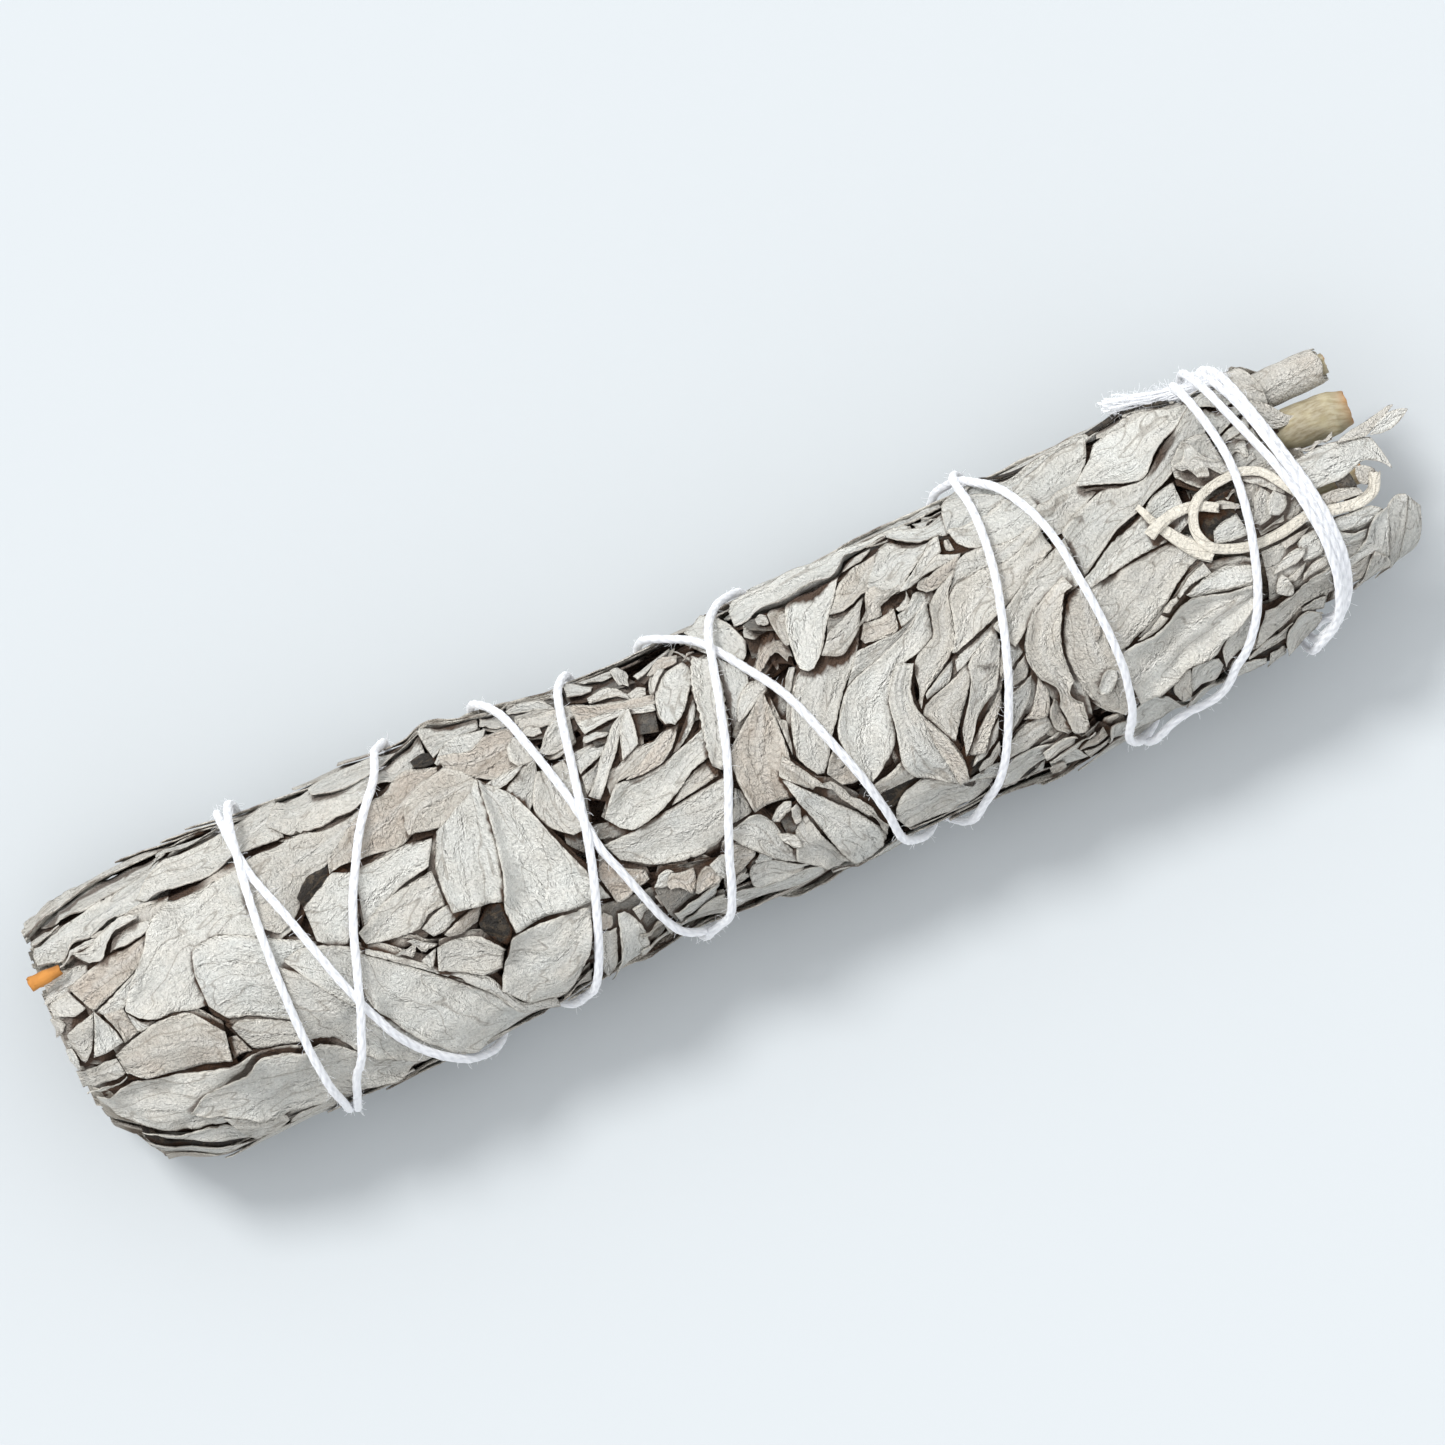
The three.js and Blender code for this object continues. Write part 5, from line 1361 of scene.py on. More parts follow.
        t("172,8 166,6.4 162,4.2 159,2.4 156,.8/172,1 168,.4 164,.4 161,-1.4 158,-3.4", 0.0, 0.3),
        t("190,1 184,1.2 178,.6 174,.2 172,-.2/"
          "191,-2.7 188,-3.6 185,-5.2 182,-7.2 178,-9 174.4,-10 172,-10", 0.0, 0.35, 2),
        t("191,9 187,8.2 184.6,6.8 181,5.6 177.4,4.2 174,2.2 172,1.4/"
          "191,3 188,1.6 185,1.4 182,1.2 178,.6 175,.2 172.4,-.2", 0.5, 0.1),
        t("169.2,3.2 165.4,1.8 162.6,.4 160.6,-1.6 159.2,-3.6 158.6,-6 159.2,-9 159.8,-12 160.4,-15"
          " 160.6,-18 162.6,-19.4/"
          "170,1 168.4,.8 167,-1.4 165.4,-4 164.4,-7 164.1,-10 164.2,-13 164,-16 163.4,-19.2",
          0.2, 0.5, 18, torn=0.2, open=0.9),
        t("170.8,-12.6 169.4,-11.9 168,-13 166.8,-15/"
          "170.6,-13.6 169.4,-15 168.2,-16 167,-15.6", 0.4, 0.2, curl=(0.4, 1.1)),
        t("171.2,-6.1 170.2,-6.8 169.4,-7.4/171.2,-6.6 170.8,-7.8 170,-8", -0.8, 0.8, **ragged),
        t("190,-3.6 186.6,-4.6 183.6,-6.4 176,-9.6/190.6,-6.2 187,-6.6 184.4,-8 178,-10.6", -0.85, 0.3),
        t("190,-3.8 186.8,-4.8 184,-6.3/190.6,-6 187,-5.8 184.4,-6.8", -0.5, 0.2),
        t("184,-6.2 182.4,-6.8 181,-7.8/184,-7 183,-7.6 182,-8.4", 0.2, 0.8),
        t("180.6,-8 178,-9.2 175.6,-9.9/181.6,-9 179.4,-9.8 177,-10.1", 0.0, 0.6),
        t("197.4,-8 196,-6.8 193,-5.8 190,-5.7 187.4,-6.2 185.4,-6.6/"
          "196.6,-10 193.6,-9.4 190,-8.7 188,-8.2 186.2,-7.6", 0.5, 0.1),
        t("179,-18.4 176.8,-18.8 175.4,-18.8/180,-22.4 178,-22.2 176.4,-20.4", shaded_hollow),
        t("186,-18 184,-17.4 181.8,-17.2 180.8,-19.4 180.2,-21.3/"
          "186.4,-20 186,-21.4 184.6,-22 182.6,-21.6 180.6,-21.5", 0.55, 0.15),
        t("181.4,-17.2 179,-18.2 177.9,-19 177.5,-20.2 178.2,-22/"
          "181,-18.6 180.4,-20.6 179.6,-21.6 178.6,-22", 0.2, 0.5),
        t("180,-23.6 177.8,-21.8 176,-19.6 174.6,-19 172,-19.8 169.6,-20.8 168,-22/"
          "180,-24.2 176,-24.6 172,-24.6 168.6,-24.2", 0.45, 0.1),
        t("184.4,-22.3 182.4,-21.8 180,-21.6 178.4,-22.4/"
          "184,-23 182,-23.4 180,-23.4 178.8,-22.8", 0.3, 0.2),
        t("195,-13.4 191,-15 188.6,-16.4 187,-18 186.6,-19.8/"
          "196,-14.4 192,-18 189,-19.4 186.9,-20.2", 0.5, 0.2),
        t("196,-9.6 191,-9 188,-8 186,-7.2 183.6,-8 181,-9.2 178,-10 174,-10.2 172,-10.6/"
          "195.4,-12 191,-14.8 188,-16.2 186.4,-17.5 184.6,-17.4 181.4,-17 178.4,-18.6 175,-18.8"
          " 172,-18.8", 0.3, 0.25, 19, ridges=2),
        t("164,-18.6 160.4,-19.4 156,-20.6/167,-22 161.6,-23.6 156,-23.4", -0.9, 0.5),
        t("160.9,-18.8 158,-19 155,-19.8/160,-20.6 157,-20.6 155,-20.8", 0.1, 0.45),
        t("161.4,-23.6 160,-21.2 157,-21.6 155.4,-21.6/"
          "161.4,-24 159.4,-24.2 157.4,-23.6 155.4,-23.4", 0.4, 0.15),
        t("163.8,-19.4 160,-20.4 156,-20.8/163.6,-20 160,-21.2 156,-21.4", 0.35, 0.2),
        t("165.2,-20 163,-20.3 160.4,-21/165.4,-21.8 163.2,-22.3 160.8,-21.6", 0.2, 0.8),
        t("165.4,-22 162.6,-22.6 161,-22/164.6,-23 162.8,-23.8 161.6,-23.6", 0.2, 0.45),
        t("168.8,-20.8 166.4,-20.6 165.6,-21.6 164.8,-23.4/"
          "169,-21.6 168.6,-23 167.8,-23.9 165.4,-23.9", 0.3, 0.15),
        t("157.6,-22.8 156.2,-22.6 155,-22.9/157.6,-23.6 156.4,-24 155,-23.8", -0.5, 0.7, curl=(0.3, 0.3)),
        # from 187 along to the stem end
        t("199,13.6 195,13.6 192,11.4/200,7 195,6.6 191.6,9.4", -0.45, 0.3),
        t("206,12.4 203,12.4 200.6,11.4/206.4,5.4 203,5.6 200.4,6.6", -0.45, 0.2),
        t("199.4,10.6 197.4,11.2 195.8,12.8 194.8,13.2 194.4,11.4 193.2,10.6 191.8,10.8/"
          "199.6,7.2 197,7.4 195,7.6 193.6,8.6 192.6,9.8", 0.6, 0.3, **ragged),
        t("206,14.4 203,13.7 200,12.5/205.6,12.4 203.6,12 200.6,11.6", -0.1, 0.2),
        t("205.8,16.8 202.6,16.4 199.4,16/205.8,14.8 203,13.9 200,12.8", 0.0, 0.15),
        t("205.8,18.8 202,18.1 199,17.4/205.6,17 202.6,16.5 199.6,16.2", -0.1, 0.15),
        t("206,20.6 202,20 199.4,19.6/205.6,19.2 202,18.4 199.2,17.7", 0.1, 0.2),
        t("204.2,11.6 202.4,11.8 200.8,10.4/203.6,8 202,8.6 200.8,8.2", 0.5, 0.3, **ragged),
        t("205.6,10 204.6,11.6 202.8,12/205,9.4 203.6,10 202.8,11", 0.3, 0.3, **ragged),
        t("204.4,8.8 203.4,8.6 202.6,7/204.4,6.6 203.4,6.2 201.6,6.4", 0.3, 0.2, **ragged),
        t("199,5 195,5 191.6,3.4/199,-2.4 195,-2.6 192,-1.4", shaded_hollow, 0.1),
        t("198,1 195,.6 193.6,0/198.4,-3 195,-2.8 192.8,-2.2", 0.1, 0.05),
        t("199,2.2 196.6,4 194,4.2/199,1.2 196,2.6 193.6,3.4", 0.0, 0.7),
        t("199.4,5.4 198.4,5 197.4,4/199.6,3.6 198.6,3.4 197.8,3", 0.1, 0.8, **ragged),
        t("207,6 203,6 200,5/208,-3 204,-4 200,-4", -0.3, 0.5, ridges=4),
        t("206.6,1.4 203.6,4.4 201,6/206,.4 203,3 201,4.6", 0.25, 0.4),
        t("203,2.8 200.8,1.6 199.8,-1.4/204,1.4 202.6,-2 200.6,-2.4", -0.1, 0.45),
        t("204.6,1.6 203,.6 202.4,-1.4/206.2,0 205.6,-1.4 204,-2.2", 0.4, 0.3),
        t("204.6,-2 202.6,-2.4 200.4,-3/204.2,-3.4 202,-3.7 200.4,-3.8", 0.0, 0.6, **ragged),
        t("208,-6 203,-6.4 199,-6.4/208,-13 203,-14 197,-14.4", -0.4, 0.4),
        t("207.6,-5.9 205.4,-6 202.4,-6.2/206,-6.8 204.6,-7.2 202.6,-7.4", 0.0, 0.8),
        t("208,-6.4 206,-6.6 204.6,-7.4/208,-10 206,-10.4 204.4,-10", 0.4, 0.05),
        t("205.4,-8.2 204,-7.6 201.6,-8.4 199.4,-9.6/"
          "205,-8.9 203.4,-9.7 201,-9.9 199.2,-10", 0.2, 0.3, curl=(0.4, 1.1)),
        t("204.6,-10.2 202.6,-10.8 201,-11.2/203.6,-11.4 202,-12.2 201.2,-12", 0.0, 0.6),
        t("208,-10.4 205.6,-10.6 203.6,-11.4/207.8,-11.8 205.4,-12 203,-12.4", 0.1, 0.5),
        t("208,-12 205.6,-12.4 203,-12.9 201,-14 198,-14.4 195.8,-14.2/"
          "207,-17 204,-16.6 201.4,-16.8 198.6,-17.8 195,-18.8 192,-19.4", 0.1, 0.35),
        t("201,-11 200.2,-10 199,-11.4 198.4,-12.6/"
          "201.4,-13 200.8,-13.8 200,-14 199,-13.4", 0.9, 0.25, wave=0.02),
        t("205.6,-17.4 203.6,-16.7 201.2,-17.4/204.4,-19 203,-18.6 201,-17.9", 0.2, 0.3),
        t("198,-20 195,-20.4 191,-20.8/197,-22 194,-22.6 191,-22", shaded_hollow),
        t("199,-18 196,-18.9 193,-19.7 190.4,-20.6/197,-20.2 194,-20.6 190.4,-20.9", -0.2, 0.5),
        t("193,-21.8 191,-21.1 189,-21.4 187,-23/192.4,-23 190,-23.8 187,-24.2", 0.45, 0.15),
        t("196.6,-21 194,-21.4 192.6,-22.6/196.2,-23.4 194,-23.2 192.8,-23.6", 0.1, 0.4, **ragged),
        t("204,-18.9 202,-18 200,-18.2 198,-19 196.8,-20.4 196.4,-22.6/"
          "203.6,-20 202,-22.6 199.6,-23.8 196.6,-23.4", 0.3, 0.15),
        # past the string
        t("213,5.6 214,-2 214,-8/216,4 217,-3 216,-8", -0.95, 0.5),
        t("209,-6 214,-6.4 218,-7.4 220,-9/209,-17 213,-17.4 216,-16.6 218.6,-13.6", -0.25, 0.4, **smooth),
        t("210.4,6.4 213,5.8 215.6,6 217,6.2/210.4,5.6 212,4.8 214,4.6 216.4,4.9", -0.3, 0.6, **ragged),
        t("211,-2 214,-2.2 217,-3.4/211,-4 214,-4.2 217.4,-4.6", -0.3, 0.6),
        t("209,4.6 213,4.7 217,4.4 220,3.6 222,3 222.6,1 223,-1 223.2,-2.8/"
          "209.4,-1 212.6,-1 215,-1.2 217.4,-.6 219.6,0 221.4,-1 222.4,-2 223,-3", 0.65, 0.1, **smooth),
        t("218,-.2 219.6,-.8 220.6,-2 220.4,-3.6/217.4,-1.4 217.4,-3 218.4,-3.8 219.6,-4.2", 0.0, 0.6),
        t("216.8,4.2 219,5 222,5.4 224,5.8 226.4,6.2 227.4,6/"
          "216.8,4 219.4,3.6 221.6,3.2 223.6,4.2 225.6,5 227.4,5.8", 0.0, 0.5, 20, lift=0.6),
        t("222.2,3.2 224,4.6 226.4,5.2 228.2,5 229.2,4.4/"
          "222.2,3 224,2.6 226,2.7 227.8,3.4 229.2,4.2", 0.9, 0.1, lift=0.6, wave=0.02),
        t("211,-6.2 214,-6.4 217.4,-6.6 219,-7.8/"
          "211,-8.4 213,-8.6 216,-8.8 218.6,-8.2", 0.1, 0.0, **smooth),
        t("211,-8 213.6,-9.4 215.6,-9.6/211,-10.8 213,-11 214.6,-11", 0.05, 0.2),
        t("215,-13.4 212.6,-14 210,-14/213.4,-15 211.6,-16.6 210,-16.6", 0.0, 0.6),
        t("216.6,-17.8 213.6,-18.6 210,-18.8/214,-20.4 211.6,-20.8 208.8,-20.6", 0.1, 0.5, **ragged),
        t("223.6,-8 222.2,-10.8 220,-14 217.4,-17.6 214.2,-19/"
          "224.8,-10.4 223.4,-14 221,-17 217.6,-19.4 213.8,-20.6", 0.35, 0.15, **smooth),
        t("223.4,-7.6 222,-7.1 220,-8 219,-10.4 217.8,-13.4 216.9,-16/"
          "223.5,-8 222,-11 219.8,-14.4 217.4,-17.4 216.6,-17.8", 0.3, 0.2, **smooth),
        t("220,-7.9 217.6,-8.2 216,-9.4 214.8,-11.2 212.6,-12.6 210,-13/"
          "219.8,-8.6 218.9,-10.8 218,-13 216.8,-15.4 215,-13.6 210.4,-14", 0.5, 0.1, **smooth),
        t("215.2,-13.3 213.6,-14.8 212,-16.4 211,-17/"
          "216.8,-14.8 217,-16.2 215.8,-17.6 213,-18.4 211.4,-18", 0.5, 0.3, **smooth),
        # the straight folds at the far edge, and bits round the rolled leaf
        t("161,23.4 172,24 184,24.2 191,23.4 198,21.4/"
          "161,21.2 172,21.5 186,21.9 191,21.4 196.6,19.8", 0.25, 0.3, **smooth),
        t("164,21.5 175,21.9 186,22.3 191,21.8 196,20.2/"
          "164,21.1 175,21.4 186,21.7 191,21.2 196,19.8", shaded_hollow, **smooth),
        t("90,-19.4 95,-19 100.6,-19.4/90.4,-22.8 95,-23.4 100,-22.8", 0.25, 0.3, **smooth),
        t("205.6,19.4 208,19.2 209.6,18 210.2,16.8/"
          "205.8,14.6 207.6,14.6 209,14.8 210,16", 0.0, 0.4, ridges=3),
        t("206.6,20.4 209,21.6 212,22.4 214.6,21.8 217,20.6/"
          "206.6,19.4 209,19.6 211.6,20.4 214,20.4 217,20.5", 0.1, 0.35),
        t("207,15.4 209.4,15 211.6,13.8 213.4,13.4/206.8,13 209,12.4 211,12.6 213.2,13", 0.1, 0.5),
    ]
    for k, (_, leaf) in enumerate(leaves):
        leaf.seed = 1000 + k
    return leaves


@dataclass
class TracedLeaves:
    """The leaves that show on top, each where it lies on the bunch."""

    sprays: list[Spray]  # that take the leaves with no piece of their own
    least: float = 1.2  # the least height of the pile under them
    under: tuple[float, float] = (4.0, 208.0)  # the stretch with rougher leaves under them
    under_end: float = 224.0  # the furthest that one of those may reach
    smallest: tuple[float, float] = (1.5, 4.0)  # width and length of the least leaf with one under it
    # the places over the cut stems that carry leaf tips: first, limit and step, along and across
    tips_along: tuple[float, float, float] = (208.8, 231.0, 0.3)
    tips_across: tuple[float, float, float] = (-20.0, 6.6, 0.3)
    tips_height: float = 3.2
    tips_drop: float = 2.6  # how much lower they are at the near edge
    wider: tuple[float, float] = (0.4, 1.3)  # the range of how far a rougher leaf's edge stands out
    wider_at_end: float = 0.3  # the share of that at the stem end
    end_from: float = 205.0  # where the stem end begins
    moved: float = 0.3  # how far it lies from its place, at random
    layer: LeafLayer = LeafLayer(0.6)
    under_layer: LeafLayer = LeafLayer(1.25)
    own: dict[str, PieceMesh] = field(default_factory=dict)

    def lay(self) -> int:
        """Lays them, over a rougher leaf each, those underneath first.

        Returns:
            How many there are.
        """
        leaves = traced_leaves()
        RELIEF.plump(self.least)
        self.bridge_stems()
        for _, leaf in leaves:
            self.underlay(leaf)
        for number, leaf in leaves:
            piece = spray_near(self.sprays, leaf)
            if number:
                piece = PieceMesh(f"broad_leaf_{number:02d}")
                self.own[f"leaf_top_{number:02d}"] = piece
            self.layer.lay(leaf, piece)
        return len(leaves)

    def bridge_stems(self) -> None:
        """Raises the relief over the cut stems, where leaf tips stand past the end of the pile."""
        reach = np.meshgrid(np.arange(*self.tips_along), np.arange(*self.tips_across))
        along, across = (grid.ravel() for grid in reach)
        tips = from_above(np.column_stack([along, across]))
        height = self.tips_height - self.tips_drop * smoothstep((-14.5 - across) / 5)
        RELIEF.raise_to(tips[:, 0], tips[:, 1], height)

    def underlay(self, leaf: Leaf) -> None:
        """Lays a rougher leaf under one that shows, a little wider, so that no gap is empty.

        Args:
            leaf: The leaf that shows.
        """
        size = np.linalg.norm(leaf.left - leaf.right, axis=1).max()
        start, end = leaf.left[:, 0].min(), leaf.left[:, 0].max()
        small = leaf.tone < -0.6 or size < self.smallest[0] or leaf.length() < self.smallest[1]
        if small or start < self.under[0] or start > self.under[1] or end > self.under_end:
            return
        rng = np.random.default_rng(leaf.seed)
        out = leaf.left - leaf.right
        out /= np.maximum(np.linalg.norm(out, axis=1), 0.6)[:, None]
        move = rng.normal(0, self.moved, 2)
        reach = rng.uniform(*self.wider, 2) * (self.wider_at_end if end > self.end_from else 1.0)
        wider = replace(
            leaf,
            left=leaf.left + out * reach[0] + move,
            right=leaf.right - out * reach[1] + move,
            # damped, and a little darker as painted shade under the leaf over it
            tone=0.4 * leaf.tone - 0.1,
            hue=float(rng.uniform(0.2, 0.8)),
            curl=(1.1, 1.1),
            wave=0.1,
            fold=0.0,
            lift=0.0,
            open=0.1,
            thickness=0.22,
            seed=leaf.seed + 500,
        )
        self.under_layer.lay(wider, spray_near(self.sprays, leaf))


@dataclass(frozen=True)
class PressedLeaves:
    """Leaves folded small under the bunch, pressed flat on what it rests on."""

    places: tuple[tuple[float, float, float], ...] = (  # start, end and width of each
        *((7, 27, 11), (41, 58, 12), (106, 123, 12), (152, 163, 11)),
    )
    folds: int = 3
    narrower: float = 1.2  # how much narrower each fold is than the one over it
    thickness: float = 0.3

    def lay(self) -> dict[str, PieceMesh]:
        """Lays them under the finished bunch.

        Returns:
            The pieces by the CAD node that each stands for.
        """
        pieces = {}
        layer = LeafLayer()
        for k, (start, end, width) in enumerate(self.places):
            piece = PieceMesh(f"pressed_leaf_{k + 1:02d}")
            for fold in range(self.folds):
                turn = GIRTH / 2 + (fold - 1) * 0.8
                leaf = blade(
                    (start - 1 + fold, turn),
                    (end + 1 - fold, turn),
                    width - self.narrower * fold,
                    0.4,
                    Form.OVAL,
                    above=False,
                    seed=40 + 5 * k + fold,
                    hue=0.5,
                    wave=0.1,
                    curl=(1.1, 1.1),
                    lift=0,
                    tone=-0.1,
                )
                layer.lay(leaf, piece, 0.0)
            self.press(piece)
            pieces[f"folded_leaf_{k + 1:02d}"] = piece
        return pieces

    def press(self, piece: PieceMesh) -> None:
        """Brings the lowest fold down to the surface.

        Args:
            piece: A piece whose last part is that fold.
        """
        last = piece.points[-1]
        half = len(last) // 2
        last[:half, 2] = np.minimum(last[:half, 2], 0.0)
        last[half:, 2] = np.maximum(last[half:, 2], self.thickness)


# ------------------------------------------------------------------ stems and the core


@dataclass(frozen=True)
class Stem:
    """One woody stem: its radii at the leafy end and the stem end, and its reach past each."""

    name: str
    thin: float
    thick: float
    before: float
    past: float
    turn: Optional[float]  # the angle of its pad round the bunch, none for the middle one


PAD_TURN = 52.0
HEART_RADIUS = 5.8
STATIONS = (2.0, 16.0, 50.0, 72.0, 92.0, 112.0, 150.0, 190.0, 205.0)
STEMS = (
    Stem("stem_1", 1.2, 3.4, 4, 1, PAD_TURN),
    Stem("stem_2", 1.1, 2.3, 1, -6, PAD_TURN + 60),
    Stem("stem_3", 1.3, 2.6, 2, -3, PAD_TURN + 120),
    Stem("stem_4", 1.0, 2.0, 0.5, -8, PAD_TURN + 180),
    Stem("stem_5", 1.3, 2.8, 1.5, -2, PAD_TURN + 240),
    Stem("stem_6", 1.1, 2.2, 2.5, -5, PAD_TURN + 300),
    Stem("stem_middle", 1.4, 2.6, 2, -1, None),
)


def stem_centre(along: float, turn: Optional[float]) -> tuple[float, float]:
    """The Y and Z of a stem's middle at a distance along the bunch.

    Args:
        along: The distance.
        turn: The angle of the stem's pad round the bunch, or none for the middle stem.

    Returns:
        Y and Z.
    """
    k = min(max(int(np.searchsorted(STATIONS, along)), 1), len(STATIONS) - 1)
    ends = []
    for station in STATIONS[k - 1 : k + 1]:
        half, middle = outline_at(station)
        depth = 0 if turn is None else (HEART_RADIUS + half - LEAF_COVER) / 2
        angle = math.radians(turn or 0)
        y = middle + depth * math.sin(angle)
        ends.append((y, AXIS_HEIGHT + depth * ROUNDNESS * math.cos(angle)))
    share = (along - STATIONS[k - 1]) / (STATIONS[k] - STATIONS[k - 1])
    (y0, z0), (y1, z1) = ends
    return y0 + (y1 - y0) * share, z0 + (z1 - z0) * share


def rod_along(
    piece: PieceMesh,
    line: Array,
    radius: Array,
    sides: int,
    rough: float,
    seed: int,
    mark: tuple[float, float] = (0.5, 0.4),
    flatten: float = 1.0,
    groove: float = 0.0,
    slant: float = 0.0,
    bare: Array | float = 0.0,
) -> None:
    """Adds a closed rod with furrows along it and a cut face at each end.

    Args:
        piece: The piece that it belongs to.
        line: Its middle line.
        radius: Its radius at each point.
        sides: How many points there are round it.
        rough: The depth of its furrows, as a share of its radius.
        seed: The number that its furrows come from.
        mark: The tone and hue that its material reads.
        flatten: Its thickness over its width.
        groove: The depth of a groove along its top, as a share of its radius.
        slant: How far its first end is cut back at the top, for each millimetre of height.
        bare: How much of the cut wood's colour shows along its side, at each point or all along.
    """
    rng = np.random.default_rng(seed)
    turn = np.linspace(0, 2 * math.pi, sides, endpoint=False)
    run = np.concatenate([[0], np.cumsum(np.linalg.norm(np.diff(line, axis=0), axis=1))])
    ahead = np.gradient(line, axis=0)
    ahead /= np.linalg.norm(ahead, axis=1)[:, None]
    up = np.array([0.0, 0.0, 1.0]) + 0 * ahead
    side = np.cross(up, ahead)
    side /= np.linalg.norm(side, axis=1)[:, None]
    up = np.cross(ahead, side)
    furrow = np.zeros((len(line), sides))
    for k in (3, 5, 8, 11):
        wander = rng.uniform(-0.05, 0.05) * run[:, None]
        furrow += rng.uniform(0.3, 1) / 3 * np.sin(k * turn + wander * k + rng.uniform(0, 6))
    furrow += noise_waves(rng, run[:, None] + 0 * turn, 0 * furrow, [(6, 0.35), (2.6, 0.3)])
    dip = groove * np.exp(-(((turn - math.pi / 2) / 0.4) ** 2))
    dip = dip + 0.5 * groove * np.exp(-(((turn - 0.9) / 0.2) ** 2))
    size = np.asarray(radius)[:, None] * (1 + rough * furrow - dip)
    points, marks, flat = [], [], []

    def ring(k: int, scale: float, push: float, end: float) -> None:
        """Adds one ring of the rod."""
        out = np.cos(turn)[:, None] * side[k] + flatten * np.sin(turn)[:, None] * up[k]
        jag = 0.12 * rng.normal(0, 1, sides)[:, None] * end
        height = (radius[k] + size[k] * scale * np.sin(turn))[:, None]
        jag = jag + slant * height * max(0.0, 1 - run[k] / (3 * slant * radius[0] + 0.1))
        points.append(line[k] + out * (size[k] * scale)[:, None] + ahead[k] * (push + jag))
        marks.append(np.tile([end, scale, *mark], (sides, 1)))
        flat.append(np.column_stack([np.full(sides, run[k] + push), turn * radius[k]]))

    domed = ((0.3, 0.35), (0.6, 0.1), (0.93, -0.08))  # a cut face's rings: share of radius, height
    for scale, push in domed:
        ring(0, scale, push, 1.0)
    for k in range(len(line)):
        ring(k, 1.0, 0.0, float(np.broadcast_to(bare, len(line))[k]))
    for scale, push in reversed(domed):
        ring(len(line) - 1, scale, -push, 1.0)
    quads = tube_quads(len(points), sides, inwards=True)
    points.append(np.array([points[0].mean(axis=0), points[-1].mean(axis=0)]))
    marks.append(np.tile([1.0, 0.0, *mark], (2, 1)))
    flat.append(np.zeros((2, 2)))
    piece.add(np.vstack(points), quads, np.vstack(marks), np.vstack(flat))


@dataclass(frozen=True)
class WoodyStems:
    """The stems that run along the bunch, cut off at both ends."""

    sides: int = 28
    rough: float = 0.035  # depth of the bark's furrows, as a share of the radius
    share: float = 0.97  # what the furrows leave of a stem's radius
    slant: float = 0.2  # how far a cut leans back, for each millimetre of height
    long_slant: float = 2.3  # the same on the thickest stem

    def build(self) -> dict[str, PieceMesh]:
        """Builds them.

        Returns:
            The pieces by the CAD node that each stands for.
        """
        pieces = {}
        for k, stem in enumerate(STEMS):
            ends = (-stem.before, BUNCH_LENGTH + stem.past)
            along = np.unique(np.concatenate([np.linspace(*ends, 70), np.linspace(196, ends[1], 24)]))
            line = np.array([(a - ORIGIN_ALONG, *stem_centre(a, stem.turn)) for a in along])
            radius = stem.thin + (stem.thick - stem.thin) * np.clip(along / BUNCH_LENGTH, 0, 1)
            piece = PieceMesh(f"woody_{stem.name}")
            thickest = k == 0  # the one whose two ends show
            if thickest:
                line[:, 1] += 1.5 * smoothstep((30 - along) / 30) + smoothstep((along - 190) / 20)
                waist = 1.1 * np.exp(-(((along - 206.5) / 3.2) ** 2))
                radius = radius + 0.3 * smoothstep((along - 200) / 12) - waist
                radius = radius - 0.8 * smoothstep((along - 217.5) / 4)
            slant = self.long_slant if thickest else self.slant
            bare = 0.5 * smoothstep((along - ends[1] + 1.6) / 1.4)
            cut = {"slant": slant, "bare": bare}
            rod_along(piece, line, radius * self.share, self.sides, self.rough, 60 + k, (0.5, 0.3), **cut)
            if thickest:
                self.split_twig(piece)
            pieces[stem.name] = piece
        return pieces

    def split_twig(self, piece: PieceMesh) -> None:
        """Adds the split orange end of the stem that shows among the leaves at the leafy end.

        Args:
            piece: The piece that takes it.
        """
        s = np.linspace(-3.9, 1.7, 12)
        line = np.stack([s - ORIGIN_ALONG, 13.85 + 0.03 * s, 37.4 - 0.06 * s**2], 1)
        rod_along(piece, line, np.linspace(1.25, 0.85, 12), 16, 0.14, 97, slant=0.4, bare=1.0)


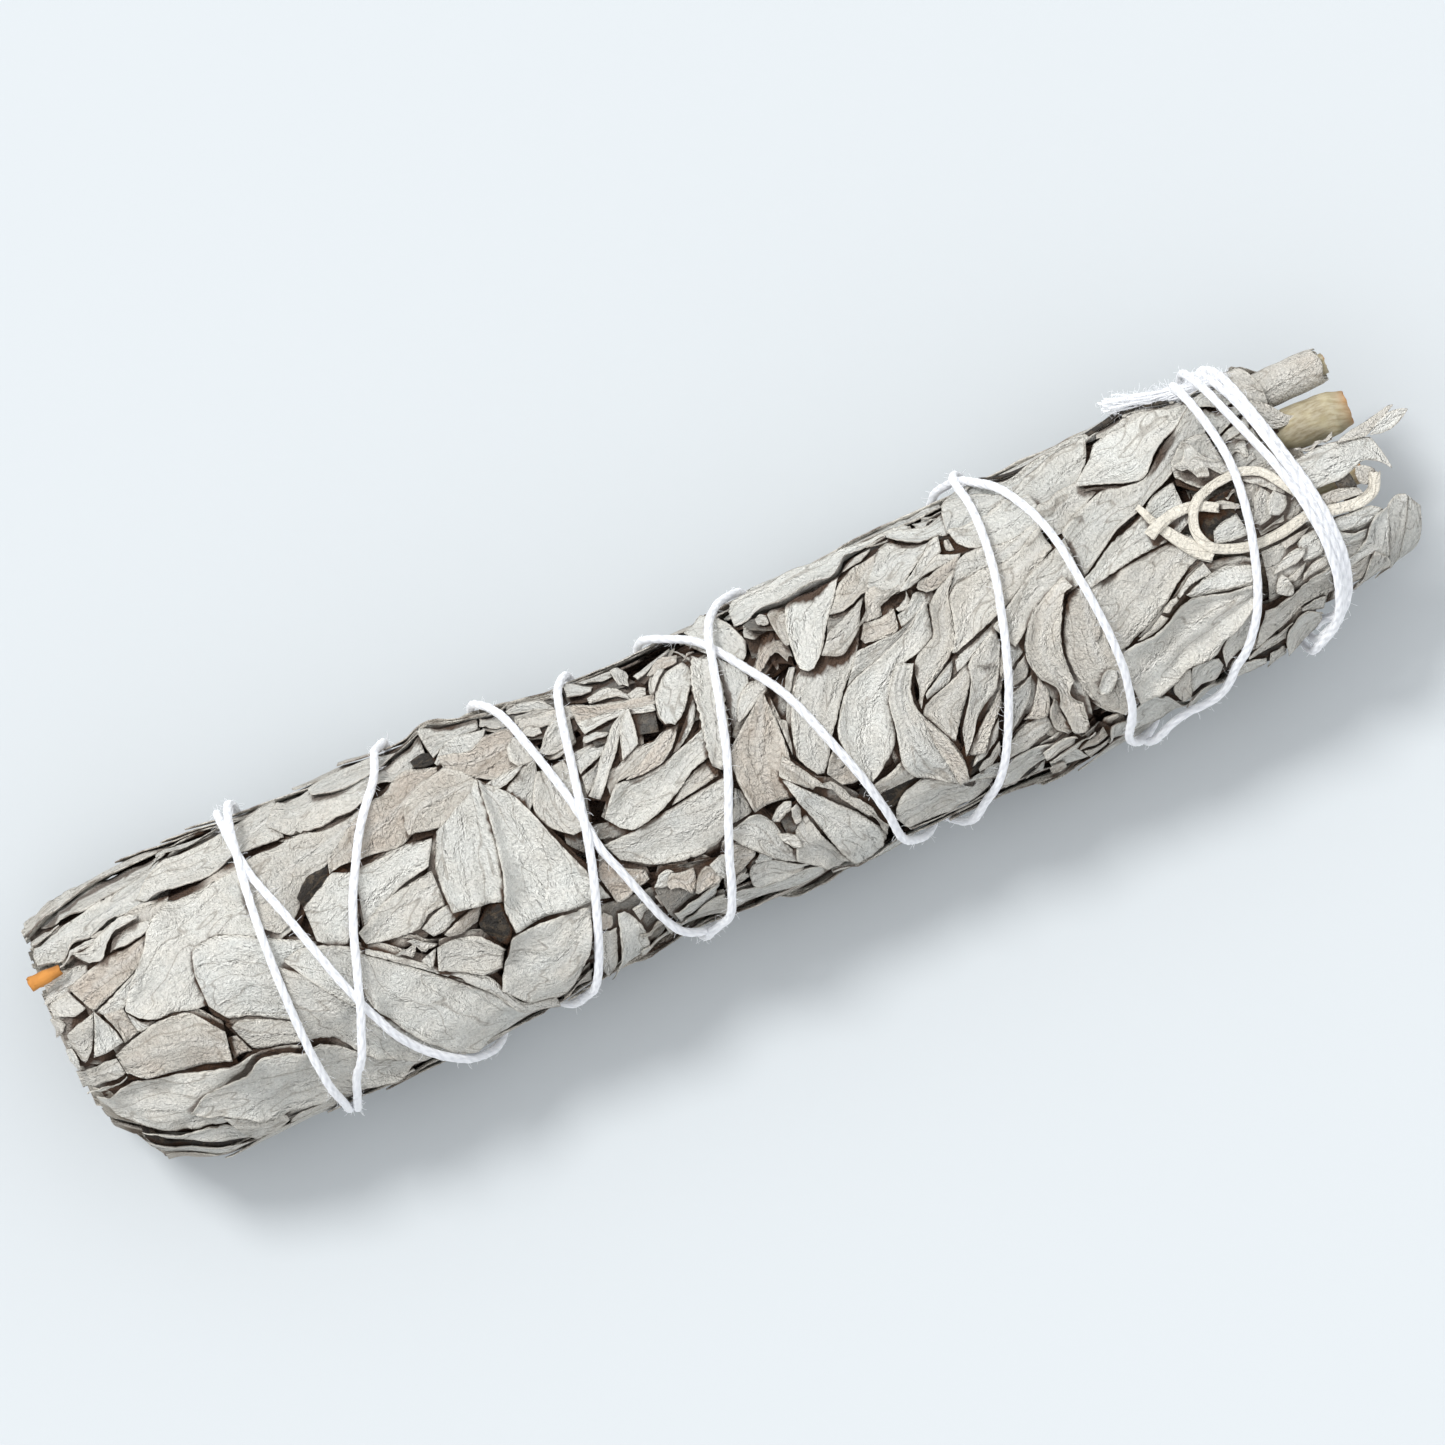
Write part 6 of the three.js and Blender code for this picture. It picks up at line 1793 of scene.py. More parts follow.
@dataclass(frozen=True)
class RolledLeaf:
    """A leaf rolled into a tube round a thin stem, on the shoulder of the stem end."""

    start: float = 205.2
    end: float = 220.0
    angle: float = 68.0  # degrees round from the top
    sunk: float = 2.2  # how deep it lies among the leaves
    radius: float = 2.8
    inner: float = 2.0  # the radius of its innermost turn
    turns: float = 2.2
    unrolled: float = 30.0  # the leaf's width
    stem_radius: float = 1.7
    stem_ends: tuple[float, float] = (204.2, 220.8)

    def centre(self) -> tuple[float, float]:
        """The Y and Z of the roll's middle.

        Returns:
            Y and Z.
        """
        girth = math.radians(self.angle) * GIRTH_RADIUS
        seat = skin_point(self.start, girth, self.radius + 0.42 - self.sunk)
        return float(seat[1]) - 0.7, float(seat[2])

    def build(self) -> dict[str, PieceMesh]:
        """Builds the roll and its stem, and raises the relief to the roll's top.

        Returns:
            The pieces by the CAD node that each stands for.
        """
        y, z = self.centre()
        roll = PieceMesh("rolled_leaf_wrap")
        rows, columns = 34, 84
        x = np.linspace(self.start, self.end, rows)[:, None]
        w = np.linspace(0, 1, columns)[None, :]
        rng = np.random.default_rng(21)
        turn = w * 2 * math.pi * self.turns + 0.5 + 0.02 * (x - self.start)
        spread = noise_waves(rng, x + 0 * w, turn * 2, [(7, 0.09), (3.1, 0.05)])
        radius = self.inner + 0.98 * w + spread * w - 0.25 * smoothstep((x - self.end + 1.2) / 1.2)
        cut = 0.35 * np.sin(3 * turn + 1) * smoothstep((x - self.end + 3) / 3)
        sheet = []
        for r in (radius + 0.17, radius):
            sides = y + r * np.sin(turn), z + r * np.cos(turn)
            sheet.append(np.stack([x + cut - ORIGIN_ALONG, *sides], -1))
        leaf = Leaf(np.zeros((2, 2)), np.ones((2, 2)), tone=0.1, hue=0.45, seed=77)
        surface = x - self.start + 0 * w, (w - 0.5) * self.unrolled + 0 * x
        half = np.full((rows, 1), self.unrolled / 2)
        LeafLayer().stitch(leaf, roll, sheet, surface, w * 2 - 1, half)
        stem = PieceMesh("rolled_leaf_core")
        line = np.array([(a - ORIGIN_ALONG, y, z) for a in np.linspace(*self.stem_ends, 24)])
        rod_along(stem, line, np.full(24, self.stem_radius), 22, 0.05, 91, (0.45, 0.6))
        girth = math.radians(self.angle) * GIRTH_RADIUS
        reach = np.arange(-self.radius, self.radius, 0.4)
        a, b = np.meshgrid(np.arange(self.start, self.end, 0.4), reach)
        top = 3.0 + 2.4 * smoothstep((a - self.start) / 2.5)  # before the pile is pressed
        drop = self.radius - np.sqrt(self.radius**2 - b * b)
        RELIEF.raise_to(a, girth + b, top - 2 * drop)
        return {"rolled_leaf": roll, "rolled_leaf_stem": stem}


@dataclass(frozen=True)
class CurledPetioles:
    """The dry leaf stalks on top: one curls in a loop, and two lie broken beside it."""

    LOOP = (
        *((208.4, -1), (206.4, 1.8), (204.2, 4.6), (200.6, 6.1), (196, 6.2), (192.6, 4.6)),
        *((191, 1.2), (191.9, -1.9), (194.8, -3.8), (198.6, -4.9), (203, -4.9)),
        *((208.4, -4), (211.4, -4.7), (215.4, -5.4), (218.8, -4.8), (220.3, -2.4)),
    )
    paths: tuple[tuple[float, float, Points], ...] = (
        # half the width at the start and the end, and the way it lies
        (0.5, 1.5, ((184.4, 7.8), (185.6, 5), (187, 2.6), (189, -0.4), (190.6, -2.2), (192, -3.2))),
        (1.0, 0.8, ((184.2, 3.3), (186.6, 4.2), (189.4, 4.9), (192.6, 4.6), (195.8, 2.9))),
        (0.7, 0.95, LOOP),
    )
    over: float = 0.75  # how high a stalk's middle is over the leaves
    flatness: float = 0.52  # thickness over width
    groove: float = 0.3

    def build(self) -> PieceMesh:
        """Lays the stalks on the leaves.

        Returns:
            Their one piece.
        """
        piece = PieceMesh("curled_stalk")
        for k, (first, last, path) in enumerate(self.paths):
            places = curve_through(from_above(path), 0.45)
            bed = RELIEF.bed(places[:, 0], places[:, 1], 2) + self.over
            height = np.maximum(bed, blur(blur(bed, 8, 0), 8, 0))
            height = np.maximum(blur(height, 3, 0), bed)
            line = skin_point(places[:, 0], places[:, 1], height)
            half = first + (last - first) * np.linspace(0, 1, len(line))
            shape = {"flatten": self.flatness, "groove": self.groove}
            rod_along(piece, line, half, 20, 0.04, 30 + k, (0.88, 0.25), **shape)
            for b in (-0.6, 0.0, 0.6):
                RELIEF.raise_to(places[:, 0], places[:, 1] + b, height + 0.45)
        return piece


@dataclass(frozen=True)
class PressedCore:
    """The pressed inner leaves, in a finish darkened as painted shade: a dark mass, and the leaf edges that
    show at both ends.
    """

    leafy_face: float = -1.5
    stem_face: float = 207.0
    mass_ends: tuple[float, float] = (6.0, 203.0)
    sunk: float = 3.2  # how far the mass lies under the pressed core's nominal radius
    rings: tuple[float, float, float] = (1.6, 16.6, 0.95)  # the first radius, the limit, the step
    lengths: tuple[float, float] = (7.0, 15.0)  # the range of a leaf edge's length
    widest: float = 2.4  # the widest angle that it covers, in radians
    reach: tuple[float, float] = (9.0, 16.0)  # the range of how far in from its end it goes
    thickness: float = 0.26

    def build(self) -> PieceMesh:
        """Builds the mass and the layers of leaf edges.

        Returns:
            Their one piece.
        """
        piece = PieceMesh("pressed_inner_leaves")
        self.mass(piece)
        rng = np.random.default_rng(8)
        for face, inward in ((self.leafy_face, 1), (self.stem_face, -1)):
            self.layers(piece, rng, face, inward)
        return piece

    def mass(self, piece: PieceMesh) -> None:
        """Adds the dark mass, which stops short of both ends.

        Args:
            piece: The piece that takes it.
        """
        rng = np.random.default_rng(3)
        rows, columns = 120, 90
        along = np.linspace(*self.mass_ends, rows)[:, None]
        girth = np.linspace(0, GIRTH, columns, endpoint=False)[None, :]
        waves = [(9, 0.25), (5, 0.2), (3, 0.12)]
        height = noise_waves(rng, along + 0 * girth, girth + 0 * along, waves) - self.sunk
        points = skin_point(along + 0 * girth, girth + 0 * along, height).reshape(-1, 3)
        ends = [points[:columns].mean(axis=0), points[-columns:].mean(axis=0)]
        points = np.vstack([points, ends])
        # a low tone, so that the mass takes some of the painted shade of a hollow
        marks = np.tile([0.6, 0.0, 0.1, 0.7], (len(points), 1))
        piece.add(points, tube_quads(rows, columns), marks, points[:, :2])

    def layers(self, piece: PieceMesh, rng: Random, face: float, inward: int) -> None:
        """Adds curved strips of leaf, seen on edge, in rings from the middle out.

        Args:
            piece: The piece that takes it.
            rng: The random numbers that place them.
            face: Where the end of the bunch is.
            inward: 1 at the leafy end and -1 at the stem end.
        """
        number = 0
        for ring in np.arange(*self.rings):
            turn = rng.uniform(0, 2 * math.pi)
            finish = turn + 2 * math.pi
            while turn < finish:
                span = min(rng.uniform(*self.lengths) / ring, self.widest)
                self.strip(piece, rng, face, inward, ring + rng.normal(0, 0.25), turn, span, number)
                turn += span * rng.uniform(0.75, 1.1)
                number += 1

    def strip(
        self,
        piece: PieceMesh,
        rng: Random,
        face: float,
        inward: int,
        ring: float,
        turn: float,
        span: float,
        number: int,
    ) -> None:
        """Adds one strip of leaf that ends at a cut face.

        Args:
            piece: The piece that takes it.
            rng: The random numbers that shape it.
            face: Where the end of the bunch is.
            inward: 1 at the leafy end and -1 at the stem end.
            ring: How far it lies from the bunch's middle line.
            turn: The angle at which it starts.
            span: The angle that it covers.
            number: Its number, which sets its stretch of the material.
        """
        rows, columns = 6, 13
        reach = rng.uniform(*self.reach)
        start = face + (rng.normal(0, 0.5) if inward > 0 else rng.normal(-1, 2.2) - 0.12 * ring)
        x = np.linspace(0, reach, rows)[:, None] * inward + start
        w = np.linspace(0, 1, columns)[None, :]
        half, middle = outline_at(x)
        scale = (half - LEAF_COVER) / 20.4
        wave = noise_waves(rng, x + 0 * w, w * span * ring, [(5, 0.28), (2.4, 0.16), (9, 0.35)])
        radius = ring + wave + 0.9 * (w - 0.5) * rng.uniform(-1, 1)
        angle = turn + w * span
        sheet = []
        for r in (radius + self.thickness / 2, radius - self.thickness / 2):
            y = middle + r * scale * np.sin(angle) * 1.19
            z = AXIS_HEIGHT + r * scale * np.cos(angle)
            notch = 0.0
            if inward > 0:  # the split twig lies in a notch at the leafy end
                notch = np.clip(3 - np.abs(y - 13.9) * 1.6, 0, 1) * 3.2 * (1 - np.abs(x - start) / reach)
            sheet.append(np.stack([x - ORIGIN_ALONG + notch * (z > 24) + 0 * w, y, z], -1))
        run = np.linspace(reach, 0, rows)[:, None]
        tone, hue = rng.normal(-0.15, 0.3), rng.uniform(0.1, 0.9)
        leaf = Leaf(np.zeros((2, 2)), np.ones((2, 2)), tone=tone, hue=hue, seed=300 + number)
        surface = run + 0 * w, (w - 0.5) * span * ring + 0 * x
        LeafLayer().stitch(leaf, piece, sheet, surface, w * 2 - 1, np.full((rows, 1), span * ring / 2))


# ------------------------------------------------------------------ the string


STRING_START = (206.5, 80.0)
STRING_END = (197.6, 64.0)
TAIL = (
    *((205.4, 20.6, 28), (202, 21.3, 27.6), (198, 21.8, 27), (194, 22.4, 26.6), (190, 23.5, 26.2)),
    *((185.5, 24.9, 25.8),),
)
TURNS: tuple[tuple[Points, Points], ...] = (
    # where each turn goes under the bunch, as distance along and angle round, and then over it
    (
        ((204, 90), (203, 180)),
        (
            *((203, -22.6), (206.4, -19.8), (209.2, -16), (210.5, -11.6), (210.7, -6.2)),
            *((210.1, -0.5), (208.8, 6), (207, 13), (204.6, 19.5)),
        ),
    ),
    (
        ((202.5, 90), (201, 180)),
        (
            *((202, -22.8), (205.5, -19.8), (208.2, -15.8), (209.5, -11.2), (209.6, -6)),
            *((209, 0), (207.6, 7), (205.6, 14), (203, 19.5)),
        ),
    ),
    (
        ((201, 90), (199.5, 180)),
        (
            *((201, -22.9), (204.6, -19.8), (207.4, -15.6), (208.5, -11), (208.5, -5)),
            *((207.6, 1), (205.6, 8), (203, 14.5), (200.6, 20)),
        ),
    ),
    (
        ((199, 90), (187, 180)),
        (
            *((168.4, -23.4), (170.6, -18), (171.8, -12), (172, -6)),
            *((171.5, 1), (170.2, 9.5), (167.6, 15.2), (163.2, 20.4)),
        ),
    ),
    (
        ((159.5, 90), (146, 180)),
        ((130, -22.8), (129, -17), (127.8, -11), (125.9, -5), (122.6, 4), (117.6, 12.4), (112.4, 19)),
    ),
    (
        ((106, 90), (101, 180)),
        ((95.4, -22), (92, -20), (88, -10), (86.1, -4), (85.4, 2), (82.6, 14), (79.8, 21.4)),
    ),
    (((77.5, 90), (73, 180), (64, 225)), ((53, -23.6), (46.6, -18.4), (42, -8.5), (37.6, 5), (34.8, 14))),
    (((33.8, 90), (33, 180)), ((32.9, -23.5), (31.8, -13), (32.1, -2), (33, 8), (34.6, 18))),
    (
        ((36.5, 90), (35.5, 180)),
        ((34.6, -24), (38, -17), (42, -9), (47.6, 3.4), (53, 12), (58.8, 18.6), (60.8, 23)),
    ),
    (
        ((62, 90), (62, 180), (67, 228)),
        ((74.6, -24), (80.6, -14), (83.2, -7.6), (85.3, -1), (88, 10), (90.4, 19)),
    ),
    (
        ((92.5, 90), (93, 180)),
        ((96, -22.8), (98.6, -21.4), (104, -12), (109.8, -0.6), (113, 8.8), (116, 18), (119, 22.6)),
    ),
    (
        ((121, 90), (130, 180)),
        ((142.5, -23.8), (147.8, -19.6), (153.8, -9.4), (157.6, 0.2), (160, 8.2), (161, 16), (160.4, 21.6)),
    ),
    (
        ((161, 90), (167, 180)),
        (
            *((174, -24), (183.4, -23), (190.6, -18), (194.8, -12.6)),
            *((198, -5), (199.8, 2), (200.4, 8), (199.4, 14.5)),
        ),
    ),
)


@dataclass
class CottonString:
    """Twisted cotton string, wound over the leaves and over itself, with a frayed end."""

    radius: float = 0.72
    step: float = 0.6  # between the points of its middle line
    pitch: float = 7.5  # of the twist of its three plies
    fuzz_length: float = 1.7
    strands: int = 110  # in the frayed tail
    strand_radius: float = 0.12
    stiffness: float = 0.011  # how fast it bends down from a high place
    bridge: int = 14  # the most points that it spans from a high place
    bite: float = 0.12  # how far it presses into what it lies on
    clear: float = 2.6  # no loose fibres stand out of it below this height
    shared: int = 16  # the points that one stretch shares with the next as it is wound
    tail: float = 0.7  # the radius of the frayed tail where it begins
    tail_spread: float = 1.1  # how much wider it is at its end

    def route(self) -> Array:
        """The string's places, as distance along and distance round counted up.

        Returns:
            Its points in order, one step apart.
        """
        places = [(STRING_START[0], math.radians(STRING_START[1]) * GIRTH_RADIUS)]
        for k, (under, over) in enumerate(TURNS):
            places += [(a, math.radians(angle) * GIRTH_RADIUS + k * GIRTH) for a, angle in under]
            places += [(a, g + (k + 1) * GIRTH) for a, g in from_above(over)]
        last = math.radians(STRING_END[1]) * GIRTH_RADIUS + len(TURNS) * GIRTH
        places.append((STRING_END[0], last))
        return curve_through(np.array(places), self.step)

    def ball_bed(self, along: Array, girth: Array) -> Array:
        """How high the string's middle must be to rest on what is under it.

        Args:
            along: Distances along the bunch.
            girth: Distances round it.

        Returns:
            The height at each place.
        """
        reach = int(self.radius / RELIEF.cell) + 1
        i, j = RELIEF.cells(along, girth)
        best = np.full(len(along), RELIEF.floor)
        for a in range(-reach, reach + 1):
            for b in range(-reach, reach + 1):
                apart = math.hypot(a, b) * RELIEF.cell
                if apart >= self.radius:
                    continue
                rows = np.clip(i + a, 0, RELIEF.rows - 1)
                height = RELIEF.height[rows, (j + b) % RELIEF.columns]
                best = np.maximum(best, height + math.sqrt(self.radius**2 - apart**2))
        return best

    def raise_under(self, along: Array, girth: Array, height: Array) -> None:
        """Raises the relief to the top of a stretch of the string.

        Args:
            along: Distances along the bunch.
            girth: Distances round it.
            height: Heights of the string's middle.
        """
        for a in np.arange(-self.radius, self.radius + 0.1, 0.35):
            for b in np.arange(-self.radius, self.radius + 0.1, 0.35):
                square = self.radius**2 - a * a - b * b
                if square > 0:
                    RELIEF.raise_to(along + a, girth + b, height + math.sqrt(square))

    def tighten(self, rest: Array) -> Array:
        """Pulls the string tight, so that it bridges dips between the high places.

        Args:
            rest: The height at which each point would rest by itself.

        Returns:
            The heights of the tight string.
        """
        best = rest.copy()
        for k in range(1, self.bridge + 1):
            drop = self.stiffness * (k * self.step) ** 2
            best[k:] = np.maximum(best[k:], rest[:-k] - drop)
            best[:-k] = np.maximum(best[:-k], rest[k:] - drop)
        return blur(best, 4, 0)

    def wind(self) -> Array:
        """Winds the string over the relief, a quarter turn at a time.

        Returns:
            Its points, in millimetres.
        """
        places = self.route()
        along, girth = places[:, 0], places[:, 1]
        height = np.zeros(len(places))
        chunk = int(GIRTH / 4 / self.step)
        margin = self.shared
        for start in range(0, len(places), chunk):
            low, high = max(0, start - margin), min(len(places), start + chunk + margin)
            rest = self.ball_bed(along[low:high], girth[low:high])
            if low < start:
                rest[: start - low] = np.minimum(rest[: start - low], height[low:start])
            tight = self.tighten(rest) - self.bite
            done = min(len(places), start + chunk)
            height[start:done] = tight[start - low : done - low]
            if start:
                share = smoothstep(np.arange(margin) / margin)[: done - start]
                kept = height[start : start + len(share)]
                offset = height[start - 1] - kept[0]
                height[start : start + len(share)] = kept + offset * (1 - share)
            if start >= chunk:
                back = slice(start - chunk, start)
                self.raise_under(along[back], girth[back], height[back])
        line = skin_point(along, girth, height - self.radius, self.radius)
        line[:, 2] = np.maximum(line[:, 2], self.radius + 0.05)
        LOG.info("string: %.0f mm wound", np.linalg.norm(np.diff(line, axis=0), axis=1).sum())
        return line

    def clear_of_floor(self, line: Array) -> list[Array]:
        """The stretches of the string that are high enough for loose fibres.

        Args:
            line: The string's middle line.

        Returns:
            The middle line of each stretch.
        """
        high = line[:, 2] > self.clear
        cuts = np.flatnonzero(np.diff(high.astype(int))) + 1
        runs = np.split(np.arange(len(line)), cuts)
        return [line[run] for run in runs if high[run[0]] and len(run) > 3]

    def fray(self) -> list[Array]:
        """The strands of the untwisted tail, which lies along the side of the bunch.

        Returns:
            The middle line of each.
        """
        rng = np.random.default_rng(12)
        plan = np.array(TAIL, float) - [ORIGIN_ALONG, 0, 0]
        middle = curve_through(plan, 0.7)
        run = np.linspace(0, 1, len(middle))[:, None]
        strands = []
        for _ in range(self.strands):
            turn, size = rng.uniform(0, 2 * math.pi), rng.uniform(0.1, 1) ** 0.6
            out = np.array([0, math.cos(turn), math.sin(turn)]) * size
            out = out * (self.tail + self.tail_spread * run**1.4)
            wave = np.sin(run * rng.uniform(5, 16, 3) + rng.uniform(0, 6, 3)) * [0.2, 0.3, 0.3] * (0.3 + run)
            keep = int(len(middle) * rng.uniform(0.55, 1.0))
            strands.append((middle + out + wave)[:keep])
        return strands

    def build(self) -> dict[str, Piece]:
        """Builds the plied string, its frayed end and its fuzz as separate pieces.

        Returns:
            The pieces by name.
        """
        line = self.wind()
        cotton = CottonFinish().build()
        strands = self.fray()
        fuzzy = self.clear_of_floor(line) + strands[::3]
        jobs = {
            "twisted_string": (PlyNodes(cotton, self.radius, self.pitch), [line]),
            "frayed_end": (StrandNodes(cotton, self.strand_radius), strands),
            "string_fuzz": (FuzzNodes(cotton, self.fuzz_length), fuzzy),
        }
        return {name: nodes.sweep(name, lines) for name, (nodes, lines) in jobs.items()}


class NodeMaker:
    """Adds nodes with their settings and links to one tree."""

    def __init__(self, tree: bpy.types.NodeTree) -> None:
        """Keeps the tree."""
        self.tree = tree

    def add(self, kind: str, settings: Optional[dict] = None, **inputs: object) -> Node:
        """Adds a node.

        Args:
            kind: The node's type.
            settings: Properties of the node.
            **inputs: What feed takes.

        Returns:
            The node.
        """
        node = self.tree.nodes.new(kind)
        for name, value in (settings or {}).items():
            setattr(node, name, value)
        self.feed(node, **inputs)
        return node

    def feed(self, node: Node, **inputs: object) -> None:
        """Sets or links a node's inputs.

        Args:
            node: The node.
            **inputs: Values or output sockets by input name, with _ for a space, or i and a
                number for an input by its place.
        """
        for name, value in inputs.items():
            place = name[1:]
            socket = node.inputs[int(place) if name[0] == "i" and place.isdigit() else name.replace("_", " ")]
            if isinstance(value, Socket):
                self.tree.links.new(value, socket)
            else:
                socket.default_value = value

    def math(self, operation: str, *values: object, clamp: bool = False) -> Socket:
        """Adds a step of arithmetic.

        Args:
            operation: Its name.
            *values: Numbers or sockets, in order.
            clamp: Whether the result is held between 0 and 1.

        Returns:
            The result's socket.
        """
        settings = {"operation": operation, "use_clamp": clamp}
        inputs = {f"i{k}": value for k, value in enumerate(values)}
        return self.add("ShaderNodeMath", settings, **inputs).outputs[0]

    def noise(self, place: Socket, scale: float, detail: float, rough: float = 0.5) -> Socket:
        """Adds a noise texture and returns its value."""
        inputs = {"Vector": place, "Scale": scale, "Detail": detail, "Roughness": rough}
        return self.add("ShaderNodeTexNoise", **inputs).outputs[0]

    def cells(self, place: Socket, scale: float) -> Socket:
        """Adds a net of flat cells and returns the distance to its nearest line."""
        settings = {"feature": "DISTANCE_TO_EDGE", "voronoi_dimensions": "2D"}
        return self.add("ShaderNodeTexVoronoi", settings, Vector=place, Scale=scale).outputs[0]

    def stretch(self, place: Socket, along: float, across: float) -> Socket:
        """Scales surface coordinates along and across the piece."""
        return self.add("ShaderNodeMapping", Vector=place, Scale=(along, across, 1.0)).outputs[0]

    def mix(self, share: Socket, first: Colour, second: Colour) -> Socket:
        """Mixes two colours, each a socket or a hex colour, and returns the result."""
        first, second = (linear(c) if isinstance(c, str) else c for c in (first, second))
        return self.add("ShaderNodeMix", {"data_type": "RGBA"}, i0=share, i6=first, i7=second).outputs[2]

    def ramp(self, value: Socket, low: float, high: float, first: float = 0.0, last: float = 1.0) -> Socket:
        """Maps a range of values onto another, held at its ends."""
        inputs = {"Value": value, "From_Min": low, "From_Max": high, "To_Min": first, "To_Max": last}
        return self.add("ShaderNodeMapRange", **inputs).outputs[0]


class SweepNodes:
    """A Geometry Nodes tree that makes something along polylines, and what runs it."""

    def __init__(self, material: Material, **sizes: float) -> None:
        """Keeps the material that the tree sets and the sizes that it reads, in metres."""
        self.material = material
        self.sizes = {name.replace("_", " "): size for name, size in sizes.items()}

    def fill(self, make: NodeMaker, curve: Socket, sizes: list[Socket]) -> Socket:
        """Adds the nodes between the curve and the finished mesh."""
        raise NotImplementedError

    def tree(self, name: str) -> bpy.types.NodeTree:
        """Makes the tree: lines and sizes in, one dressed mesh out.

        Args:
            name: The tree's name.

        Returns:
            The tree.
        """
        tree = bpy.data.node_groups.new(name, "GeometryNodeTree")
        sockets = tree.interface
        sockets.new_socket("Lines", in_out="INPUT", socket_type="NodeSocketGeometry")
        for size in self.sizes:
            sockets.new_socket(size, in_out="INPUT", socket_type="NodeSocketFloat")
        sockets.new_socket("Piece", in_out="OUTPUT", socket_type="NodeSocketGeometry")
        make = NodeMaker(tree)
        inputs = make.add("NodeGroupInput")
        curve = make.add("GeometryNodeMeshToCurve", i0=inputs.outputs[0]).outputs[0]
        made = self.fill(make, curve, [inputs.outputs[size] for size in self.sizes])
        real = make.add("GeometryNodeRealizeInstances", i0=made)
        smooth = make.add("GeometryNodeSetShadeSmooth", i0=real.outputs[0])
        dressed = make.add("GeometryNodeSetMaterial", i0=smooth.outputs[0], Material=self.material)
        make.add("NodeGroupOutput", i0=dressed.outputs[0])
        return tree

    def sweep(self, name: str, lines: list[Array]) -> Piece:
        """Runs the tree over lines and returns the finished piece.

        Args:
            name: The piece's name.
            lines: Middle lines, in millimetres.

        Returns:
            An object with a plain mesh and no modifier.
        """
        tree = self.tree(f"{name}_nodes")
        source = bpy.data.meshes.new(f"{name}_lines")
        edges, count = [], 0
        for line in lines:
            edges += [(count + k, count + k + 1) for k in range(len(line) - 1)]
            count += len(line)
        source.from_pydata((np.vstack(lines) * MM).tolist(), edges, [])
        carrier = in_scene(f"{name}_carrier", source)
        modifier = carrier.modifiers.new("sweep", "NODES")
        modifier.node_group = tree
        for item in tree.interface.items_tree:
            if item.item_type == "SOCKET" and item.in_out == "INPUT" and item.name in self.sizes:
                modifier[item.identifier] = self.sizes[item.name]
        bpy.context.view_layer.update()
        seen = carrier.evaluated_get(bpy.context.evaluated_depsgraph_get())
        mesh = bpy.data.meshes.new_from_object(seen)
        mesh.name = name
        places = np.empty(3 * len(mesh.vertices), np.float32)
        mesh.vertices.foreach_get("co", places)
        mesh.vertices.foreach_set("co", within_box(places.reshape(-1, 3) / MM).ravel() * MM)
        bpy.data.objects.remove(carrier)
        if not mesh.materials:
            mesh.materials.append(self.material)
        return in_scene(name, mesh)


class PlyNodes(SweepNodes):
    """Three plies twisted together along each line."""

    PLIES = 3
    SIDES = 6

    def __init__(self, material: Material, radius: float, pitch: float) -> None:
        """Sets the string's radius and the length of one turn of its twist."""
        offset, ply, rate = radius * 0.13 * MM, radius * 0.87 * MM, 2 * math.pi / (pitch * MM)
        super().__init__(material, Ply_Offset=offset, Ply_Radius=ply, Turns_Per_Metre=rate)

    def fill(self, make: NodeMaker, curve: Socket, sizes: list[Socket]) -> Socket:
        """Winds each ply round the line and gives it a round section.

        Args:
            make: Adds nodes to the tree.
            curve: The lines as a curve.
            sizes: The sockets of the sizes, in their order.

        Returns:
            The mesh's socket.
        """
        offset, radius, rate = sizes
        length = make.add("GeometryNodeSplineParameter").outputs["Length"]
        normal = make.add("GeometryNodeInputNormal").outputs[0]
        tangent = make.add("GeometryNodeInputTangent").outputs[0]
        across = make.add("ShaderNodeVectorMath", {"operation": "CROSS_PRODUCT"}, i0=tangent, i1=normal)
        turn = make.math("MULTIPLY", length, rate)
        section = make.add("GeometryNodeCurvePrimitiveCircle", Resolution=self.SIDES, Radius=radius)
        joined = make.add("GeometryNodeJoinGeometry")
        for k in range(self.PLIES):
            angle = make.math("ADD", turn, 2 * math.pi * k / self.PLIES)
            parts = []
            for operation, way in (("COSINE", normal), ("SINE", across.outputs[0])):
                size = make.math("MULTIPLY", make.math(operation, angle), offset)
                part = make.add("ShaderNodeVectorMath", {"operation": "SCALE"}, i0=way, Scale=size)
                parts.append(part.outputs[0])
            shift = make.add("ShaderNodeVectorMath", {"operation": "ADD"}, i0=parts[0], i1=parts[1])
            ply = make.add("GeometryNodeSetPosition", Geometry=curve, Offset=shift.outputs[0])
            shapes = {"i0": ply.outputs[0], "i1": section.outputs[0]}
            swept = make.add("GeometryNodeCurveToMesh", Fill_Caps=True, **shapes)
            make.feed(joined, i0=swept.outputs[0])
        return joined.outputs[0]


class StrandNodes(SweepNodes):
    """One thin round strand along each line."""

    SIDES = 5

    def __init__(self, material: Material, radius: float) -> None:
        """Sets the strands' radius."""
        super().__init__(material, Strand_Radius=radius * MM)

    def fill(self, make: NodeMaker, curve: Socket, sizes: list[Socket]) -> Socket:
        """Gives each strand a round section.

        Args:
            make: Adds nodes to the tree.
            curve: The lines as a curve.
            sizes: The sockets of the sizes, in their order.

        Returns:
            The mesh's socket.
        """
        section = make.add("GeometryNodeCurvePrimitiveCircle", Resolution=self.SIDES, Radius=sizes[0])
        swept = make.add("GeometryNodeCurveToMesh", i0=curve, i1=section.outputs[0], Fill_Caps=True)
        return swept.outputs[0]


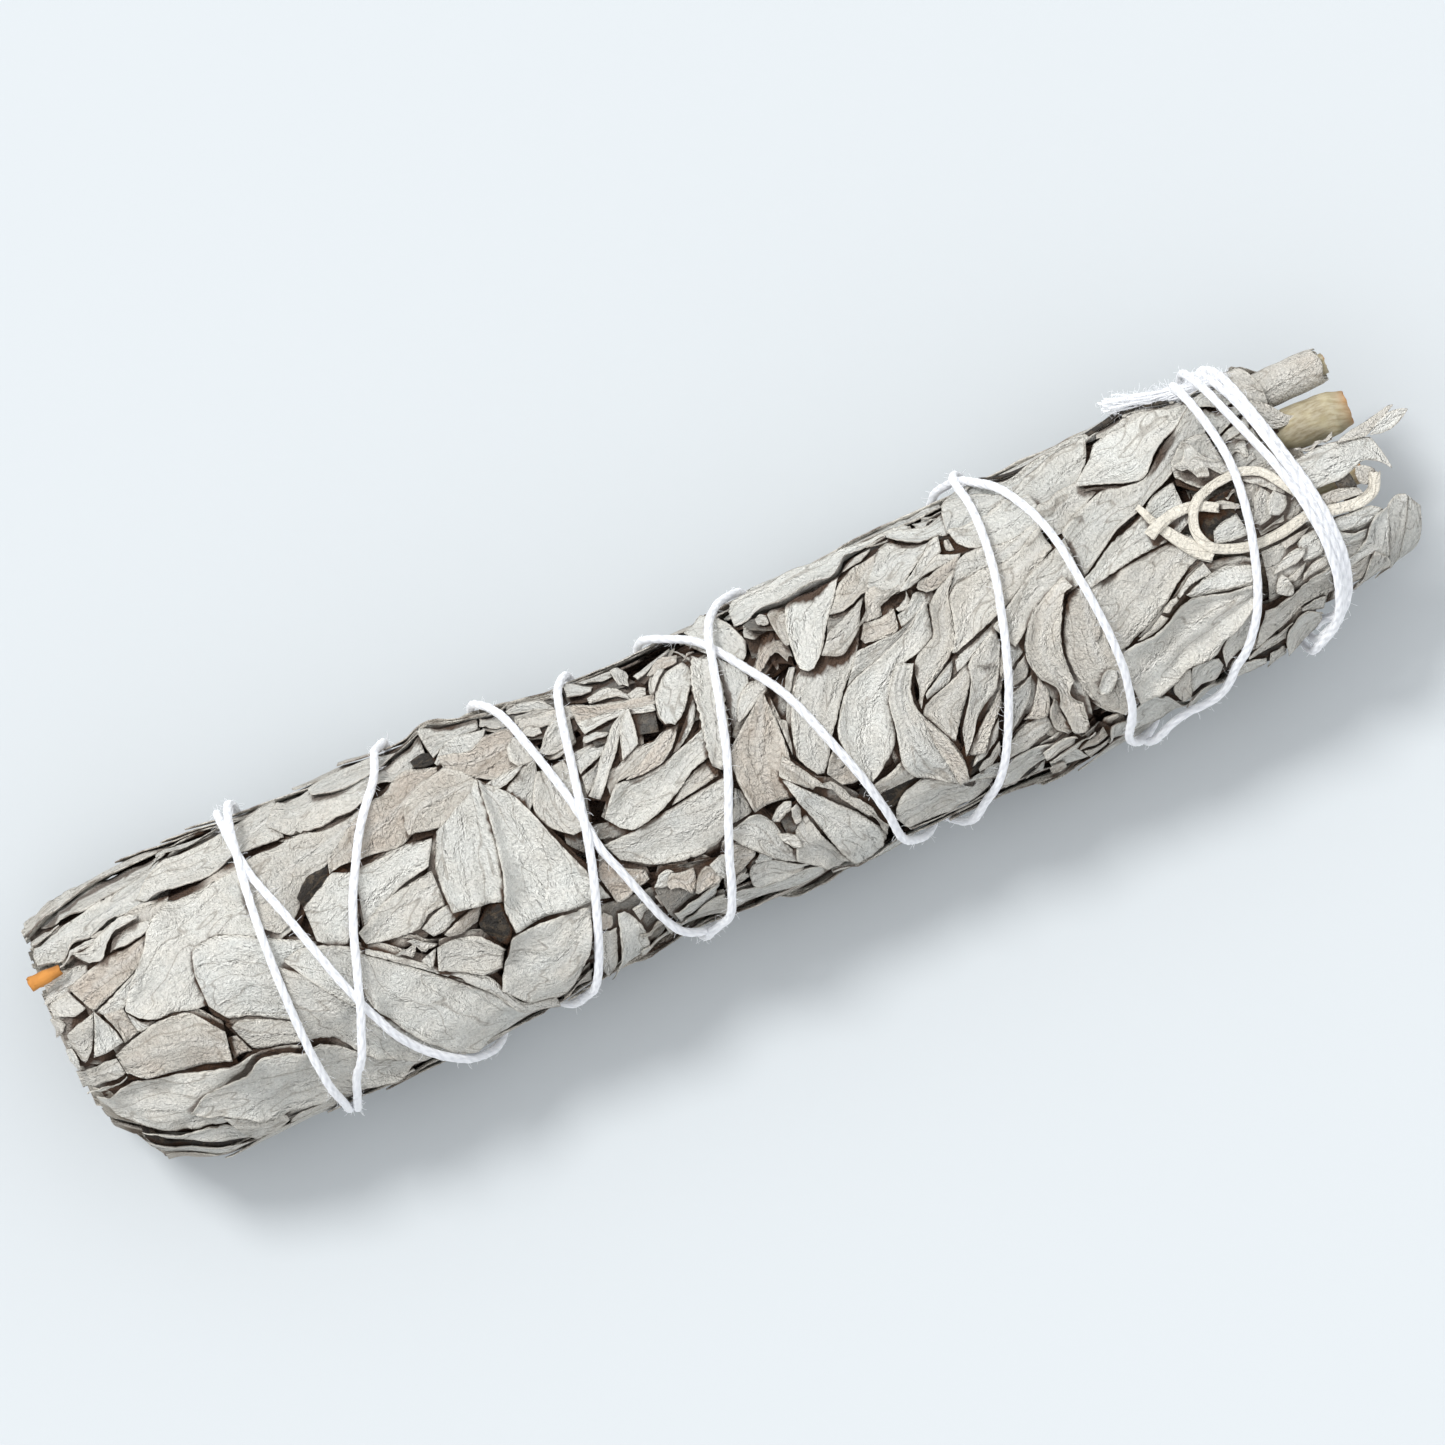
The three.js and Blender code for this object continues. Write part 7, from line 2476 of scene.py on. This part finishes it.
class FuzzNodes(SweepNodes):
    """Short loose fibres that stand out of the string on every side."""

    SPACING = 0.464  # along the string
    THICKNESS = 0.02  # radius of a fibre, as a share of its length
    ANY_WAY = 3.2  # radians, to either side

    def __init__(self, material: Material, length: float) -> None:
        """Sets the fibres' greatest length."""
        super().__init__(material, Fibre_Length=length * MM, Spacing=self.SPACING * MM)

    def fill(self, make: NodeMaker, curve: Socket, sizes: list[Socket]) -> Socket:
        """Sets a bent fibre at each place along the string, turned at random.

        Args:
            make: Adds nodes to the tree.
            curve: The lines as a curve.
            sizes: The sockets of the sizes, in their order.

        Returns:
            The socket of the placed fibres.
        """
        length, spacing = sizes
        points = make.add("GeometryNodeCurveToPoints", {"mode": "LENGTH"}, i0=curve, Length=spacing)
        fibre = make.add(
            "GeometryNodeCurvePrimitiveBezierSegment",
            {"mode": "POSITION"},
            Resolution=4,
            Start=(0, 0, 0),
            Start_Handle=(0.0, 0.0, 0.4),
            End_Handle=(0.25, 0.1, 0.8),
            End=(0.75, 0.3, 0.9),
        )
        section = make.add("GeometryNodeCurvePrimitiveCircle", Resolution=3, Radius=self.THICKNESS)
        solid = make.add("GeometryNodeCurveToMesh", i0=fibre.outputs[0], i1=section.outputs[0])
        span = {"Min": (-self.ANY_WAY,) * 3, "Max": (self.ANY_WAY,) * 3}
        turned = make.add("FunctionNodeRandomValue", {"data_type": "FLOAT_VECTOR"}, Seed=5, **span)
        grown = make.add("FunctionNodeRandomValue", {"data_type": "FLOAT"}, i2=0.5, i3=1.0, Seed=6)
        size = make.math("MULTIPLY", grown.outputs[1], length)
        placed = make.add(
            "GeometryNodeInstanceOnPoints",
            Points=points.outputs[0],
            Instance=solid.outputs[0],
            Rotation=turned.outputs[0],
            Scale=size,
        )
        return placed.outputs[0]


# ------------------------------------------------------------------ finishes


@dataclass(frozen=True)
class Finish:
    """A material made only of nodes."""

    name: str = "finish"

    def build(self) -> Material:
        """Makes the material.

        Returns:
            The material.
        """
        material = bpy.data.materials.new(self.name)
        material.use_nodes = True
        tree = material.node_tree
        tree.nodes.clear()
        make = NodeMaker(tree)
        shader = make.add("ShaderNodeBsdfPrincipled")
        make.add("ShaderNodeOutputMaterial", Surface=shader.outputs[0])
        self.dress(make, shader)
        return material

    def dress(self, make: NodeMaker, shader: Node) -> None:
        """Adds the nodes that feed the shader."""
        raise NotImplementedError

    @staticmethod
    def marks(make: NodeMaker) -> tuple[Socket, Socket, Socket, Socket]:
        """The four values that each point carries for its material.

        Args:
            make: Adds nodes to the material.

        Returns:
            For a leaf its edge, which sets its scorch and painted highlight, its rib, its tone, whose
            lowest values paint the shade of a hollow, and its hue, and for a stem its cut face, ring, tone
            and hue.
        """
        marks = make.add("ShaderNodeAttribute", {"attribute_name": "marks"})
        parts = make.add("ShaderNodeSeparateColor", Color=marks.outputs["Color"]).outputs
        return parts[0], parts[1], parts[2], marks.outputs["Alpha"]

    @staticmethod
    def surface(make: NodeMaker) -> Socket:
        """The piece's own surface coordinates, in millimetres."""
        return make.add("ShaderNodeUVMap", {"uv_map": "surface_mm"}).outputs[0]


@dataclass(frozen=True)
class DriedLeafFinish(Finish):
    """Air-dried sage leaf: matt, downy and net-veined, with brown scorched edges, painted highlights and
    shade.

    The down gives a soft pale sheen and hides any gloss. The net of veins between the ribs stands
    out by about a twentieth of a millimetre, in cells a little over a millimetre wide.
    """

    name: str = "dried sage leaf"
    pale: str = "dfdfd9"
    beige: str = "d8d2c7"
    mauve: str = "cdbfb0"
    edge: str = "5a4334"
    # the painted highlight along each edge
    rim: str = "f2ecdf"
    vein: str = "eceae4"  # the midrib
    net: str = "84725c"  # the net of veins
    # painted shade along the soft folds
    crease_shade: str = "66543f"
    hollow_shade: tuple[str, str] = ("1d150d", "4c4031")  # the mottled painted shade of a hollow between leaves
    gap_shade: str = "472b12"  # painted shade in the gaps between leaves
    shade: float = 1.0
    cell: float = 1.25  # width of a vein's cell
    folds: float = 3.4  # height of the soft folds along the leaf
    blotches: float = 190.0  # how many there are to a metre, as in the three that follow
    specks: float = 2100.0
    hollow_mottling: float = 700.0  # of the mottling in a hollow's painted shade
    bumps: float = 850.0

    def dress(self, make: NodeMaker, shader: Node) -> None:
        """Colours the leaf by its own marks, paints highlight and shade on it, and lays the veins and folds
        over it.

        Args:
            make: Adds nodes to the material.
            shader: The node that they feed.
        """
        rim, rib, tone, hue = self.marks(make)
        surface = self.surface(make)
        place = make.add("ShaderNodeTexCoord").outputs["Object"]
        blotch = make.noise(place, self.blotches, 4.0, 0.6)
        speck = make.noise(place, self.specks, 3.0, 0.7)
        bent = make.add("ShaderNodeTexNoise", Vector=surface, Scale=0.5, Detail=2.0).outputs["Color"]
        shift = make.add("ShaderNodeVectorMath", {"operation": "ADD"}, i0=surface, i1=bent).outputs[0]
        veins = make.ramp(make.cells(shift, 1 / self.cell), 0.0, 0.16, 1.0, 0.0)
        colour = self.ground(make, tone, hue, blotch, speck)
        colour = make.mix(make.math("MULTIPLY", rib, 0.45), colour, self.vein)
        share = make.ramp(hue, 0.35, 0.75, 0.03, 0.17)
        colour = make.mix(make.math("MULTIPLY", veins, share), colour, self.net)
        # a painted highlight along every edge, under the scorch
        colour = make.mix(make.math("MULTIPLY", rim, 0.8), colour, self.rim)
        scorch = make.ramp(make.math("MULTIPLY", rim, blotch), 0.44, 0.6, 0.0, 0.75)
        colour = make.mix(scorch, colour, self.edge)
        # tones near -1 are painted with the mottled shade of a hollow
        hollow_mottle = make.ramp(make.noise(place, self.hollow_mottling, 4.0, 0.7), 0.5, 0.6)
        hollow_shade = make.ramp(tone, 0.0, 0.17, 0.96, 0.0)
        colour = make.mix(hollow_shade, colour, make.mix(hollow_mottle, *self.hollow_shade))
        swell = make.noise(make.stretch(surface, 0.07, 0.26), 1.0, 1.5)
        # painted shade in a thin line along each soft fold
        crease_shade = make.math("ABSOLUTE", make.math("SUBTRACT", swell, 0.5))
        colour = make.mix(make.ramp(crease_shade, 0.002, 0.012, 0.4, 0.0), colour, self.crease_shade)
        # painted shade in the gaps, darkest where the pile stands higher towards the light
        gap_shade = make.add("ShaderNodeAttribute", {"attribute_name": "gap_shade"}).outputs["Fac"]
        colour = make.mix(make.ramp(gap_shade, 0.2, 0.74, 0.0, 0.94), colour, self.gap_shade)
        height = make.math("MULTIPLY_ADD", make.noise(place, self.bumps, 3.0, 0.6), 0.9, speck)
        streak = make.noise(make.stretch(shift, 0.45, 1.5), 1.1, 4.0, 0.6)
        height = make.math("MULTIPLY_ADD", streak, 0.9, height)
        height = make.math("MULTIPLY_ADD", veins, make.ramp(hue, 0.3, 0.7, -0.06, -0.2), height)
        veinlets = make.ramp(make.cells(shift, 2.6 / self.cell), 0.0, 0.2, 1.0, 0.0)
        height = make.math("MULTIPLY_ADD", veinlets, -0.1, height)
        folds = make.add("ShaderNodeBump", Distance=self.folds * MM, Height=swell).outputs[0]
        bump = make.add("ShaderNodeBump", Distance=MM, Height=height, Normal=folds).outputs[0]
        make.feed(shader, Base_Color=colour, Roughness=0.88, Specular_IOR_Level=0.12, Normal=bump)
        make.feed(shader, Sheen_Weight=0.05, Sheen_Roughness=0.6)

    def ground(self, make: NodeMaker, tone: Socket, hue: Socket, blotch: Socket, speck: Socket) -> Socket:
        """The leaf's own colour, from grey-green through beige to mauve, blotched and mottled.

        Args:
            make: Adds nodes to the material.
            tone: How light the leaf is.
            hue: Its colour.
            blotch: A coarse noise.
            speck: A fine noise.

        Returns:
            The colour.
        """
        warmth = make.math("ADD", hue, make.math("MULTIPLY_ADD", blotch, 0.9, -0.45), clamp=True)
        colour = make.mix(make.ramp(warmth, 0.0, 0.55), self.pale, self.beige)
        colour = make.mix(make.ramp(warmth, 0.55, 1.0), colour, self.mauve)
        lift = make.ramp(tone, 0.0, 1.0, 0.8 * self.shade, 1.24 * self.shade)
        mottle = make.ramp(speck, 0.35, 0.65, 0.86, 1.12)
        for value in (lift, mottle):
            colour = make.add("ShaderNodeHueSaturation", Value=value, Color=colour).outputs[0]
        return colour


@dataclass(frozen=True)
class CottonFinish(Finish):
    """Bleached cotton string: bright white, with no gloss and soft fine fibres, and a faint painted glow."""

    name: str = "bleached cotton string"
    white: str = "ffffff"
    cool: str = "f6f7fa"
    shadow: str = "d6d9e0"  # between the fibres
    fibres: float = 2600.0  # how many there are to a metre
    clouds: float = 260.0

    def dress(self, make: NodeMaker, shader: Node) -> None:
        """Gives the cotton its faint streaks and fibres.

        Args:
            make: Adds nodes to the material.
            shader: The node that they feed.
        """
        place = make.add("ShaderNodeTexCoord").outputs["Object"]
        fibre = make.noise(place, self.fibres, 3.0, 0.7)
        colour = make.mix(make.noise(place, self.clouds, 2.0), self.white, self.cool)
        colour = make.mix(make.ramp(fibre, 0.3, 0.7, 0.16, 0.0), colour, self.shadow)
        bump = make.add("ShaderNodeBump", Strength=0.5, Distance=0.12 * MM, Height=fibre).outputs[0]
        make.feed(shader, Base_Color=colour, Roughness=0.95, Specular_IOR_Level=0.15, Normal=bump)
        # a faint glow, painted light that keeps the white string as bright as in full light
        make.feed(shader, Emission_Color=(0.85, 0.9, 1.0, 1.0), Emission_Strength=0.06)
        make.feed(shader, Subsurface_Weight=0.6, Subsurface_Radius=(1.0,) * 3, Subsurface_Scale=1.2 * MM)
        make.feed(shader, Sheen_Weight=0.3, Sheen_Roughness=0.5)


@dataclass(frozen=True)
class StemFinish(Finish):
    """Dry sage wood: tan bark with fine furrows, and an orange-brown cut face with pale pith."""

    name: str = "dry sage stem"
    bark: str = "a39a84"
    furrow: str = "7d6f50"
    lichen: str = "bfb592"  # the paler blotches of the bark
    cut: str = "bd803c"
    knife: str = "6f4020"  # the darker blotches of the cut face
    pith: str = "dcc193"
    blotches: float = 300.0  # how many to a metre

    def dress(self, make: NodeMaker, shader: Node) -> None:
        """Draws furrows along the stem and rings on its cut faces.

        Args:
            make: Adds nodes to the material.
            shader: The node that they feed.
        """
        end, ring, _, _ = self.marks(make)
        place = make.add("ShaderNodeTexCoord").outputs["Object"]
        grain = make.noise(make.stretch(self.surface(make), 0.5, 1.5), 1.0, 5.0, 0.6)
        blotch = make.noise(place, self.blotches, 3.0)
        bark = make.mix(make.ramp(grain, 0.42, 0.62, 0.0, 0.75), self.bark, self.furrow)
        bark = make.mix(make.ramp(blotch, 0.45, 0.7, 0.0, 0.4), bark, self.lichen)
        sawn = make.mix(make.ramp(ring, 0.15, 0.75), self.pith, self.cut)
        sawn = make.mix(make.ramp(blotch, 0.4, 0.6, 0.0, 0.45), sawn, self.knife)
        colour = make.mix(end, bark, sawn)
        bump = make.add("ShaderNodeBump", Strength=0.6, Distance=0.25 * MM, Height=grain).outputs[0]
        make.feed(shader, Base_Color=colour, Roughness=0.75, Specular_IOR_Level=0.3, Normal=bump)


# ------------------------------------------------------------------ stage


@dataclass(frozen=True)
class Stage:
    """The pale floor, the light and the camera above."""

    lens: float = 500.0
    sensor: float = 36.0
    view_width: float = 226.3 * MM  # how much the camera sees at the bunch's middle height
    aim: tuple[float, float, float] = (-0.56 * MM, 5.19 * MM, 22 * MM)
    turn: float = -25.0  # of the camera about its own line of sight
    floor_half: float = 1.6  # half the floor's side, in metres
    floor_colour: str = "bbbfc1"
    sky_colour: str = "f4f7fb"

    def floor(self) -> None:
        """Adds the floor with its matt paper-white finish."""
        mesh = bpy.data.meshes.new("floor")
        half = self.floor_half
        corners = [(-half, -half, 0), (half, -half, 0), (half, half, 0), (-half, half, 0)]
        mesh.from_pydata(corners, [], [(0, 1, 2, 3)])
        floor = in_scene("floor", mesh)
        paint = bpy.data.materials.new("matt pale card")
        paint.use_nodes = True
        shader = paint.node_tree.nodes["Principled BSDF"]
        shader.inputs["Base Color"].default_value = linear(self.floor_colour)
        shader.inputs["Roughness"].default_value = 0.95
        shader.inputs["Specular IOR Level"].default_value = 0.1
        mesh.materials.append(paint)

    def sun(self, name: str, height: float, bearing: float, spread: float, power: float) -> None:
        """Adds a distant light.

        Args:
            name: Its name.
            height: Its angle above the floor, in degrees.
            bearing: The direction that it comes from, in degrees from +X towards +Y.
            spread: Its apparent width, in degrees.
            power: Its strength.
        """
        light = bpy.data.lights.new(name, "SUN")
        light.angle = math.radians(spread)
        light.energy = power
        lamp = in_scene(name, light)
        lamp.rotation_euler = (math.radians(90 - height), 0, math.radians(bearing + 90))

    def light(self) -> None:
        """Adds an even sky and two suns from the far left, one of them broad and soft."""
        world = bpy.data.worlds.new("soft studio")
        world.use_nodes = True
        sky = world.node_tree.nodes["Background"]
        sky.inputs["Color"].default_value = linear(self.sky_colour)
        sky.inputs["Strength"].default_value = 1.0
        bpy.context.scene.world = world
        self.sun("broad window", height=74.0, bearing=118.0, spread=80.0, power=0.74)
        self.sun("clear window", height=54.0, bearing=114.0, spread=15.0, power=2.25)

    def camera(self) -> None:
        """Adds the camera, straight above and turned so that the bunch lies aslant."""
        lens = bpy.data.cameras.new("camera")
        lens.lens = self.lens
        lens.sensor_width = self.sensor
        lens.sensor_fit = "HORIZONTAL"
        lens.clip_end = 20
        camera = in_scene("camera", lens)
        distance = self.view_width * self.lens / self.sensor
        camera.location = (self.aim[0], self.aim[1], self.aim[2] + distance)
        camera.rotation_euler = (0, 0, math.radians(self.turn))
        bpy.context.scene.camera = camera

    def build(self) -> None:
        """Builds the whole stage."""
        bpy.context.scene.view_settings.view_transform = "Standard"
        self.floor()
        self.light()
        self.camera()


# ------------------------------------------------------------------ the bunch


class SageBunch:
    """Builds every piece of the bunch in the order it is laid, and ties each to the frame."""

    def __init__(self) -> None:
        """Makes the finishes."""
        self.outer = DriedLeafFinish(name="dried sage leaf, outer").build()
        self.cover = DriedLeafFinish(name="dried sage leaf, cover", shade=0.93).build()
        # the inner leaves are painted darker, as the shade inside the bunch
        shaded_inside = {"pale": "a89e8e", "beige": "8c7d6b", "mauve": "6f5f55", "edge": "3d2e25", "shade": 0.75}
        self.inner = DriedLeafFinish(name="pressed sage leaf", **shaded_inside).build()
        cream = {"pale": "ece3cf", "beige": "e2d7c0", "mauve": "b3a592", "edge": "8a7a66"}
        self.stalk = DriedLeafFinish(name="dry leaf stalk", cell=2.5, folds=0.3, **cream).build()
        self.wood = StemFinish().build()

    def tie(self, piece: Piece, slot: str, *nodes: str) -> None:
        """Rides a piece on the bunch and hides the nodes that it stands for.

        Args:
            piece: The piece.
            slot: A material slot's name; not used.
            *nodes: The CAD nodes that it stands for, if any.
        """
        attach(piece, "root")
        if nodes:
            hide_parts(*nodes)
        LOG.info("%s: %d faces, for %s", piece.name, len(piece.data.polygons), ", ".join(nodes) or "none")

    def build(self) -> None:
        """Builds and ties every piece."""
        pads = [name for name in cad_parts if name.startswith("inner_leaves")]
        self.tie(PressedCore().build().make(self.inner), "inner_leaf", *pads)
        for node, piece in WoodyStems().build().items():
            self.tie(piece.make(self.wood), "stem", node)
        sprays = make_sprays()
        LOG.info("cover leaves: %d", CoverLeaves(sprays).lay())
        rolled = RolledLeaf().build()
        traced = TracedLeaves(sprays)
        LOG.info("top leaves: %d", traced.lay())
        LOG.info("side leaves: %d", SideLeaves(sprays).lay())
        petioles = CurledPetioles().build()
        RELIEF.settle()
        cotton = CottonString().build()
        pressed = PressedLeaves().lay()
        for spray in sprays:
            self.tie(spray.piece.make(self.cover), "cover_leaf", spray.node)
        for node, piece in traced.own.items():
            self.tie(piece.make(self.outer), "outer_leaf", node)
        for node, piece in pressed.items():
            self.tie(piece.make(self.cover), "cover_leaf", node)
        self.tie(petioles.make(self.stalk), "petiole", "curled_petiole")
        self.tie(rolled["rolled_leaf"].make(self.cover), "cover_leaf", "rolled_leaf")
        self.tie(rolled["rolled_leaf_stem"].make(self.wood), "stem", "rolled_leaf_stem")
        self.tie(cotton["twisted_string"], "string", "binding_string")
        self.tie(cotton["frayed_end"], "string")
        self.tie(cotton["string_fuzz"], "string")


def main() -> None:
    """Builds the stage and the bunch."""
    logging.basicConfig(level=logging.INFO, format="%(name)s: %(message)s")
    Stage().build()
    SageBunch().build()
    bpy.context.view_layer.update()


if __name__ == "__main__":
    main()
